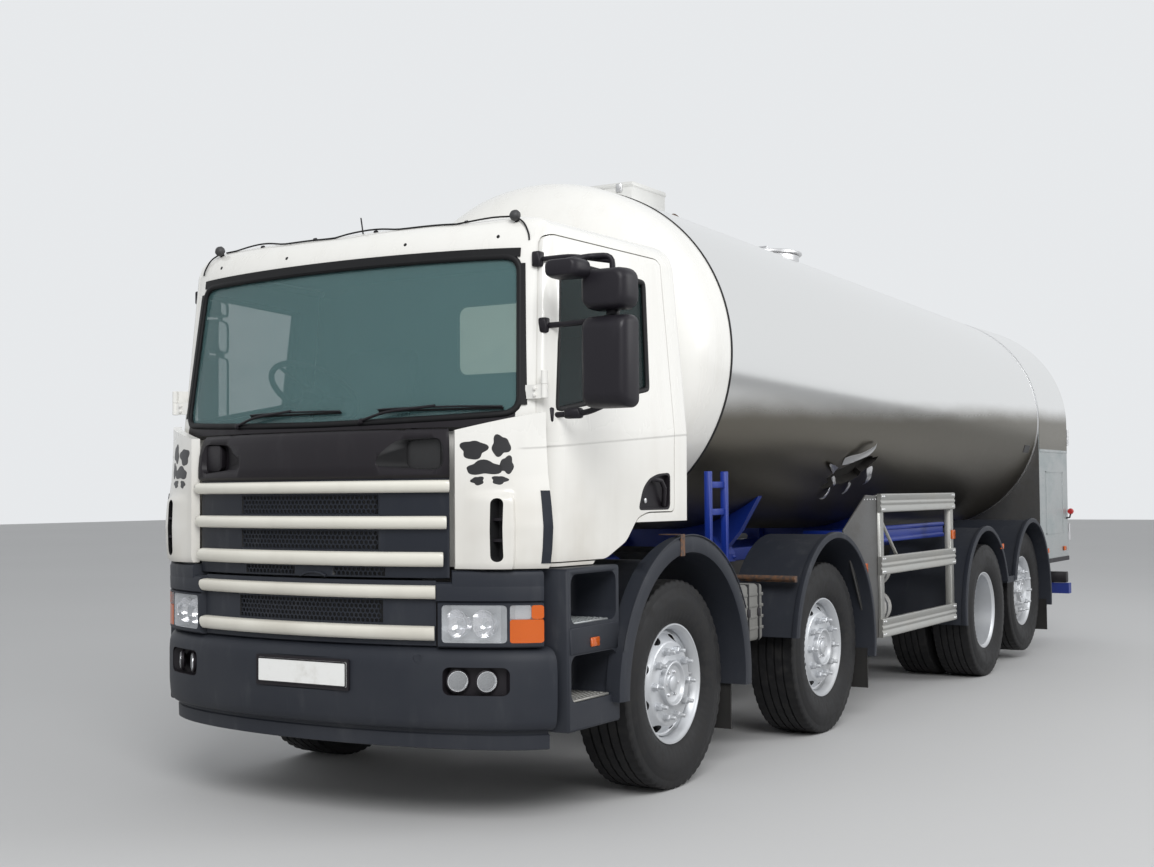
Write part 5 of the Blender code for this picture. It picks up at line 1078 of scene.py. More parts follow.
# %% Windscreen opening
SCREEN_BOTTOM_HALF = 1.000
SCREEN_TOP_HALF = 0.955
SCREEN_BOTTOM = 1.765
SCREEN_BOTTOM_RISE = 0.030
SCREEN_TOP = 2.515
SCREEN_TOP_DROP = 0.012
SCREEN_CORNER = 0.075


def screen_outline(gap=0.0):
    low, high = SCREEN_BOTTOM + gap, SCREEN_TOP - gap
    bottom, top = SCREEN_BOTTOM_HALF - gap, SCREEN_TOP_HALF - gap
    half = [(0.0, low), (bottom * 0.35, low + SCREEN_BOTTOM_RISE * 0.14),
            (bottom * 0.7, low + SCREEN_BOTTOM_RISE * 0.5),
            (bottom, low + SCREEN_BOTTOM_RISE), (top, high - SCREEN_TOP_DROP),
            (top * 0.7, high - SCREEN_TOP_DROP * 0.5), (top * 0.35, high - SCREEN_TOP_DROP * 0.14),
            (0.0, high)]
    outline = half + [(-x, z) for x, z in reversed(half[1:-1])]
    return round_corners(outline, SCREEN_CORNER, 5)


def screen_prism(gap=0.0):
    return prism(screen_outline(gap), "y", -1.455, -0.555)


print("cab rule ready:", len(CAB_LEVELS), "outlines")

# %% [markdown]
# The shell is the outer form less a smaller one, with room for the wheels and the engine below and
# with its openings cut. These are the same cuts that made its solid, with finer curves. Its inside is
# dark plastic, the cut edges carry rubber, and the faces just under the windscreen become a black band.

# %% Cab shell
ENGINE_HALF_ROOM = 0.320
ENGINE_ROOM_TOP = 1.330
ARCH_ROOM_FRONT = -0.760
ARCH_ROOM_TOP = 1.310
ARCH_ROOM_INNER = 0.455
BACK_WINDOW = (-0.180, 0.420, 2.090, 2.460)


def under_forms(margin):
    """What the cab's floor makes room for."""
    half = ENGINE_HALF_ROOM + margin
    forms = [box((-half, -2, 0), (half, CAB_REAR + 0.05, ENGINE_ROOM_TOP + margin))]
    front, top = ARCH_ROOM_FRONT - margin, ARCH_ROOM_TOP + margin
    outline = ((front, 0), (front, CAB_FLOOR + margin), (front + 0.08, top - 0.11),
               (front + 0.17, top - 0.045), (front + 0.30, top), (CAB_REAR + 0.05, top), (CAB_REAR + 0.05, 0))
    forms += other_side(prism(outline, "x", ARCH_ROOM_INNER + 0.045 - margin, CAB_HALF + 0.1))
    return forms


def cab_body():
    inside = carve(paint(cab_form(CAB_WALL), trim_plastic),
                   [paint(form, trim_plastic) for form in under_forms(CAB_WALL)])
    openings = [inside, paint(screen_prism(), seal_rubber)]
    x0, x1, z0, z1 = BACK_WINDOW
    openings.append(paint(prism(rounded(x0, x1, z0, z1, 0.05), "y", CAB_REAR - CAB_WALL * 2, CAB_REAR + 0.05),
                          seal_rubber))
    body = carve(paint(cab_form(), white_paint), [paint(form, white_paint) for form in under_forms(0)])
    body = carve(body, openings)
    doorway = carve(side_prism(DOOR_SHARES, DOOR_GAP), [cab_form(CAB_WALL + DOOR_GAP, 0.10)])
    return carve(body, other_side(doorway), "MANIFOLD")


def under_screen(face):
    x, y, z = face.center
    return abs(x) < 0.99 and y < -1.15 and 1.69 < z < 1.80


cab_body_piece = cab_body()
repaint(cab_body_piece, black_plastic, under_screen)
print("cab shell has", len(cab_body_piece.data.polygons), "faces")
HINGE_X, HINGE_Y_DOOR = 1.112, -1.128
HINGE_HEIGHTS = ((1.240, 0.170), (1.860, 0.095))


def door_hinge_leaf(low, reach, fixed):
    """One half of a door hinge: its pin barrel and its plate."""
    start = low if fixed else low + 0.0605
    barrel = turned(((0, 0.004), (0, 0.013), (0.002, 0.015), (0.058, 0.015), (0.060, 0.013), (0.060, 0.004)),
                    (HINGE_X, HINGE_Y_DOOR, start), UP, 24)
    if fixed:
        plate = box((HINGE_X - reach, HINGE_Y_DOOR - 0.006, start),
                    (HINGE_X, HINGE_Y_DOOR + 0.006, start + 0.06))
    else:
        plate = prism(((HINGE_X - 0.006, HINGE_Y_DOOR), (HINGE_X + 0.006, HINGE_Y_DOOR + 0.004),
                       (1.075, -1.066), (1.062, -1.070)), "z", start, start + 0.06)
    pieces = [barrel, plate]
    for z in (0.016, 0.044) if fixed else ():
        pieces.append(turned(((0, 0.009), (0.008, 0.009), (0.010, 0.006), (0.010, 0.001)),
                             (HINGE_X - 0.045, HINGE_Y_DOOR - 0.006, start + z), -ALONG, 6))
    return merged([paint(piece, white_paint) for piece in pieces])


fixed_leaves = []
for low, reach in HINGE_HEIGHTS:
    leaf = door_hinge_leaf(low, reach, True)
    fixed_leaves += other_side(leaf)
HATCH_HINGE_Y, HATCH_HINGE_Z = -1.335, 1.712
lugs = []
for x in (-0.5, 0.5):
    lugs.append(cross_bar(x, 0.0125, HATCH_HINGE_Y, HATCH_HINGE_Z, 0.010))
    lugs.append(box((x - 0.0125, HATCH_HINGE_Y, HATCH_HINGE_Z - 0.005),
                    (x + 0.0125, HATCH_HINGE_Y + 0.11, HATCH_HINGE_Z + 0.005)))
cab_body_piece = merged([cab_body_piece, *fixed_leaves, *[paint(lug, black_paint) for lug in lugs]])
dress(cab_body_piece, "cab_body", "vehicle", None, ["cab_shell"], smooth=40)

# %% [markdown]
# Panes are cut from a thin skin just under the cab's outer one, so they follow its curve exactly.
# Thick rubber runs round each of them: a flat tube along the edge of the opening, laid on the cab's
# skin. Dark trim strips line the windscreen's head and its two sides.

# %% Panes
GLASS_SINK = 0.014
GLASS_THICKNESS = 0.006
WINDOW_GAP = 0.0004


def glass_skin(cutter):
    skin = carve(cab_form(GLASS_SINK), [cab_form(GLASS_SINK + GLASS_THICKNESS, 0.05)])
    return keep_within(skin, cutter)


dress(glass_skin(screen_prism(WINDOW_GAP)), "windscreen_glass", "vehicle", screen_glass, ["windscreen"],
      smooth=60)
dress_pair(glass_skin(side_prism(WINDOW_SHARES, -WINDOW_GAP)), "door_pane", "door", side_glass,
           ["door_glass"], smooth=60)
x0, x1, z0, z1 = BACK_WINDOW
back_pane = prism(rounded(x0 + 0.002, x1 - 0.002, z0 + 0.002, z1 - 0.002, 0.048), "y", CAB_REAR - 0.034,
                  CAB_REAR - 0.028)
dress(back_pane, "rear_window_glass", "vehicle", rear_glass)


def skin_at(z, inset):
    """The half width, nose depth, nose line and rear half width of the cab at a height."""
    rows = CAB_LEVEL_SHARES
    share = (z - CAB_FLOOR) / (CAB_ROOF - CAB_FLOOR)
    for low, high in zip(rows, rows[1:]):
        if share <= high[0]:
            part = (share - low[0]) / (high[0] - low[0])
            wide, deep, back, rear = (between(a, b, part) for a, b in zip(low[1:], high[1:]))
            half, depth = CAB_HALF * wide - inset, NOSE_DEPTH * deep - inset
            return half, depth, NOSE_LINE + NOSE_DEPTH * back, CAB_HALF * rear - inset
    raise ValueError("above the roof")


def on_front(x, z, inset=0.0):
    """The point of the cab's nose at x and z."""
    half, depth, base, _ = skin_at(z, inset)
    return Vector((x, base - depth * math.sqrt(max(1 - (x / half) ** 2, 0)), z))


def on_side(y, z, inset=0.0):
    """The point of the cab's left side at y and z."""
    half, depth, base, rear = skin_at(z, inset)
    if y < base:
        return Vector((half * math.sqrt(max(1 - ((y - base) / depth) ** 2, 0)), y, z))
    return Vector((between(half, rear, (y - base) / (CAB_REAR - CAB_ROUND - base)), y, z))


def flat_tube(path, wide, thick, out_of, steps=10):
    """A flat rubber strip along a closed path. `out_of` gives the direction out of the skin."""
    points = [Vector(p) for p in path]
    rings = []
    for k, here in enumerate(points):
        way = (points[(k + 1) % len(points)] - points[k - 1]).normalized()
        out = Vector(out_of(here)).normalized()
        side = way.cross(out).normalized()
        turns = [2 * math.pi * i / steps for i in range(steps)]
        rings.append([here + side * wide / 2 * math.cos(t) + out * thick / 2 * math.sin(t) for t in turns])
    return loft(rings, meet=True)


def finely(outline, longest=0.05):
    """The same outline with points no further apart than the given length."""
    made = []
    for k, here in enumerate(outline):
        here, after = Vector(here), Vector(outline[(k + 1) % len(outline)])
        parts = max(1, math.ceil((after - here).length / longest))
        made += [tuple(here.lerp(after, i / parts)) for i in range(parts)]
    return made


def nose_out(point):
    half, depth, base, _ = skin_at(point.z, 0)
    return Vector((point.x / half ** 2, (point.y - base) / depth ** 2, 0.35))


screen_seal = flat_tube([on_front(x, z, 0.004) for x, z in finely(screen_outline(0.004))], 0.032, 0.026,
                        nose_out)


def skin_strip(rows, out=0.010):
    """A trim strip on the cab's front. Each row gives its two edges as (x, z)."""
    return loft([[on_front(*low, 0.012), on_front(*low, -out), on_front(*high, -out), on_front(*high, 0.012)]
                 for low, high in rows])


shares = [between(-1, 1, k / 40) for k in range(41)]
head_strip = skin_strip([((share * SCREEN_TOP_HALF, z), (share * SCREEN_TOP_HALF, z + 0.040))
                         for share, z in ((share, SCREEN_TOP - 0.008 - SCREEN_TOP_DROP * share * share)
                                          for share in shares)])
side_rows = []
for k in range(21):
    x = between(SCREEN_BOTTOM_HALF, SCREEN_TOP_HALF, k / 20) - 0.010
    z = between(SCREEN_BOTTOM + SCREEN_BOTTOM_RISE + 0.04, SCREEN_TOP - 0.05, k / 20)
    side_rows.append(((x, z), (x + 0.034, z)))
trim = [paint(screen_seal, seal_rubber), paint(head_strip, seal_rubber)]
trim += [paint(strip, seal_rubber) for strip in other_side(skin_strip(side_rows))]
dress(merged(trim), "windscreen_rubber", "vehicle", None, smooth=60)
window_path = finely(round_corners(side_points(WINDOW_SHARES, -0.008), 0.03))
window_seal = flat_tube([on_side(y, z, 0.010) for y, z in window_path], 0.030, 0.022, lambda p: ACROSS)
dress_pair(window_seal, "window_rubber", "door", seal_rubber, smooth=60)
back_path = [(x, CAB_REAR, z)
             for x, z in finely(rounded(x0 - 0.005, x1 + 0.005, z0 - 0.005, z1 + 0.005, 0.055))]
dress(flat_tube(back_path, 0.040, 0.014, lambda p: ALONG), "rear_window_rubber", "vehicle", seal_rubber,
      smooth=60)
print("panes and rubbers made")

# %% [markdown]
# A door leaf is the stretch of the cab's skin inside its shut line, as thick as the wall. The handle
# sits in a dark moulded pocket, so a pocket is cut first and the moulding is set into it.

# %% Door leaves
POCKET = ((-0.392, 1.365), (-0.112, 1.365), (-0.112, 1.545), (-0.225, 1.538), (-0.300, 1.515),
          (-0.352, 1.470))
POCKET_DEPTH = 0.030


def pocket_form(grow, outer, inner):
    points = round_corners([(y + grow * (1 if y > -0.2 else -1), z + grow * (1 if z > 1.45 else -1))
                            for y, z in POCKET], 0.03)
    rings = []
    for inset in (outer, inner):
        rings.append([on_side(y, z, inset) for y, z in points])
    return loft(rings)


def door_leaf():
    skin = carve(paint(cab_form(0, 0.05), white_paint), [paint(cab_form(CAB_WALL, 0.10), trim_plastic)])
    leaf = keep_within(skin, paint(side_prism(DOOR_SHARES, 0.0), white_paint))
    front = box((SIDE_REACH, NOSE_LINE - 0.3, CAB_FLOOR - 0.1), (1.020, NOSE_LINE, CAB_ROOF))
    cuts = [paint(cut, white_paint) for cut in (front, pocket_form(0, -0.02, POCKET_DEPTH))]
    return carve(leaf, [paint(side_prism(WINDOW_SHARES), seal_rubber), *cuts])


def door_handle():
    tray = pocket_form(-0.001, 0.002, POCKET_DEPTH)
    hollow = pocket_form(-0.010, -0.02, POCKET_DEPTH - 0.004)
    tray = carve(tray, [hollow])
    path = [on_side(-0.150, 1.385, 0.016), on_side(-0.165, 1.42, 0.004), on_side(-0.180, 1.47, -0.006),
            on_side(-0.205, 1.505, -0.003), on_side(-0.250, 1.512, 0.006), on_side(-0.262, 1.505, 0.018)]
    smooth_path = []
    for one, two in zip(path, path[1:]):
        smooth_path += [one, one.lerp(two, 0.5)]
    grip = tube(smooth_path + [path[-1]], 0.011, 10)
    lock = turned(((0, 0.001), (0, 0.013), (0.006, 0.013), (0.008, 0.010), (0.008, 0.001)),
                  on_side(-0.30, 1.41, POCKET_DEPTH - 0.003), ACROSS, 20)
    return [paint(tray, black_plastic), paint(grip, black_plastic), paint(lock, bright_steel)]


leaf = merged([door_leaf(), *[door_hinge_leaf(low, reach, False) for low, reach in HINGE_HEIGHTS]])
dress_pair(leaf, "door_leaf", "door", None, ["cab_door"], smooth=40)
dress_pair(merged(door_handle()), "door_handle", "door", None, smooth=40)
print("doors made")

# %% [markdown]
# ## Repeating with Geometry Nodes
#
# Mesh cells, rivets, nuts and tread bars are one small shape many times over. This class writes a node
# tree that puts a shape on numbered points: each point works out its own place from its number.

# %% A repeater
class Repeater(Maker):
    """A geometry tree with named numbers. Its points find their places from their index."""

    def __init__(self, name, numbers):
        super().__init__(bpy.data.node_groups.new(name, "GeometryNodeTree"))
        sockets = self.tree.interface
        sockets.new_socket("Geometry", in_out="INPUT", socket_type="NodeSocketGeometry")
        sockets.new_socket("Geometry", in_out="OUTPUT", socket_type="NodeSocketGeometry")
        self.numbers = numbers
        self.keys = {}
        for key, value in numbers.items():
            kind = "NodeSocketInt" if isinstance(value, int) else "NodeSocketFloat"
            self.keys[key] = sockets.new_socket(key, in_out="INPUT", socket_type=kind).identifier
        self.start = self.tree.nodes.new("NodeGroupInput")
        self.index = self.node("GeometryNodeInputIndex")

    def number(self, key):
        return Wire(self, self.start.outputs[key])

    def row_and_column(self, columns):
        row = (self.index / columns).floored()
        return row, self.index - row * columns

    def vector(self, x, y, z):
        return self.node("ShaderNodeCombineXYZ", None, {0: x, 1: y, 2: z})

    def grown(self, unit, count, place, turn=(0, 0, 0), finish=None):
        """Puts the unit on every point, then hands back one plain mesh object."""
        points = self.node("GeometryNodePoints", None, {"Count": count, "Position": self.vector(*place)})
        shape = self.node("GeometryNodeObjectInfo", None, {"Object": unit}, "Geometry")
        values = {"Points": points, "Instance": shape, "Rotation": self.vector(*turn)}
        copies = self.node("GeometryNodeInstanceOnPoints", None, values)
        solid = self.node("GeometryNodeRealizeInstances", None, {0: copies})
        painted = self.node("GeometryNodeSetMaterial", None, {0: solid, "Material": finish.material})
        end = self.tree.nodes.new("NodeGroupOutput")
        self.tree.links.new(painted.socket, end.inputs[0])
        obj = piece_from(bmesh.new(), self.tree.name)
        modifier = obj.modifiers.new(self.tree.name, "NODES")
        modifier.node_group = self.tree
        for key, value in self.numbers.items():
            modifier[self.keys[key]] = value
        settled(obj)
        bpy.data.objects.remove(unit)
        return obj


# %% [markdown]
# ## The nose
#
# Everything on the nose lies on the same half ellipse, a few millimetres in or out of it. A panel is
# drawn as rows that give a height and how far the face stands back there.

# %% Nose rule
PANEL_HALF = 1.165
PANEL_WALL = 0.085
BUMPER_HALF = 1.200
BAND_SINK = 0.040


def nose_at(x, z, half, back=0.0):
    """A point of the ellipse with this half width, moved back by the given length."""
    wide, depth = half - back, NOSE_DEPTH - back
    return Vector((x * wide / half, NOSE_LINE - depth * math.sqrt(max(1 - (x / half) ** 2, 0)), z))


def nose_panel(x0, x1, half, wall, rows, steps=40):
    low, high = math.asin(x0 / half), math.asin(x1 / half)
    columns = [half * math.sin(between(low, high, k / steps)) for k in range(steps + 1)]
    return slab([[(nose_at(x, z, half, back), nose_at(x, z, half, wall)) for x in columns]
                 for z, back in rows])


def front_prism(outline):
    """An outline in front view, pushed through the nose."""
    return prism(outline, "y", -1.50, -0.90)


def nose_patch(outline, half, out, deep):
    """The part of the nose between two depths that lies inside an outline in front view."""
    xs, zs = [p[0] for p in outline], [p[1] for p in outline]
    slice_ = nose_panel(min(xs) - 0.01, max(xs) + 0.01, half, deep,
                        ((min(zs) - 0.01, out), (max(zs) + 0.01, out)), 24)
    return keep_within(slice_, front_prism(outline))


# %% [markdown]
# The hinged panel carries three pale bars. The bands between them are dark, with a honeycomb mesh in
# the middle. The black top part has a scoop at each end, one with its insert and one without.

# %% Honeycomb mesh
CELL_PITCH = 0.0235
CELL_HOLE = 0.77


def honeycomb_cell(pitch):
    rings = []
    for radius, depth in ((1.0, 0.0), (CELL_HOLE, 0.0), (CELL_HOLE * 0.96, 0.005), (1.0, 0.005)):
        reach = radius * pitch / math.sqrt(3)
        turns = [math.radians(30 + 60 * k) for k in range(6)]
        rings.append([(reach * math.cos(t), depth, reach * math.sin(t)) for t in turns])
    return loft(rings, meet=True)


def honeycomb(name, x0, x1, low, high, half, back):
    """A honeycomb plate along the nose. The row and column of a cell come from its number."""
    across = int((x1 - x0) / CELL_PITCH) + 1
    rows = max(1, round((high - low) / (CELL_PITCH * 0.866)))
    maker = Repeater(name, {"Cells across": across, "Rows": rows, "Pitch": CELL_PITCH})
    columns, pitch = maker.number("Cells across"), maker.number("Pitch")
    row, column = maker.row_and_column(columns)
    shift = row.maths("MODULO", row, 2.0) * 0.5
    x = x0 + (column + shift) * pitch
    z = (low + high) / 2 + (row - (maker.number("Rows") - 1) * 0.5) * pitch * 0.866
    wide, depth = half - back, NOSE_DEPTH - back
    root = (1 - (x / wide) ** 2.0).rooted()
    y = NOSE_LINE - depth * root
    slope = x * (depth / wide ** 2) / root
    count = columns * maker.number("Rows")
    turn = (0.0, 0.0, slope.maths("ARCTANGENT", slope))
    return maker.grown(honeycomb_cell(CELL_PITCH), count, (x, y, z), turn, dark_plastic)


# %% Hinged front panel
HATCH_HALF = 0.765
HATCH_LOW, HATCH_HIGH = 1.085, 1.735
MESH_HALF = 0.410
RECESS_DEPTH = 0.068
TOP_SKIN_LOW = 1.522
BAR_ROWS = ((0.00, 0.034), (0.06, 0.016), (0.22, 0.007), (0.40, 0.002), (0.55, 0.0), (0.80, 0.001),
            (0.92, 0.007), (1.00, 0.026))


def grille_bar(half_width, low, high, half):
    rows = [(between(low, high, share), back) for share, back in BAR_ROWS]
    bar = nose_panel(-half_width, half_width, half, BAND_SINK + 0.004, rows, 56)
    bar = keep_within(bar, front_prism(rounded(-half_width, half_width, low, high, 0.020, 6)))
    return paint(bar, cream_paint)


def recess(x0, x1, low, high, half, deep):
    return paint(nose_patch(rounded(x0, x1, low, high, 0.006, 2), half, -0.02, deep), grille_black)


rows = ((HATCH_LOW, 0.043), (HATCH_LOW + 0.003, BAND_SINK), (1.518, BAND_SINK), (1.526, 0.028),
        (1.534, 0.022),
        (1.58, 0.022), (1.64, 0.027), (1.69, 0.038), (1.718, 0.050), (1.730, 0.060), (HATCH_HIGH, 0.070))
hatch = nose_panel(-HATCH_HALF, HATCH_HALF, PANEL_HALF, PANEL_WALL, rows, 64)
soften(hatch, 0.004)
paint(hatch, dark_plastic)
mesh_bands = ((1.208, 1.290), (1.364, 1.448))
cuts = [recess(-MESH_HALF, MESH_HALF, low, high, PANEL_HALF, RECESS_DEPTH) for low, high in mesh_bands]
cuts += [recess(x0, x1, 1.093, 1.130, PANEL_HALF, RECESS_DEPTH)
         for x0, x1 in ((-0.375, -0.055), (0.165, 0.445))]
for side in (-1, 1):
    for x in (0.5, 0.485):
        cuts.append(box((side * x - 0.022, HATCH_HINGE_Y - 0.013, HATCH_HINGE_Z - 0.025),
                        (side * x + 0.022, NOSE_LINE, HATCH_HIGH + 0.05)))
    holes = [turned(((0, 0.007), (0.05, 0.007)), (side * (0.655 + dx), -1.40, 1.105 + dz), ALONG, 12)
             for dx, dz in ((0, 0), (0.018, 0.010), (0.018, -0.010))]
    cuts += [paint(hole, grille_black) for hole in holes]
hatch = carve(hatch, cuts)


def scoop(side):
    """A shallow ramp that leads into a deep pocket."""
    wide = round_corners([(side * x, z) for x, z in ((0.395, 1.575), (0.735, 1.552), (0.735, 1.700),
                                                     (0.480, 1.692))], 0.05)
    small = round_corners([(side * x, z) for x, z in ((0.560, 1.566), (0.725, 1.560), (0.725, 1.692),
                                                      (0.560, 1.684))], 0.03)
    rings = []
    for points, back in ((wide, -0.02), (wide, 0.026), (small, 0.062), (small, 0.078)):
        rings.append([nose_at(x, z, PANEL_HALF, back) for x, z in points])
    return loft(rings)


hatch = carve(hatch, [paint(scoop(-1), black_plastic), paint(scoop(1), grille_black)])
insert = nose_patch(rounded(-0.722, -0.568, 1.565, 1.688, 0.035), PANEL_HALF, 0.046, 0.080)
soften(insert, 0.006)
repaint(hatch, black_plastic, lambda face: face.center.z > TOP_SKIN_LOW and face.material_index == 0)
pieces = [hatch, paint(insert, black_plastic)]
for half_width, low, high in ((0.762, 1.457, 1.511), (0.749, 1.298, 1.355), (0.734, 1.135, 1.199)):
    pieces.append(grille_bar(half_width, low, high, PANEL_HALF))
for number, (low, high) in enumerate(mesh_bands):
    pieces.append(honeycomb(f"hatch_mesh_{number}", -MESH_HALF + 0.01, MESH_HALF - 0.02, low, high,
                            PANEL_HALF, 0.045))
pieces.append(honeycomb("hatch_mesh_2", -0.368, -0.072, 1.097, 1.128, PANEL_HALF, 0.045))
pieces.append(honeycomb("hatch_mesh_3", 0.172, 0.428, 1.097, 1.128, PANEL_HALF, 0.045))
lip = tube([nose_at(x, z, PANEL_HALF, 0.036) for x, z in ((-0.02, 1.088), (0.02, 1.102), (0.06, 1.106),
                                                          (0.10, 1.102), (0.135, 1.088))], 0.006)
hinge_pins = []
for side in (-1, 1):
    for end in (-1, 1):
        x = side * 0.5 + end * 0.028
        hinge_pins.append(paint(cross_bar(x, 0.006, HATCH_HINGE_Y, HATCH_HINGE_Z, 0.010), black_paint))
pieces += [paint(lip, dark_plastic), *hinge_pins]
front_panel = dress(merged(pieces), "front_panel", "hatch", None, ["front_hatch"], smooth=38)
print("front panel made with its mesh:", len(front_panel.data.polygons), "faces")

# %% [markdown]
# The lower grille has two more bars and meets the bumper. Over each headlamp a dark brow fills the
# space below the corner panel.

# %% Lower grille and brows
LOWER_HALF = 0.705
LAMP_OUTER = 1.127
rows = ((0.7903, 0.052), (0.796, BAND_SINK), (1.071, BAND_SINK), (1.075, 0.043))
lower = paint(nose_panel(-LOWER_HALF, LOWER_HALF, BUMPER_HALF, PANEL_WALL, rows, 56), dark_plastic)
lower = carve(lower, [recess(-0.420, 0.435, 0.890, 0.988, BUMPER_HALF, RECESS_DEPTH)])
pieces = [lower]
for half_width, low, high in ((0.702, 0.996, 1.055), (0.697, 0.817, 0.880)):
    pieces.append(grille_bar(half_width, low, high, BUMPER_HALF))
pieces.append(honeycomb("lower_mesh", -0.405, 0.412, 0.892, 0.986, BUMPER_HALF, 0.045))
for x0, low, high in ((0.7055, 0.9853, 1.069), (HATCH_HALF + 0.012, 1.025, 1.120)):
    rows = ((low, 0.020), (low + 0.006, 0.010), (high - 0.02, 0.008), (high - 0.006, 0.014), (high, 0.026))
    brow = nose_panel(x0, LAMP_OUTER, BUMPER_HALF, PANEL_WALL, rows, 24)
    pieces += [paint(piece, dark_plastic) for piece in other_side(brow)]
dress(merged(pieces), "lower_front", "vehicle", None, ["lower_grille"], smooth=38)

# %% [markdown]
# A headlamp is a dark housing, bright bowls, and lenses over them. The indicator at its outer end has
# an amber lens below and a clear one above.

# %% Headlamps
def bowl(centre, direction, radius, depth):
    """An open dish: its outer wall runs back to a small bulb socket."""
    profile = [(depth, 0.001), (depth, 0.012)]
    for k in range(1, 9):
        share = k / 8
        profile.append((depth * (1 - share ** 2), between(0.012, radius, share)))
    profile += [(0, radius + 0.003), (depth * 0.7, radius + 0.003), (depth + 0.006, 0.016),
                (depth + 0.006, 0.001)]
    return turned(profile, centre, direction, 28)


def headlamp():
    rows = ((0.7903, 0.024), (0.797, 0.012), (0.805, 0.010), (0.978, 0.010), (0.985, 0.020))
    housing = nose_panel(0.712, LAMP_OUTER, BUMPER_HALF, 0.110, rows, 24)
    cavities = [nose_patch(rounded(0.724, 0.990, 0.812, 0.973, 0.016), BUMPER_HALF, -0.02, 0.085),
                nose_patch(rounded(1.001, 1.118, 0.812, 0.973, 0.012), BUMPER_HALF, -0.02, 0.050)]
    pieces = [carve(paint(housing, dark_plastic), [paint(cavity, silver_paint) for cavity in cavities])]
    for x in (0.795, 0.912):
        centre = nose_at(x, 0.892, BUMPER_HALF, 0.034)
        pieces.append(paint(bowl(centre, ALONG, 0.058, 0.045), reflector))
        bulb = turned(((0, 0.001), (0.002, 0.007), (0.024, 0.009), (0.030, 0.009)), centre + ALONG * 0.018,
                      ALONG, 12)
        pieces.append(paint(bulb, clear_lens))
    lens = nose_patch(rounded(0.7245, 0.9895, 0.8125, 0.9725, 0.016), BUMPER_HALF, 0.010, 0.014)
    amber = nose_patch(rounded(1.0015, 1.1175, 0.8125, 0.912, 0.010), BUMPER_HALF, 0.009, 0.030)
    corner = nose_patch(rounded(1.078, 1.1175, 0.914, 0.9725, 0.010), BUMPER_HALF, 0.009, 0.030)
    clear = nose_patch(rounded(1.0015, 1.076, 0.914, 0.9725, 0.010), BUMPER_HALF, 0.010, 0.014)
    pieces += [paint(lens, clear_lens), paint(amber, amber_lens), paint(corner, amber_lens),
               paint(clear, clear_lens)]
    return merged(pieces)


dress_pair(headlamp(), "headlamp_unit", "vehicle", None, ["headlamp"], smooth=40)
print("lamps and lower grille made")

# %% [markdown]
# Each corner panel swells into a pod with an upright air slot. The swelling is a sum of smooth steps
# added to the ellipse, so the sheet has no seam where the pod starts.

# %% Corner panels
CORNER_INNER, CORNER_OUTER = 0.785, 1.118
CORNER_LOW = 1.128
CORNER_TOPS = (1.725, 1.800)
CORNER_WALL = 0.040
FLARES = ((0.0, 0.55), (0.13, 0.92), (0.27, 1.10), (0.42, 0.80), (0.60, 0.30), (0.75, 0.12), (0.85, 0.05),
          (1.0, 0.0))


def smooth_rise(value, low, high):
    share = min(max((value - low) / (high - low), 0), 1)
    return share * share * (3 - 2 * share)


def corner_swell(x, z, rise):
    across = (x - CORNER_INNER) / (CORNER_OUTER - CORNER_INNER)
    for (low, one), (high, two) in zip(FLARES, FLARES[1:]):
        if rise <= high:
            flare = between(one, two, (rise - low) / (high - low))
            break
    pod = 0.026 * smooth_rise(x, 0.80, 0.935) * (1 - smooth_rise(x, 0.992, 1.012))
    pod *= 1 - smooth_rise(z, 1.425, 1.462)
    return flare * CORNER_WALL * across + pod


def corner_sheet(out, deep, columns=44, rise_count=44, x0=CORNER_INNER, x1=CORNER_OUTER, z0=None, z1=None):
    low, high = math.asin(x0 / PANEL_HALF), math.asin(x1 / PANEL_HALF)
    grid = []
    for i in range(rise_count + 1):
        row = []
        for k in range(columns + 1):
            x = PANEL_HALF * math.sin(between(low, high, k / columns))
            across = (x - CORNER_INNER) / (CORNER_OUTER - CORNER_INNER)
            top = between(*CORNER_TOPS, across)
            z = between(CORNER_LOW if z0 is None else z0, top if z1 is None else z1, i / rise_count)
            rise = min(max((z - CORNER_LOW) / (top - CORNER_LOW), 0), 1)
            edge = 0.010 * (1 - smooth_rise(rise, 0, 0.03)) if z0 is None else 0
            swell = corner_swell(x, z, rise)
            row.append((nose_at(x, z, PANEL_HALF, edge - swell - out), nose_at(x, z, PANEL_HALF, deep)))
        grid.append(row)
    return slab(grid)


def corner_panel():
    panel = paint(corner_sheet(0.0, CORNER_WALL), white_paint)
    slot = prism(rounded(0.945, 0.997, 1.159, 1.431, 0.025), "y", -1.50, -1.235)
    notch = box((1.068, HINGE_Y_DOOR - 0.021, 1.234), (1.24, NOSE_LINE, 1.372))
    panel = carve(panel, [paint(slot, grille_black), paint(notch, black_plastic), cab_form(-0.0003)])
    pieces = [panel]
    for z in (1.250, 1.340):
        pieces.append(paint(box((0.943, -1.283, z - 0.006), (0.999, -1.245, z + 0.006)), black_plastic))
    strip = corner_sheet(0.004, -0.014, 4, 16, 1.092, 1.1165, 1.150, 1.462)
    pieces.append(paint(strip, dark_plastic))
    return merged(pieces)


dress_pair(corner_panel(), "corner_sheet", "vehicle", None, ["corner_panel"], smooth=42)

# %% [markdown]
# The sticker on each corner panel is a thin film. Its patches are wavy circles, cut from a sheet that
# follows the panel. The design is made up for this lesson.

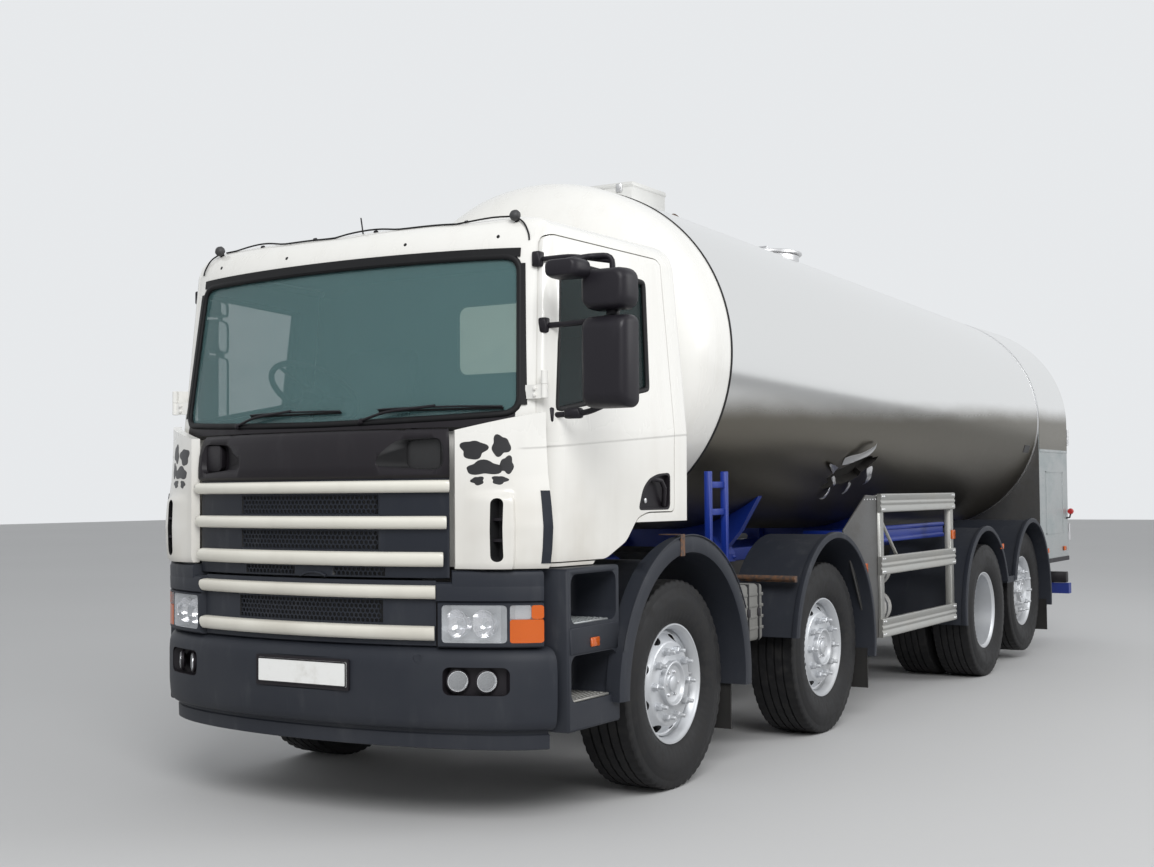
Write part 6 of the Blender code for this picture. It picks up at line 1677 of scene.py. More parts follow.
# %% Sticker patches
PATCHES = ((0.862, 1.640, 0.052, 0.040, 0.4), (0.968, 1.655, 0.034, 0.044, 1.9),
           (0.905, 1.560, 0.070, 0.030, 3.0),
           (0.992, 1.572, 0.026, 0.036, 4.2), (0.880, 1.506, 0.026, 0.018, 5.1),
           (0.966, 1.508, 0.030, 0.018, 0.9))


def patch_outline(x, z, wide, high, seed, steps=40):
    points = []
    for k in range(steps):
        turn = 2 * math.pi * k / steps
        wave = 1 + 0.14 * math.sin(3 * turn + seed) + 0.09 * math.sin(5 * turn + 2 * seed)
        points.append((x + wide * wave * math.cos(turn), z + high * wave * math.sin(turn)))
    return points


sticker_ink = Finish("sticker_ink", "white_paint", (0.012, 0.012, 0.014), 0.35)
sticker_ink.feed("Roughness", 0.30 + sticker_ink.noise(0.03) * 0.15)
patches = []
for patch in PATCHES:
    film = corner_sheet(0.0012, 0.002, 30, 30, 0.80, 1.05, 1.46, 1.72)
    patches.append(keep_within(film, front_prism(patch_outline(*patch))))
dress_pair(merged([paint(patch, sticker_ink) for patch in patches]), "sticker", "vehicle", sticker_ink,
           smooth=60)
print("corner panels made")

# %% [markdown]
# The bumper is one moulding: a rounded shelf on top, a tall face, a groove, and a lip below it. Fog
# lamps sit in rounded pockets, and the number plate stays blank.

# %% Bumper
BUMPER_OUTER = 1.163
BUMPER_WALL = 0.090
FACE_BACK = 0.006
bumper_rows = ((0.350, 0.060), (0.354, 0.052), (0.412, 0.050), (0.418, 0.058), (0.432, 0.058), (0.438, 0.028),
               (0.450, 0.014), (0.480, 0.006), (0.540, 0.001), (0.620, 0.000), (0.690, 0.000), (0.730, 0.003),
               (0.752, 0.009), (0.768, 0.019), (0.780, 0.032), (0.787, 0.048), (0.790, 0.060))
bumper = nose_panel(-BUMPER_OUTER, BUMPER_OUTER, BUMPER_HALF, BUMPER_WALL,
                    [(z, back + FACE_BACK) for z, back in bumper_rows], 96)
paint(bumper, dark_plastic)
pockets = []
for side in (-1, 1):
    outline = rounded(*sorted((side * 0.728, side * 1.002)), 0.588, 0.708, 0.030)
    pockets.append(paint(nose_patch(outline, BUMPER_HALF, -0.02, 0.058), black_plastic))
pockets.append(box((-0.263, -1.50, 0.585), (0.293, -1.440, 0.733)))
dent = turned(((0, 0.001), (0.006, 0.020), (0.010, 0.030), (0.02, 0.030)),
              nose_at(0.63, 0.752, BUMPER_HALF, 0.020), -ALONG, 20)
pockets.append(dent)
bumper = carve(bumper, pockets)
pieces = [bumper]
for side in (-1, 1):
    foot = box((side * 0.43 - 0.05, -1.36, 0.70), (side * 0.43 + 0.05, -1.10, 0.785))
    pieces.append(paint(foot, black_paint))
    for x in (0.800, 0.922):
        centre = nose_at(side * x, 0.648, BUMPER_HALF, 0.030)
        out = nose_at(side * x, 0.648, BUMPER_HALF, 0) - nose_at(side * x, 0.648, BUMPER_HALF, 0.01)
        ring = turned(((0.000, 0.001), (-0.004, 0.047), (0.008, 0.050), (0.010, 0.046), (0.006, 0.044),
                       (0.006, 0.001)), centre, out, 32)
        pieces.append(paint(ring, black_plastic))
        dish = bowl(centre + out.normalized() * 0.011, -out, 0.041, 0.020)
        glass = turned(((0.012, 0.001), (0.012, 0.043), (0.016, 0.040), (0.020, 0.025), (0.022, 0.001)),
                       centre, out, 32)
        pieces += [paint(dish, reflector), paint(glass, clear_lens)]
dress(merged(pieces), "bumper_moulding", "vehicle", None, ["front_bumper"], smooth=38)

PLATE_MIDDLE = 0.015


def plate_layer(half, low, high, corner, front, back):
    outline = rounded(PLATE_MIDDLE - half, PLATE_MIDDLE + half, low, high, corner, 2)
    return prism(outline, "y", front, back)


plate = plate_layer(0.260, 0.6035, 0.7145, 0.006, -1.4525, -1.4455)
holder = plate_layer(0.272, 0.590, 0.727, 0.008, -1.4490, -1.4395)
rim = plate_layer(0.260, 0.6035, 0.7145, 0.006, -1.4535, -1.4515)
rim = carve(rim, [plate_layer(0.254, 0.6095, 0.7085, 0.004, -1.46, -1.44)])
plate_piece = merged([paint(plate, plate_white), paint(holder, black_plastic), paint(rim, black_plastic)])
dress(plate_piece, "number_plate", "vehicle")
print("bumper and plate made")

# %% [markdown]
# ## Wheel arches
#
# A wheel arch is half an elliptical band with a thicker lip along its outer edge. The front one also
# holds the steps: a moulded block with two foot wells and metal treads.

# %% Arch bands
BODY_HALF = 1.240
FLAP_LOW = 0.200
AXLE_HIGH = TYRE_RADIUS
CAB_CLEARANCE = 0.006
UPPER_TREAD, LOWER_TREAD = 0.893, 0.560


def arch_band(centre_y, length, tall, inner_x, walls, front_z, rear_z, steps=44):
    """A band over the wheel at centre_y. `walls` is its thickness, its lip's, and the lip's width."""
    band, lip, lip_width = walls
    rings = []
    for k in range(steps + 1):
        ring = []
        for extra in (0, band, lip):
            start = -math.asin((AXLE_HIGH - front_z) / (tall + extra))
            end = math.pi + math.asin((AXLE_HIGH - rear_z) / (tall + extra))
            turn = between(start, end, k / steps)
            ring.append((centre_y - (length + extra) * math.cos(turn),
                         AXLE_HIGH + (tall + extra) * math.sin(turn)))
        (ay, az), (by, bz), (cy, cz) = ring
        x0, x1, x2 = inner_x, BODY_HALF, BODY_HALF - lip_width
        ease = min(0.010, (lip - band) / 2)
        my, mz = between(cy, ay, 0.25), between(cz, az, 0.25)
        rings.append([(x0, ay, az), (x1 - 0.004, ay, az), (x1, between(ay, cy, 0.1), between(az, cz, 0.1)),
                      (x1, my, mz), (x1 - ease, cy, cz), (x2 + ease, cy, cz),
                      (x2, between(cy, by, 0.3), between(cz, bz, 0.3)), (x2 - 0.004, by, bz), (x0, by, bz)])
    return loft(rings)


def mud_flap(y, inner_x, outer_x, top):
    """A rubber flap with shallow upright ribs."""
    points = []
    count = 24
    for k in range(count + 1):
        x = between(inner_x, outer_x, k / count)
        points.append((x, y + (0.003 if k % 2 else 0.0)))
    back = [(x, y + 0.012) for x, _ in reversed(points)]
    return prism(points + back, "z", FLAP_LOW, top)


# %% [markdown]
# A tread is a plate with rows of raised cups that grip a boot. The repeater lays the cups out in a
# grid from their numbers.

# %% Step treads
def grip_plate(x0, x1, y0, y1, top, finish, pitch=0.030):
    plate = soften(box((x0, y0, top - 0.014), (x1, y1, top - 0.003)), 0.003)
    cup = turned(((-0.004, 0.010), (0.0, 0.0095), (0.003, 0.0065), (0.003, 0.0045), (-0.003, 0.0040)),
                 (0, 0, 0), UP, 10)
    across, rows = int((x1 - x0 - 0.02) / pitch), int((y1 - y0 - 0.02) / pitch)
    maker = Repeater("tread_cups", {"Cups across": across, "Rows": rows, "Pitch": pitch})
    columns, lines, gap = (maker.number(key) for key in ("Cups across", "Rows", "Pitch"))
    row, column = maker.row_and_column(columns)
    x = (x0 + x1) / 2 + (column - (columns - 1) * 0.5) * gap
    y = (y0 + y1) / 2 + (row - (lines - 1) * 0.5) * gap
    cups = maker.grown(cup, columns * lines, (x, y, top - 0.003), finish=finish)
    return [paint(plate, finish), cups]


# %% Front arches with their steps
def front_arch():
    band = arch_band(0, 0.620, 0.645, 0.700, (0.028, 0.085, 0.090), AXLE_HIGH, 0.440)
    block = soften(box((0.900, -1.083, 0.420), (1.195, -0.634, 1.125)), 0.014, 3)
    wells = [box((0.950, -1.060, 0.545), (1.30, -0.670, 0.747)),
             box((0.950, -1.060, 0.883), (1.30, -0.670, 1.098))]
    for well in wells:
        soften(well, 0.042, 4)
        paint(well, dark_plastic)
    rib = soften(prism(((-0.86, 0.90), (-0.80, 0.90), (-0.70, 1.10), (-0.79, 1.10)), "x", 0.945, 0.985),
                 0.012)
    block = carve(paint(block, dark_plastic), wells)
    shape = carve(paint(band, dark_plastic), [cab_form(-CAB_CLEARANCE)])
    block = carve(block, [cab_form(-CAB_CLEARANCE)])
    pieces = [shape, block, paint(rib, dark_plastic)]
    pieces += grip_plate(0.958, 1.188, -1.028, -0.730, UPPER_TREAD, galvanised)
    pieces += grip_plate(0.958, 1.190, -1.028, -0.730, LOWER_TREAD, aluminium)
    frame_strip = soften(box((1.188, -1.070, 0.752), (1.2005, -0.660, 0.868)), 0.005)
    marker = box((1.198, -0.905, 0.776), (1.2075, -0.835, 0.816))
    soften(marker, 0.003)
    support = soften(box((0.955, -1.00, 0.435), (1.170, -0.76, 0.530)), 0.012)
    flap_piece = mud_flap(0.632, 0.714, 1.140, 0.50)
    tie = tube(((0.395, -0.750, 0.845), (0.925, -0.750, 0.845)), 0.018)
    turns = [math.radians(18 + 3 * k) for k in range(46)]
    ridge = [(1.236, -0.705 * math.cos(t), AXLE_HIGH + 0.730 * math.sin(t)) for t in turns]
    pieces += [paint(frame_strip, dark_plastic), paint(marker, amber_lens), paint(support, dull_sheet),
               paint(flap_piece, flap_rubber), paint(tie, black_paint),
               paint(carve(tube(ridge, 0.004, 8), [cab_form(-CAB_CLEARANCE)]), dark_plastic)]
    clamp_ = carve(box((1.120, -0.114, 1.140), (1.2425, -0.072, 1.2455)),
                   [box((1.10, -0.13, 1.10), (1.2385, -0.05, 1.2415))])
    pieces.append(paint(clamp_, rusty_steel))
    return merged(pieces)


dress_pair(front_arch(), "front_arch", "vehicle", None, ["cab_arch"], smooth=38)
print("front arches made")

# %% Rear mudguards
STAY_HEIGHT = 0.885
AXLE_2, AXLE_3, AXLE_4 = AXLES["second"][0], AXLES["drive"][0], AXLES["tag"][0]


def guard_stay(y, inner_x):
    return paint(tube(((0.395, y, STAY_HEIGHT), (inner_x + 0.05, y, STAY_HEIGHT)), 0.018), rusty_steel)


def second_guard():
    band = arch_band(AXLE_2, 0.605, 0.655, 0.800, (0.022, 0.038, 0.040), 0.620, 0.400)
    pieces = [paint(band, dark_plastic), paint(mud_flap(AXLE_2 + 0.594, 0.812, 1.190, 0.45), flap_rubber)]
    reach = 0.616 * math.sqrt(1 - ((STAY_HEIGHT - AXLE_HIGH) / 0.666) ** 2)
    pieces += [guard_stay(AXLE_2 - reach, 0.800), guard_stay(AXLE_2 + reach, 0.800)]
    pieces += [paint(box((0.86, AXLE_2 - 0.575, 0.93), (1.20, AXLE_2 - 0.535, 0.965)), rusty_steel)]
    pieces.append(paint(tube(((0.80, AXLE_2 - 0.60, 0.955), (1.215, AXLE_2 - 0.60, 0.955)), 0.014),
                        rusty_steel))
    return merged(pieces)


def rear_guards():
    walls = (0.022, 0.038, 0.040)
    bands = [arch_band(AXLE_3, 0.565, 0.615, 0.580, walls, 0.435, 0.700),
             arch_band(AXLE_4, 0.565, 0.650, 0.580, walls, 0.700, 0.420)]
    middle = (AXLE_3 + AXLE_4) / 2
    half = (AXLE_4 - AXLE_3) / 2 - 0.565 + 0.011
    bands.append(box((0.592, middle - half, 0.6875), (1.228, middle + half, 0.7375)))
    pieces = [paint(band, dark_plastic) for band in bands]
    pieces.append(paint(mud_flap(AXLE_4 + 0.554, 0.592, 1.200, 0.47), flap_rubber))
    for centre, tall, end in ((AXLE_3, 0.626, -1), (AXLE_4, 0.661, 1)):
        reach = 0.576 * math.sqrt(1 - ((STAY_HEIGHT - AXLE_HIGH) / tall) ** 2)
        pieces.append(guard_stay(centre + end * reach, 0.580))
    for y, z in ((AXLE_3 + 0.40, 0.99), (AXLE_4 + 0.50, 0.90)):
        pieces.append(paint(box((1.230, y - 0.035, z - 0.020), (1.2395, y + 0.035, z + 0.020)), amber_lens))
    return merged(pieces)


dress_pair(second_guard(), "second_guard", "vehicle", None, ["mudguard_second"], smooth=38)
dress_pair(rear_guards(), "rear_guards", "vehicle", None, ["mudguard_rear"], smooth=38)
print("mudguards made")

# %% [markdown]
# ## Wheels
#
# A tyre is one turned section. Its tread has grooves that run round it, cut as rows that dip, and
# short cuts across its shoulders, which a dip in every third column gives.

# %% Tyre
TRACK_HALF = 1.013
TYRE_WIDE = 0.300
RIM_RADIUS = 0.293
TYRE_STEPS = 168
# Columns: place across as a share of the half width, height from rim to tread
SIDEWALL = ((0.70, -0.03), (0.77, 0.00), (0.80, 0.03), (0.83, 0.05), (0.93, 0.20), (0.985, 0.38),
            (1.00, 0.50),
            (0.995, 0.62), (0.985, 0.635), (0.985, 0.66), (0.975, 0.68), (0.955, 0.78), (0.945, 0.79),
            (0.940, 0.82), (0.925, 0.93), (0.905, 0.965))
GROOVES = (0.50, 0.165)
GROOVE_DEPTH = 0.013
GROOVE_HALF = 0.035


def tyre_profile(centre):
    def row(across, rise):
        return (centre + across * TYRE_WIDE / 2, between(RIM_RADIUS, TYRE_RADIUS, rise))

    rows = [row(*pair) for pair in SIDEWALL] + [row(0.870, 0.990)]
    floor_share = 1 - GROOVE_DEPTH / (TYRE_RADIUS - RIM_RADIUS)
    crown = []
    for groove in (*GROOVES, *[-g for g in reversed(GROOVES)]):
        crown += [row(groove + GROOVE_HALF, 1.0), row(groove + GROOVE_HALF * 0.7, floor_share),
                  row(groove - GROOVE_HALF * 0.7, floor_share), row(groove - GROOVE_HALF, 1.0)]
    rows += crown + [row(-0.870, 0.990)] + [row(-a, r) for a, r in reversed(SIDEWALL)]
    return rows


def tyre(centre, y, z):
    rows = tyre_profile(centre)
    shoulders = {i for i, (x, _) in enumerate(rows) if 0.86 < abs(x - centre) / (TYRE_WIDE / 2) < 0.93}
    ribs = {i for i, (x, r) in enumerate(rows)
            if abs(x - centre) / (TYRE_WIDE / 2) < 0.54 and r > TYRE_RADIUS - 0.001}

    def cuts(row, column):
        if row in shoulders:
            return -0.007 if column % 3 == 0 else 0
        if row in ribs:
            return -0.0025 if column % 4 == 1 else 0
        return 0

    return paint(turned(rows, (0, y, z), ACROSS, TYRE_STEPS, meet=True, shape=cuts), tyre_rubber)


# %% [markdown]
# The steered wheels have a domed disc with nuts in a ring and hand holes near the rim. The disc is
# turned first, then the holes are cut through it. Nuts are placed by the repeater.

# %% Rim and disc
NUT_RING = 0.1675
NUTS = 10
HAND_HOLES = 8


def nut():
    hexagon = turned(((0.0, 0.0185), (0.002, 0.0195), (0.022, 0.0195), (0.0255, 0.0165), (0.0255, 0.011)),
                     (0, 0, 0), ACROSS, 6)
    washer = turned(((-0.004, 0.021), (0.001, 0.021), (0.001, 0.016)), (0, 0, 0), ACROSS, 12)
    stud = turned(((0.010, 0.0105), (0.050, 0.0105), (0.053, 0.0085)), (0, 0, 0), ACROSS, 10)
    return merged([hexagon, washer, stud])


def nut_ring(x, y, z, finish, radius=NUT_RING):
    maker = Repeater("wheel_nuts", {"Nuts": NUTS, "Ring radius": radius})
    turn = maker.index * 2 * math.pi / maker.number("Nuts")
    height = maker.number("Ring radius") * turn.maths("SINE", turn)
    along = maker.number("Ring radius") * turn.maths("COSINE", turn)
    return maker.grown(nut(), maker.number("Nuts"), (x, y + along, z + height), (turn, 0.0, 0.0), finish)


def hand_holes(x0, x1, y, z, ring, size, finish):
    holes = []
    for k in range(HAND_HOLES):
        turn = 2 * math.pi * (k + 0.5) / HAND_HOLES
        out = Vector((0, math.cos(turn), math.sin(turn)))
        side = ACROSS.cross(out)
        outline = []
        for i in range(20):
            t = 2 * math.pi * i / 20
            rise = math.sin(t) * size * (0.55 if math.sin(t) > 0 else 1.0)
            outline.append(Vector((0, y, z)) + out * (ring + rise * 0.62) + side * size * math.cos(t))
        holes.append(paint(loft([[p + ACROSS * x0 for p in outline], [p + ACROSS * x1 for p in outline]]),
                           finish))
    return holes


def rim_rows(centre, out_to):
    """The rim's visible inner face, from its outer flange down to the well and back."""
    flange = centre + 0.76 * TYRE_WIDE / 2
    return [(flange - 0.012, 0.2885), (flange + 0.002, 0.2945), (flange + 0.006, 0.2930),
            (flange + 0.006, 0.2860), (flange - 0.004, 0.2790), (flange - 0.012, 0.2700), (out_to, 0.2620)]


def rim_back_rows(centre, well_x):
    inner = centre - 0.76 * TYRE_WIDE / 2
    return [(well_x, 0.256), (inner + 0.012, 0.262), (inner + 0.002, 0.272), (inner - 0.006, 0.286),
            (inner - 0.006, 0.2945), (inner + 0.012, 0.2885), (centre, 0.2700)]


def single_wheel(y, z, x_in=0.990):
    disc = [(x_in, 0.088), (1.030, 0.088), (1.034, 0.092), (1.052, 0.250), (1.052, 0.256)]
    face = [(1.085, 0.2570), (1.074, 0.2520), (1.071, 0.2440), (1.078, 0.2340), (1.108, 0.2100),
            (1.114, 0.2040), (1.115, 0.1980), (1.115, 0.1200), (1.117, 0.1170)]
    steel = turned(disc + face + [(1.117, 0.100), (x_in, 0.100)], (0, y, z), ACROSS, 96, meet=True)
    # The hand holes' walls are painted near black: painted shade in the holes.
    steel = carve(paint(steel, silver_paint), hand_holes(1.00, 1.15, y, z, 0.235, 0.035, grille_black))
    ring = turned(rim_rows(TRACK_HALF, 1.080) + rim_back_rows(TRACK_HALF, 1.050), (0, y, z), ACROSS, 96,
                  meet=True)
    hub = turned(((1.00, 0.112), (1.136, 0.112), (1.142, 0.1095), (1.144, 0.104), (1.142, 0.0985),
                  (1.128, 0.090), (1.121, 0.070), (1.120, 0.046),
                  (1.124, 0.040), (1.134, 0.038), (1.137, 0.034), (1.138, 0.001), (1.02, 0.001)), (0, y, z),
                  ACROSS, 64)
    bolts = []
    for k in range(6):
        turn = math.radians(60 * k)
        place = (1.126, y + 0.062 * math.cos(turn), z + 0.062 * math.sin(turn))
        bolts.append(paint(turned(((-0.008, 0.008), (0.004, 0.008), (0.006, 0.006)), place, ACROSS, 6),
                           bright_steel))
    valve = tube(((1.075, y + 0.235, z + 0.02), (1.088, y + 0.245, z + 0.022), (1.108, y + 0.248, z + 0.022)),
                 0.004, 8)
    return [tyre(TRACK_HALF, y, z), steel, paint(ring, silver_paint), paint(hub, silver_paint), *bolts,
            nut_ring(1.119, y, z, silver_paint), paint(valve, bright_steel)]


def twin_wheels(y, z):
    outer, inner = 1.076, 0.741
    disc = [(0.880, 0.090), (0.899, 0.092), (0.899, 0.256), (0.935, 0.256), (0.940, 0.240), (0.936, 0.215),
            (0.935, 0.205), (0.935, 0.120), (0.935, 0.105), (0.880, 0.105)]
    steel = turned(disc, (0, y, z), ACROSS, 96, meet=True)
    # The hand holes' walls are painted near black: painted shade in the holes.
    steel = carve(paint(steel, silver_paint), hand_holes(0.86, 0.97, y, z, 0.230, 0.034, grille_black))
    rows = rim_rows(outer, 1.080)
    wide_ring = turned(rows + [(0.930, 0.2620), (0.905, 0.2560), (0.905, 0.2700), (outer, 0.2700)],
                       (0, y, z), ACROSS, 96, meet=True)
    inner_rows = [(inner - 0.76 * TYRE_WIDE / 2 - 0.006, 0.2945),
                  (inner - 0.76 * TYRE_WIDE / 2 - 0.006, 0.280),
                  (inner - 0.10, 0.262), (0.895, 0.2560), (0.898, 0.2700), (inner, 0.2710),
                  (inner - 0.08, 0.2860)]
    inner_ring = turned(inner_rows, (0, y, z), ACROSS, 72, meet=True)
    hub = turned(((0.88, 0.112), (1.030, 0.112), (1.046, 0.106), (1.052, 0.094), (1.054, 0.080),
                  (1.056, 0.001), (0.90, 0.001)),
                 (0, y, z), ACROSS, 64)
    bolts = []
    for k in range(8):
        turn = math.radians(45 * k)
        place = (1.053, y + 0.088 * math.cos(turn), z + 0.088 * math.sin(turn))
        bolts.append(paint(turned(((-0.008, 0.008), (0.005, 0.008), (0.007, 0.006)), place, ACROSS, 6),
                           bright_steel))
    return [tyre(outer, y, z), tyre(inner, y, z), steel, paint(wide_ring, silver_paint),
            paint(inner_ring, silver_paint),
            paint(hub, engine_paint), *bolts, nut_ring(0.939, y, z, silver_paint)]


for axle, (y, z) in AXLES.items():
    parts = twin_wheels(y, z) if axle == "drive" else single_wheel(y, z)
    wheels = dress_pair(merged(parts), f"wheel_{axle}_built", f"turning_{axle}", None, [f"wheel_{axle}"],
                        smooth=38)
    print(f"{axle} wheels:", len(wheels[0].data.polygons), "faces each")

# %% [markdown]
# ## On the doors and the roof
#
# Each door carries a tall mirror, a wide-angle one over it and a small one that looks down at the
# kerb, all on bent tubes. A housing is a rounded block whose front bulges a little. The far set is
# folded back against its door: it is made again, swung about its foot, and turned over.

# %% Mirrors
MIRROR_X = 1.405


def housing(x0, x1, z0, z1, y_front, y_back, corner, bulge):
    """A hollow-looking mirror head: rings in front view that shrink towards its front."""
    rings = []
    middle_x, middle_z = (x0 + x1) / 2, (z0 + z1) / 2
    outline = rounded(x0, x1, z0, z1, corner, 5)
    shares = ((0.00, 0.70), (0.02, 0.78), (0.12, 0.90), (0.35, 0.975), (0.65, 1.0), (0.93, 1.0), (1.0, 0.985))
    for part, size in shares:
        y = between(y_front, y_back, part)
        size = 1 - (1 - size) * bulge
        rings.append([(middle_x + (x - middle_x) * size, y, middle_z + (z - middle_z) * size)
                      for x, z in outline])
    return loft(rings)


def mirror_head(x0, x1, z0, z1, y_front, y_back, corner, bulge=1.0):
    head = paint(housing(x0, x1, z0, z1, y_front, y_back, corner, bulge), mirror_plastic)
    inner = rounded(x0 + 0.008, x1 - 0.008, z0 + 0.008, z1 - 0.008, corner * 0.8, 4)
    head = carve(head, [paint(prism(inner, "y", y_back - 0.012, y_back + 0.02), mirror_plastic)])
    face = rounded(x0 + 0.011, x1 - 0.011, z0 + 0.011, z1 - 0.011, corner * 0.7, 4)
    glass = paint(prism(face, "y", y_back - 0.011, y_back - 0.006), mirror_face)
    return [head, glass]


def smooth_tube(path, radius, corner=0.04, steps=10):
    """A bent tube: its path's corners are rounded first."""
    points = [Vector(p) for p in path]
    made = [points[0]]
    for before, here, after in zip(points, points[1:], points[2:]):
        start = here + (before - here).normalized() * min(corner, (before - here).length * 0.45)
        end = here + (after - here).normalized() * min(corner, (after - here).length * 0.45)
        made += [start.lerp(here, t).lerp(here.lerp(end, t), t) for t in (0, 0.25, 0.5, 0.75, 1)]
    return tube(made + [points[-1]], radius, steps)


def door_mirrors(kerb_y=-1.260, kerb_z=2.360):
    x0, x1 = MIRROR_X - 0.115, MIRROR_X + 0.115
    pieces = mirror_head(x0, x1, 1.810, 2.205, -1.140, -1.020, 0.034)
    pieces += mirror_head(x0, x1, 2.228, 2.405, -1.140, -1.020, 0.050)
    pieces += mirror_head(1.185, 1.355, kerb_z, kerb_z + 0.080, kerb_y, kerb_y + 0.120, 0.030)
    y = -1.040
    post = ((MIRROR_X, y, 2.15), (MIRROR_X, y, 2.466), (1.30, (y + kerb_y) / 2 + 0.08, 2.466),
            (1.27, kerb_y + 0.050, kerb_z + 0.070))
    arms = ((post, 0.013),
            (((1.055, y, 2.185), (1.20, y, 2.185), (MIRROR_X, y, 2.200)), 0.013),
            (((1.085, y, 1.790), (1.27, y, 1.795), (MIRROR_X, y, 1.840)), 0.013),
            (((1.02, y, 2.480), (1.20, y, 2.480), (MIRROR_X, y, 2.440)), 0.011))
    pieces += [paint(smooth_tube(path, radius), mirror_plastic) for path, radius in arms]
    for z, x in ((2.185, 1.062), (1.790, 1.092), (2.480, 1.030)):
        foot = soften(box((x - 0.02, y - 0.030, z - 0.034), (x + 0.022, y + 0.030, z + 0.034)), 0.008)
        pieces.append(paint(foot, mirror_plastic))
    clamp_block = soften(box((1.165, y - 0.022, 1.772), (1.245, y + 0.022, 1.818)), 0.010)
    neck = box((MIRROR_X - 0.025, y - 0.02, 2.195), (MIRROR_X + 0.025, y + 0.02, 2.24))
    soften(neck, 0.008)
    pieces += [paint(clamp_block, mirror_plastic), paint(neck, mirror_plastic)]
    return merged(pieces)


MIRROR_FOOT = Vector((1.07, -1.08, 0))
FOLD_TURN = math.radians(60)
FOLD_SHIFT = Vector((0.12, 0.17, 0))
dress(door_mirrors(), "mirrors_left", "door_left", None, ["door_mirror_left"], smooth=50)
folded = door_mirrors(-1.100, 2.412)
swing = Matrix.Translation(MIRROR_FOOT + FOLD_SHIFT) @ Matrix.Rotation(FOLD_TURN, 4, "Z")
folded.data.transform(swing @ Matrix.Translation(-MIRROR_FOOT))
dress(flipped(folded), "mirrors_right", "door_right", None, ["door_mirror_right"], smooth=50)
bpy.data.objects.remove(folded)
print("mirrors made")

# %% [markdown]
# The roof keeps the plugs and clips of a light bar that was taken off: dark rubber plugs, two small
# marker lamps, a stub, a short aerial and a loose cable that lies along the roof's front edge.

# %% Roof fittings
def roof_front(x, share):
    """A point on the roof's front edge. The share runs from its face to its top."""
    z = CAB_FLOOR + (CAB_ROOF - CAB_FLOOR) * between(0.915, 0.999, share)
    return on_front(x, z)


roof_pieces = []
for x in (-0.84, -0.36, 0.36, 0.84):
    plug = turned(((-0.01, 0.001), (-0.01, 0.008), (0.001, 0.0095), (0.003, 0.006), (0.003, 0.001)),
                  roof_front(x, 0.20), -ALONG + UP * 0.3, 14)
    roof_pieces.append(paint(plug, seal_rubber))
for x in (-0.90, 0.90):
    base = roof_front(x, 0.75)
    stalk = turned(((-0.01, 0.012), (0.016, 0.010), (0.018, 0.006), (0.026, 0.006)), base, UP - ALONG * 0.2,
                   16)
    lamp = turned(((0.0, 0.001), (0.0, 0.022), (0.010, 0.026), (0.024, 0.024), (0.034, 0.014),
                   (0.036, 0.001)),
                  base + UP * 0.018 - ALONG * 0.006, UP * 0.6 - ALONG, 24)
    roof_pieces += [paint(stalk, black_plastic), paint(lamp, engine_paint)]
for x, share in ((-0.62, 0.9), (-0.28, 0.95), (0.10, 0.95), (0.62, 0.92)):
    clip = turned(((-0.01, 0.001), (-0.01, 0.012), (0.004, 0.012), (0.010, 0.008), (0.010, 0.001)),
                  roof_front(x, share), UP - ALONG * 0.4, 12)
    roof_pieces.append(paint(clip, black_plastic))
base = roof_front(0.02, 0.96)
roof_pieces.append(paint(tube((base - UP * 0.01, base + UP * 0.010 - ALONG * 0.004,
                               base + UP * 0.075 - ALONG * 0.018), 0.0035, 8), black_plastic))
dress(merged(roof_pieces), "roof_fittings", "vehicle", None, smooth=50)
cable_path = []
for k in range(49):
    x = between(-0.885, 0.885, k / 48)
    point = roof_front(x, 0.86 + 0.05 * math.sin(7 * x) + 0.02 * math.sin(17 * x))
    cable_path.append(point + UP * (0.006 + 0.012 * max(math.sin(9 * x + 1), 0)))
dress(tube(cable_path, 0.0042, 8), "roof_cable", "vehicle", seal_rubber, smooth=60)
loops = []
for side in (-1, 1):
    ends = [roof_front(side * 0.905, 0.72) + UP * 0.02,
            roof_front(side * 0.955, 0.55) + UP * 0.012 - ALONG * 0.012,
            roof_front(side * 0.985, 0.25) - ALONG * 0.010, roof_front(side * 0.990, 0.02) - ALONG * 0.004]
    loops.append(smooth_tube(ends, 0.004, 0.03, 8))
dress(merged([paint(loop, seal_rubber) for loop in loops]), "cable_ends", "vehicle", seal_rubber, smooth=60)
print("roof fittings made")

# %% [markdown]
# Two wipers lie at the foot of the windscreen: a spindle, a pressed arm, and a blade that is held by
# small bows. The rubber's path follows the glass.

# %% Wipers
def wiper(x, blade_start, blade_end):
    def out(x, z, off):
        return on_front(x, z, -off)

    spindle_foot = out(x, 1.778, 0.002)
    spindle = turned(((-0.01, 0.014), (0.014, 0.014), (0.018, 0.010), (0.020, 0.001)), spindle_foot, -ALONG,
                     18)
    middle = (blade_start + blade_end) / 2
    arm = smooth_tube((out(x, 1.780, 0.016), out(between(x, middle, 0.35), 1.818, 0.026),
                       out(middle, 1.838, 0.022)), 0.0065, 0.06, 8)
    frame_bow = [out(between(blade_start, blade_end, k / 12), 1.829 + 0.004 * math.sin(math.pi * k / 12),
                     0.008 + 0.010 * math.sin(math.pi * k / 12))
                 for k in range(13)]
    blade = [out(between(blade_start, blade_end, k / 20), 1.822, -0.002) for k in range(21)]
    return [paint(spindle, black_plastic), paint(arm, black_plastic),
            paint(tube(frame_bow, 0.0045, 8), black_plastic), paint(tube(blade, 0.0055, 8), seal_rubber)]


wipers = merged(wiper(-0.52, -0.44, 0.13) + wiper(0.258, 0.34, 0.93))
dress(wipers, "wipers", "vehicle", None, smooth=50)
print("wipers made")

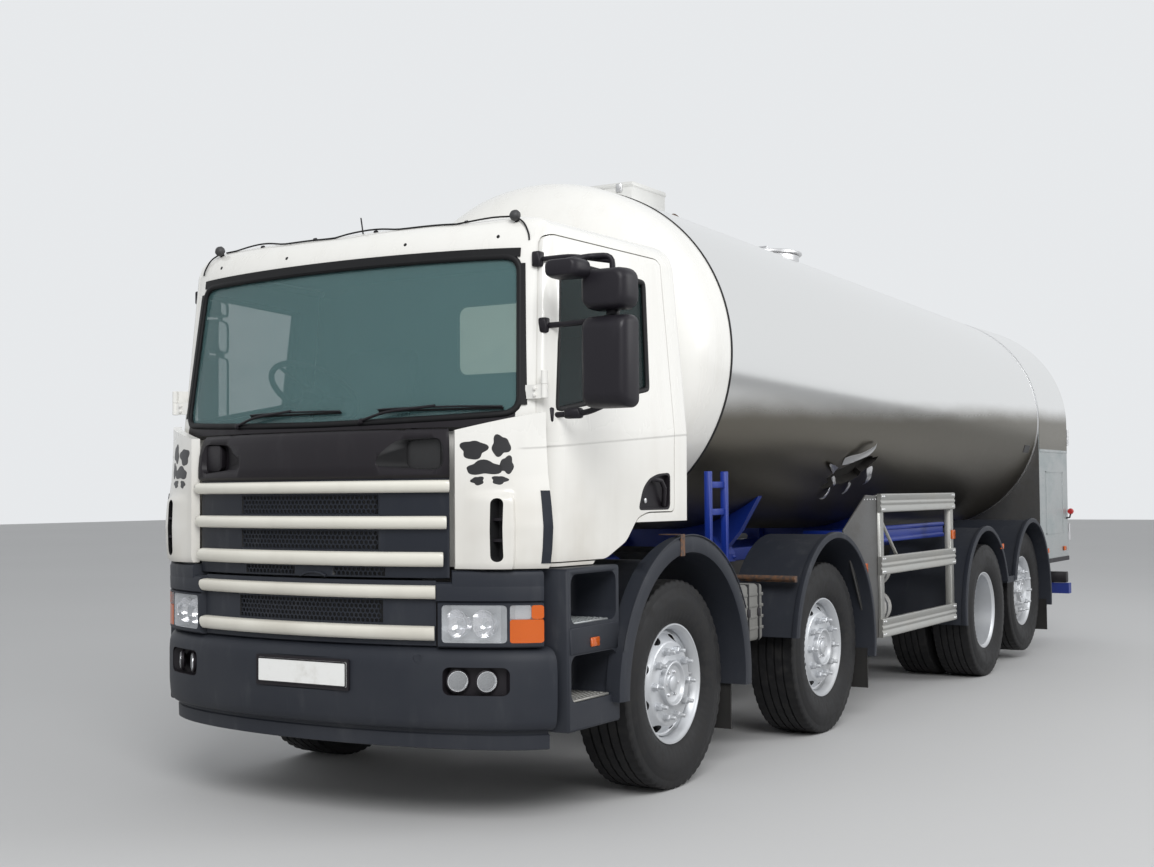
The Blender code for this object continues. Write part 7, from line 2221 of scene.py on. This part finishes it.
# %% [markdown]
# ## Inside the cab
#
# What shows through the glass is kept plain: the dash top, the wheel, two padded seats, a lining on
# the back wall and sun blinds. The seats' cushions are soft bodies with seams, built as padded pieces.

# %% Dashboard and steering wheel
def dash():
    outline = ((-1.250, 1.420), (-0.700, 1.420), (-0.640, 1.470), (-0.620, 1.560), (-0.640, 1.640),
               (-0.700, 1.700), (-0.780, 1.725), (-1.000, 1.735), (-1.180, 1.730), (-1.250, 1.715))
    outline = round_corners(outline, 0.03)
    body = keep_within(prism(outline, "x", -0.92, 0.92), cab_form(CAB_WALL + 0.0003))
    hood = prism(round_corners(((-0.90, 1.70), (-0.70, 1.70), (-0.66, 1.775), (-0.74, 1.800), (-0.88, 1.775)),
                               0.03), "x", -0.80, -0.36)
    binnacle = box((-0.775, -0.72, 1.705), (-0.385, -0.655, 1.765))
    vents = [box((x - 0.07, -0.66, 1.615), (x + 0.07, -0.60, 1.665)) for x in (-0.25, 0.0, 0.35, 0.62)]
    column = tube(((-0.58, -0.869, 1.710), (-0.58, -0.722, 1.917)), 0.045, 24)
    body = carve(paint(body, trim_plastic), [paint(vent, black_plastic) for vent in vents])
    body = carve(body, under_forms(CAB_WALL + 0.0003))
    return merged([body, paint(carve(hood, [binnacle]), black_plastic), paint(column, black_plastic)])


dress(dash(), "dash_moulding", "vehicle", None, ["dashboard"], smooth=40)


def steering():
    centre = Vector((-0.580, -0.680, 1.980))
    lean = math.radians(35)
    way = Vector((0, math.sin(lean), math.cos(lean)))
    side = Vector((1, 0, 0))
    rise = way.cross(side)
    ring = [centre + 0.235 * (side * math.cos(t) + rise * math.sin(t))
            for t in [2 * math.pi * k / 64 for k in range(64)]]
    pieces = [tube(ring, 0.0155, 14, meet=True)]
    for degrees in (20, 160, 250, 290):
        t = math.radians(degrees)
        out = side * math.cos(t) + rise * math.sin(t)
        pieces.append(tube((centre + out * 0.03 - way * 0.012, centre + out * 0.13 - way * 0.010,
                            centre + out * 0.232), 0.0095, 10))
    pieces.append(turned(((-0.045, 0.020), (-0.040, 0.050), (-0.018, 0.060), (0.004, 0.058), (0.014, 0.045),
                          (0.016, 0.001)), centre, way, 36))
    return merged([paint(piece, black_plastic) for piece in pieces])


dress(steering(), "steering_wheel_built", "steering", None, ["steering_wheel"], smooth=50)
print("dash and steering wheel made")


# %% Seats
def pillow(x0, x1, outline, ease, rows=16):
    """A padded block: a side-view outline across the seat, pulled in towards both ends."""
    middle = [between(0.15, 0.85, k / rows) for k in range(rows + 1)]
    xs = [0, 0.015, 0.05, 0.11, *middle, 0.89, 0.95, 0.985, 1]
    ys, zs = [p[0] for p in outline], [p[1] for p in outline]
    my, mz = sum(ys) / len(ys), sum(zs) / len(zs)
    rings = []
    for share in xs:
        x = between(x0, x1, share)
        away = min(share, 1 - share) * (x1 - x0)
        pull = ease * (1 - math.sqrt(max(0, 1 - (1 - min(away / ease, 1)) ** 2)))
        groove = 0.004 * sum(math.exp(-((share - seam) / 0.015) ** 2) for seam in (0.22, 0.78))
        ring = []
        for y, z in outline:
            out = Vector((y - my, z - mz))
            out *= max(1 - (pull + groove) / out.length, 0.2)
            ring.append((x, my + out.x, mz + out.y))
        rings.append(ring)
    return loft(rings)


def finer(outline, longest=0.02):
    return finely(round_corners(outline, 0.05, 6), longest)


def seat_frame(x):
    base = box((x - 0.15, -0.41, 1.371), (x + 0.15, -0.29, 1.455))
    slide = box((x - 0.19, -0.44, 1.385), (x + 0.19, -0.25, 1.405))
    arms = [tube(((x + s * 0.20, -0.20, 1.50), (x + s * 0.222, -0.12, 1.60)), 0.010, 10) for s in (-1, 1)]
    pieces = [soften(base, 0.006), soften(slide, 0.006), *arms]
    return merged([paint(piece, black_plastic) for piece in pieces])


for name, x in (("passenger", 0.620), ("driver", -0.620)):
    low = pillow(x - 0.228, x + 0.228, finer(((-0.560, 1.475), (-0.545, 1.598), (-0.36, 1.585),
                                              (-0.155, 1.600), (-0.150, 1.462), (-0.40, 1.458))), 0.045)
    back = pillow(x - 0.222, x + 0.222,
                  finer(((-0.285, 1.610), (-0.160, 1.540), (-0.020, 2.235), (-0.098, 2.248))), 0.05)
    cushion = dress(merged([paint(low, seat_cloth), paint(back, seat_cloth)]), f"seat_cushions_{name}",
                    "vehicle", seat_cloth, [f"seat_{name}"], smooth=60)
    dress(seat_frame(x), f"seat_frame_{name}", "vehicle")
print("seats made")

# %% [markdown]
# ## Along the sides
#
# Side guards keep people from falling under the truck: three pressed rails on two posts, riveted, with
# a wedge of sheet at the front. A battery box, air tanks and a fuel tank hang from the frame.

# %% Rivets in a row
def rivet_row(name, start, end, count, out, finish, radius=0.006):
    """Domed rivets from one point to the other. The repeater spaces them evenly."""
    head = turned(((-0.002, radius), (0.0, radius), (radius * 0.4, radius * 0.8),
                   (radius * 0.6, radius * 0.35)), (0, 0, 0), out, 8)
    maker = Repeater(name, {"Rivets": count})
    share = maker.index / (maker.number("Rivets") - 1)
    place = [a + share * (b - a) for a, b in zip(start, end)]
    return maker.grown(head, maker.number("Rivets"), place, finish=finish)


# %% Side guards
RAIL_LOWS = (0.490, 0.8975, 1.305)
RAIL_FACE = 1.199


def guard_rail(low):
    """A pressed rail: a rectangle with two grooves along its outer face."""
    high = low + 0.120
    outline = [(1.170, low), (1.194, low), (1.199, low + 0.006), (1.199, low + 0.034), (1.193, low + 0.040),
               (1.193, low + 0.048),
               (1.199, low + 0.054), (1.199, high - 0.054), (1.193, high - 0.048), (1.193, high - 0.040),
               (1.199, high - 0.034), (1.199, high - 0.006), (1.194, high), (1.170, high)]
    return prism(outline, "y", 2.810, 4.390)


def side_guard():
    pieces = [paint(guard_rail(low), aluminium) for low in RAIL_LOWS]
    for y in (2.8175, 4.3125):
        post = soften(box((1.1400, y, 0.4975), (1.1850, y + 0.070, 1.4175)), 0.004)
        arm = box((0.402, y + 0.0075, 0.900), (1.170, y + 0.0575, 0.950))
        pieces += [paint(post, aluminium), paint(arm, black_paint)]
        for low in RAIL_LOWS:
            for side in (0.018, 0.052):
                start, end = ((RAIL_FACE, y + side, low + rise) for rise in (0.018, 0.102))
                pieces.append(rivet_row("guard_rivets", start, end, 2, ACROSS, bright_steel, 0.008))
    plate = soften(prism(((2.640, 0.490), (2.845, 0.490), (2.845, 1.410), (2.620, 1.420), (2.215, 1.200)),
                         "x", 1.155, 1.168), 0.003)
    lines = (((1.168, 2.830, 0.53), (1.168, 2.830, 1.37), 14), ((1.168, 2.585, 1.39), (1.168, 2.79, 1.39), 5))
    rows = [rivet_row("plate_rivets", *line, ACROSS, bright_steel, 0.005) for line in lines]
    brace = tube(((1.150, 2.88, 1.290), (1.150, 3.22, 1.018)), 0.011, 10)
    marker = soften(box((1.168, 2.520, 0.915), (1.180, 2.605, 0.982)), 0.003)
    second = box((1.185, 4.312, 1.085), (1.199, 4.388, 1.150))
    soften(second, 0.003)
    pieces += [paint(plate, dull_sheet), *rows, paint(brace, aluminium), paint(marker, amber_lens),
               paint(second, amber_lens)]
    return merged(pieces)


dress_pair(side_guard(), "guard_built", "vehicle", None, ["side_guard"], smooth=38)
print("side guards made")


# %% Battery box and tanks
body = soften(box((0.550, 0.740, 0.640), (1.166, 1.000, 0.948)), 0.022, 3)
pieces = [paint(body, dusty_cover)]
for z in (0.700, 0.760, 0.820, 0.880):
    rib = soften(box((0.60, 0.737, z), (1.1685, 1.003, z + 0.018)), 0.004)
    pieces.append(paint(rib, dusty_cover))
for y in (0.800, 0.930):
    band = box((0.66, y, 0.640), (1.170, y + 0.018, 0.950))
    latch = box((1.160, y - 0.006, 0.770), (1.1745, y + 0.024, 0.815))
    pieces += [paint(soften(band, 0.003), seal_rubber), paint(soften(latch, 0.003), black_plastic)]
pieces.append(paint(box((0.402, 0.820, 0.795), (0.600, 0.920, 0.895)), black_paint))
dress(merged(pieces), "battery_case", "vehicle", None, ["battery_box"], smooth=38)

pieces = []
for z in (0.870, 0.600):
    profile = [(0.0, 0.012), (0.004, 0.040), (0.014, 0.072), (0.030, 0.098), (0.048, 0.114), (0.060, 0.120),
               (0.450, 0.120),
               (0.454, 0.1215), (0.458, 0.120), (0.840, 0.120), (0.852, 0.114), (0.870, 0.098),
               (0.886, 0.072), (0.896, 0.040), (0.900, 0.012)]
    pieces.append(paint(turned(profile, (0.720, 3.150, z), ALONG, 48), tank_white))
    for y in (3.35, 3.88):
        ring = turned(((0, 0.1185), (0, 0.1225), (0.035, 0.1225), (0.035, 0.1185)), (0.720, y, z), ALONG, 48,
                      meet=True)
        pieces.append(paint(ring, bright_steel))
    port = turned(((-0.01, 0.014), (0.012, 0.014), (0.014, 0.010), (0.024, 0.010)), (0.720, 3.60, z - 0.118),
                  -UP, 8)
    pieces.append(paint(port, bright_steel))
for y in (3.33, 3.87):
    pieces.append(paint(box((0.402, y, 0.820), (0.720, y + 0.05, 0.870)), black_paint))
    pieces.append(paint(box((0.695, y, 0.600), (0.745, y + 0.05, 0.870)), black_paint))
dress(merged(pieces), "air_tanks_built", "vehicle", None, ["air_tanks"], smooth=40)

rows = ((2.950, 0.012), (2.952, 0.004), (2.960, 0.0), (4.240, 0.0), (4.248, 0.004), (4.250, 0.012))
rings = []
for y, inset in rows:
    rings.append([(x, y, z) for x, z in rounded(-1.120 + inset, -0.500 - inset, 0.450 + inset, 1.080 - inset,
                                                0.080 - inset, 8)])
pieces = [paint(loft(rings), aluminium)]
for y in (3.10, 3.95):
    inner = rounded(-1.1202, -0.4998, 0.4498, 1.0802, 0.0802, 8)
    outer = rounded(-1.126, -0.494, 0.444, 1.086, 0.086, 8)
    ring = loft([[(x, y, z) for x, z in inner], [(x, y, z) for x, z in outer],
                 [(x, y + 0.05, z) for x, z in outer], [(x, y + 0.05, z) for x, z in inner]], meet=True)
    pieces.append(paint(ring, bright_steel))
    pieces.append(paint(box((-0.58, y, 0.730), (-0.402, y + 0.05, 0.780)), black_paint))
cap = turned(((-0.02, 0.040), (0.010, 0.040), (0.014, 0.046), (0.030, 0.046), (0.034, 0.040), (0.034, 0.001)),
             (-0.90, 3.25, 1.080), UP, 24)
pieces.append(paint(cap, black_plastic))
dress(merged(pieces), "fuel_tank_built", "vehicle", None, ["fuel_tank"], smooth=40)
print("battery box and tanks made")

# %% [markdown]
# ## Under the tank
#
# Blue steel carries the tank: two bearers along the frame, saddles shaped by the tank's own form, and a
# small ladder-like frame behind the cab, bolted on. A grooved channel for hoses runs along each side.

# %% Tank's subframe
SPRING_X = 0.355
H_X, H_Y, H_SPREAD = 0.980, 0.720, 0.200


def tank_cutter():
    rings = [tank_ring(TANK_FRONT - DISH_DEPTH * 0.98, 0.5, 0.0003, 96),
             tank_ring(TANK_FRONT - DISH_DEPTH * 0.55, 0.86, 0.0003, 96),
             tank_ring(TANK_FRONT, 1.0, 0.0003, 96), tank_ring(TANK_REAR + 0.3, 1.0, 0.0003, 96)]
    return loft(rings)


pieces = []
for side in (-1, 1):
    bearer = box((side * SPRING_X - 0.040, 0.600, 1.0003), (side * SPRING_X + 0.040, 7.400, 1.0803))
    pieces.append(soften(bearer, 0.004))
    for y in (H_Y, H_Y + H_SPREAD):
        pieces.append(soften(box((side * H_X - 0.017, y - 0.017, 1.050),
                                 (side * H_X + 0.017, y + 0.017, 1.560)), 0.003))
    for share in (0.42, 0.78):
        z = between(1.150, 1.560, share)
        pieces.append(soften(box((side * H_X - 0.0085, H_Y, z),
                                 (side * H_X + 0.0085, H_Y + H_SPREAD, z + 0.034)), 0.002))
    ends = sorted((side * SPRING_X, side * H_X))
    pieces.append(soften(box((ends[0], H_Y + 0.0085, 1.020), (ends[1], H_Y + H_SPREAD - 0.0085, 1.0803)),
                         0.003))
saddles = []
for share in (0.22, 0.54, 0.86):
    y = between(0.600, 7.400, share)
    half = [(SPRING_X, 1.012), (0.52, 1.20), (0.780, 1.640), (0.780, 1.690)]
    outline = half + [(-x, z) for x, z in reversed(half)]
    saddles.append(prism(outline, "y", y, y + 0.060))
    for side in (-1, 1):
        foot = prism([(side * x, z) for x, z in ((0.30, 1.0003), (0.425, 1.0003), (0.425, 1.05), (0.36, 1.16),
                                                 (0.30, 1.16))], "y", y - 0.07, y + 0.13)
        saddles.append(foot)
saddles = carve(merged([paint(piece, blue_paint) for piece in saddles]), [tank_cutter()])
frame_steel = merged([saddles, *[paint(piece, blue_paint) for piece in pieces]])
bolts = []
for side in (-1, 1):
    for share in (0.22, 0.54, 0.86):
        y = between(0.600, 7.400, share)
        for dy in (-0.045, 0.105):
            bolt = turned(((-0.006, 0.016), (0.002, 0.016), (0.002, 0.012), (0.012, 0.012), (0.012, 0.007),
                           (0.020, 0.007)),
                          (side * 0.425, y + dy, 1.028), ACROSS * side, 6)
            bolts.append(paint(bolt, blue_paint))
    for y in (0.760, 0.880):
        bolt = turned(((-0.004, 0.017), (0.003, 0.017), (0.003, 0.012), (0.014, 0.012), (0.014, 0.008),
                       (0.022, 0.008)), (side * 0.80, y, 1.0803), UP, 6)
        bolts.append(paint(bolt, blue_paint))
dress(merged([frame_steel, *bolts]), "tank_cradle", "vehicle", None, ["tank_subframe"], smooth=38)
groove = box((0.990, 3.200, 1.118), (1.020, 4.850, 1.172))
rails = [soften(carve(box((0.950, 3.300, 1.090), (1.000, 4.750, 1.200)), [groove]), 0.004)]
for y in (3.400, 4.000, 4.600):
    rails.append(soften(box((0.402, y, 1.105), (0.960, y + 0.060, 1.165)), 0.004))
rails = merged([paint(rail, blue_paint) for rail in other_side(merged(rails))])
dress(rails, "hose_rails", "vehicle", blue_paint, smooth=50)

# %% [markdown]
# The solids whose shape is right already keep it. They only get a finish: frame, axles, hubs, engine
# and the bar at the rear.

# %% Frame, axles and engine
KEPT = {"chassis_frame": black_paint, "drive_axle": black_paint, "tag_axle": black_paint,
        "engine_block": engine_paint,
        "axle_beam_first": black_paint, "axle_beam_second": black_paint, "rear_bumper": blue_paint}
for axle in ("first", "second"):
    for side, _ in SIDES:
        KEPT[f"knuckle_{axle}_{side}"] = black_paint
for name, finish in KEPT.items():
    node = frame["nodes"][name]
    for place in node.material_slots:
        place.material = finish.material
    if not node.material_slots:
        node.data.materials.append(finish.material)
print("kept solids:", len(KEPT))

# %% [markdown]
# ## The rear
#
# The cabinet behind the tank holds the pump and the hoses. It has the tank's outline at the top and
# straight sides below, with a ledge, a raised frame and a dark lip along the bottom. Polished sheet
# covers it down to the ledge. Its front face lies in the tank's shade, and a dark sheet on it is painted
# shade.

# %% Rear cabinet
CABINET_FRONT = TANK_REAR + 0.0006
CABINET_REAR = 8.500
LEDGE = 1.815
DOOR_LOW, DOOR_HIGH = 0.790, 2.070
PIN_X, PIN_Y = TANK_HALF_WIDTH + 0.0003, (8.506 + 8.555) / 2
PIN_SHARES = (0.12, 0.84)


def cabinet_outline(inset, steps=60):
    half, notch, low = TANK_HALF_WIDTH - inset, 0.450 + inset, 0.750 + inset
    points = [(-notch, 1.0003 + inset), (notch, 1.0003 + inset), (notch, low), (half, low)]
    for k in range(steps + 1):
        turn = math.pi * k / steps
        points.append((half * math.cos(turn), TANK_REAR_MIDDLE + (TANK_HALF_HEIGHT - inset) * math.sin(turn)))
    return points + [(-half, low), (-notch, low)]


def cabinet_cover(steps=60):
    """Polished sheet over the top, bent round it and down to the ledge."""
    rims = []
    for grow in (0.003, -0.003):
        half, rim = TANK_HALF_WIDTH + grow, []
        for k in range(steps + 1):
            turn = math.pi * k / steps
            rim.append((half * math.cos(turn), TANK_REAR_MIDDLE + (TANK_HALF_HEIGHT + grow) * math.sin(turn)))
        rims.append([(half, LEDGE), *rim, (-half, LEDGE)])
    return prism(rims[0] + rims[1][::-1], "y", CABINET_FRONT + 0.010, CABINET_REAR - 0.004)


def hinge_pin(x, z):
    return paint(tube(((x, PIN_Y, z), (x, PIN_Y, z + 0.080)), 0.014, 16), bright_steel)


hollow = prism(cabinet_outline(0.030), "y", CABINET_FRONT + 0.030, CABINET_REAR - 0.030)
doorway = box((-1.002, 8.440, 0.840), (1.002, 8.550, 2.020))
cabinet = carve(prism(cabinet_outline(0.0), "y", CABINET_FRONT, CABINET_REAR),
                [boolean(hollow, [doorway], "UNION", "MANIFOLD")], "MANIFOLD")
# A thin dark sheet on the front face: painted shade, where the tank shades the cabinet.
painted_shade_sheet = prism(cabinet_outline(0.003), "y", CABINET_FRONT - 0.0004, CABINET_FRONT + 0.002)
pieces = [paint(cabinet, galvanised), paint(painted_shade_sheet, dull_sheet), paint(cabinet_cover(), polished)]
for side in (-1, 1):
    x0, x1 = sorted((side * 1.048, side * 1.058))
    for low, high, y0, y1 in ((1.790, LEDGE, 7.46, 8.49), (1.02, 1.03, 7.66, 8.30), (1.60, 1.61, 7.66, 8.30)):
        pieces.append(paint(box((x0, y0, low), (x1, y1, high)), galvanised))
    for y in (7.66, 8.29):
        pieces.append(paint(box((x0, y, 1.02), (x1, y + 0.010, 1.61)), galvanised))
    pieces.append(paint(box((x0, 7.46, 0.752), (side * 1.060, 8.495, 0.792)), black_plastic))
    x = side * PIN_X
    for share in PIN_SHARES:
        z = between(DOOR_LOW, DOOR_HIGH, share)
        pieces.append(hinge_pin(x, z))
        pieces.append(paint(box((x - 0.007, 8.485, z), (x + 0.007, PIN_Y, z + 0.080)), bright_steel))
    pieces.append(rivet_row("cabinet_rivets", (side * 1.056, 7.50, 1.802), (side * 1.056, 8.45, 1.802), 20,
                            ACROSS * side, bright_steel, 0.005))
    stalk = tube(((side * 1.050, 8.430, 1.160), (side * 1.085, 8.430, 1.165), (side * 1.095, 8.430, 1.20)),
                 0.008, 10)
    lamp = turned(((-0.028, 0.001), (-0.028, 0.024), (0.0, 0.030), (0.020, 0.026), (0.028, 0.012),
                   (0.030, 0.001)), (side * 1.095, 8.430, 1.225), ALONG, 20)
    pieces += [paint(stalk, seal_rubber), paint(lamp, red_lens)]
    pieces.append(paint(soften(box((side * 1.057, 8.28, 0.850), (side * 1.069, 8.36, 0.892)), 0.003),
                        amber_lens))
dress(merged(pieces), "cabinet_built", "vehicle", None, ["rear_cabinet"], smooth=38)


# %% Cabinet doors
def cabinet_door():
    edge = TANK_HALF_WIDTH - 0.012 - 0.014
    leaf = soften(box((0.003, 8.506, 0.790), (edge, 8.545, 2.070)), 0.006)
    pieces = [paint(leaf, galvanised)]
    for z0, z1 in ((0.86, 1.34), (1.42, 2.00)):
        outer = rounded(0.08, edge - 0.08, z0, z1, 0.03)
        inner = rounded(0.095, edge - 0.095, z0 + 0.015, z1 - 0.015, 0.02)
        ring = loft([[(x, 8.543, z) for x, z in outer], [(x, 8.5495, z) for x, z in outer],
                     [(x, 8.5495, z) for x, z in inner], [(x, 8.543, z) for x, z in inner]], meet=True)
        pieces.append(paint(ring, galvanised))
    pieces.append(paint(tube(((0.05, 8.546, 0.83), (0.05, 8.546, 2.03)), 0.0085, 10), bright_steel))
    pieces.append(paint(soften(box((0.035, 8.543, 1.28), (0.066, 8.5545, 1.46)), 0.003), bright_steel))
    for share in PIN_SHARES:
        z = between(DOOR_LOW, DOOR_HIGH, share) + 0.0805
        pieces.append(hinge_pin(PIN_X, z))
        strap = box((TANK_HALF_WIDTH - 0.05, PIN_Y - 0.007, z), (PIN_X, PIN_Y + 0.007, z + 0.080))
        pieces.append(paint(strap, bright_steel))
    return merged(pieces)


dress_pair(cabinet_door(), "cabinet_leaf", "cabinet_door", None, ["rear_door"], smooth=38)
lamps = []
for side in (-1, 1):
    case = soften(box((side * 0.72, 8.352, 0.536), (side * 1.06, 8.440, 0.640)), 0.008)
    lamps.append(paint(case, black_plastic))
    for x0, x1, finish in ((0.73, 0.80, clear_lens), (0.80, 0.90, red_lens), (0.90, 0.98, red_lens),
                           (0.98, 1.05, amber_lens)):
        lamps.append(paint(soften(box((side * (x0 + 0.003), 8.436, 0.546),
                                      (side * (x1 - 0.003), 8.452, 0.630)), 0.003), finish))
    lamps.append(paint(box((side * 0.86, 8.37, 0.525), (side * 0.92, 8.43, 0.545)), black_paint))
lamps.append(paint(soften(box((-0.26, 8.455, 0.452), (0.26, 8.466, 0.525)), 0.002), plate_white))
dress(merged(lamps), "rear_lamps", "vehicle", None, smooth=38)
print("rear made")

# %% [markdown]
# ## On and under the tank
#
# A box with the vents stands on the tank behind the cab. Further back are a pair of old fittings, a
# row of short studs, and a small dark label on the left side near the rear.

# %% Tank fittings
case = soften(box((-0.250, 1.225, 3.05), (0.250, 1.645, 3.292)), 0.012, 3)
lid = soften(box((-0.255, 1.220, 3.280), (0.255, 1.650, 3.313)), 0.010, 3)
pieces = [paint(case, tank_white), paint(lid, tank_white)]
for x in (-0.16, 0.16):
    pieces.append(paint(soften(box((x - 0.02, 1.214, 3.255), (x + 0.02, 1.226, 3.305)), 0.003), bright_steel))
dress(merged(pieces), "vent_box", "vehicle", None, ["tank_top_box"], smooth=38)


def tank_top(y):
    return tank_middle(y) + TANK_HALF_HEIGHT


fittings = []
base = tank_top(2.325)
horn = [(0.0, 2.325, base - 0.01), (0.0, 2.325, base + 0.055), (0.0, 2.300, base + 0.085),
        (0.0, 2.240, base + 0.100), (0.0, 2.215, base + 0.092)]
fittings.append(paint(smooth_tube(horn, 0.017, 0.03, 12), rusty_steel))
fittings.append(paint(turned(((0, 0.05), (0.006, 0.05), (0.010, 0.044), (0.010, 0.018)),
                             (0, 2.325, base - 0.002), UP, 24), rusty_steel))
base = tank_top(3.708)
vent = turned(((-0.01, 0.065), (0.010, 0.065), (0.012, 0.040), (0.050, 0.040), (0.052, 0.062), (0.075, 0.066),
               (0.095, 0.050), (0.105, 0.001)),
              (0.0, 3.708, base), UP, 28)
ring = turned(((0.030, 0.041), (0.030, 0.049), (0.045, 0.049), (0.045, 0.041)), (0.0, 3.708, base), UP, 28,
              meet=True)
handle = tube(((0.0, 3.755, base + 0.038), (0.0, 3.86, base + 0.046), (0.0, 3.90, base + 0.030)), 0.006, 8)
fittings += [paint(vent, bright_steel), paint(ring, rusty_steel), paint(handle, bright_steel)]
for y in (5.526, 7.349, 8.280):
    stud = turned(((-0.01, 0.020), (0.006, 0.020), (0.008, 0.012), (0.070, 0.012), (0.074, 0.020),
                   (0.088, 0.020), (0.092, 0.001)), (0.0, y, tank_top(y)), UP, 16)
    fittings.append(paint(stud, bright_steel))
label = loft([[tank_point(y, math.radians(turn), 1, out)
               for y, out in ((7.08, -0.002), (7.08, 0.004), (7.25, 0.004), (7.25, -0.002))]
              for turn in (104.5, 106.5, 108.5)])
fittings.append(paint(label, engine_paint))
dress(merged(fittings), "tank_fittings", "vehicle", None, smooth=45)
print("tank fittings made")
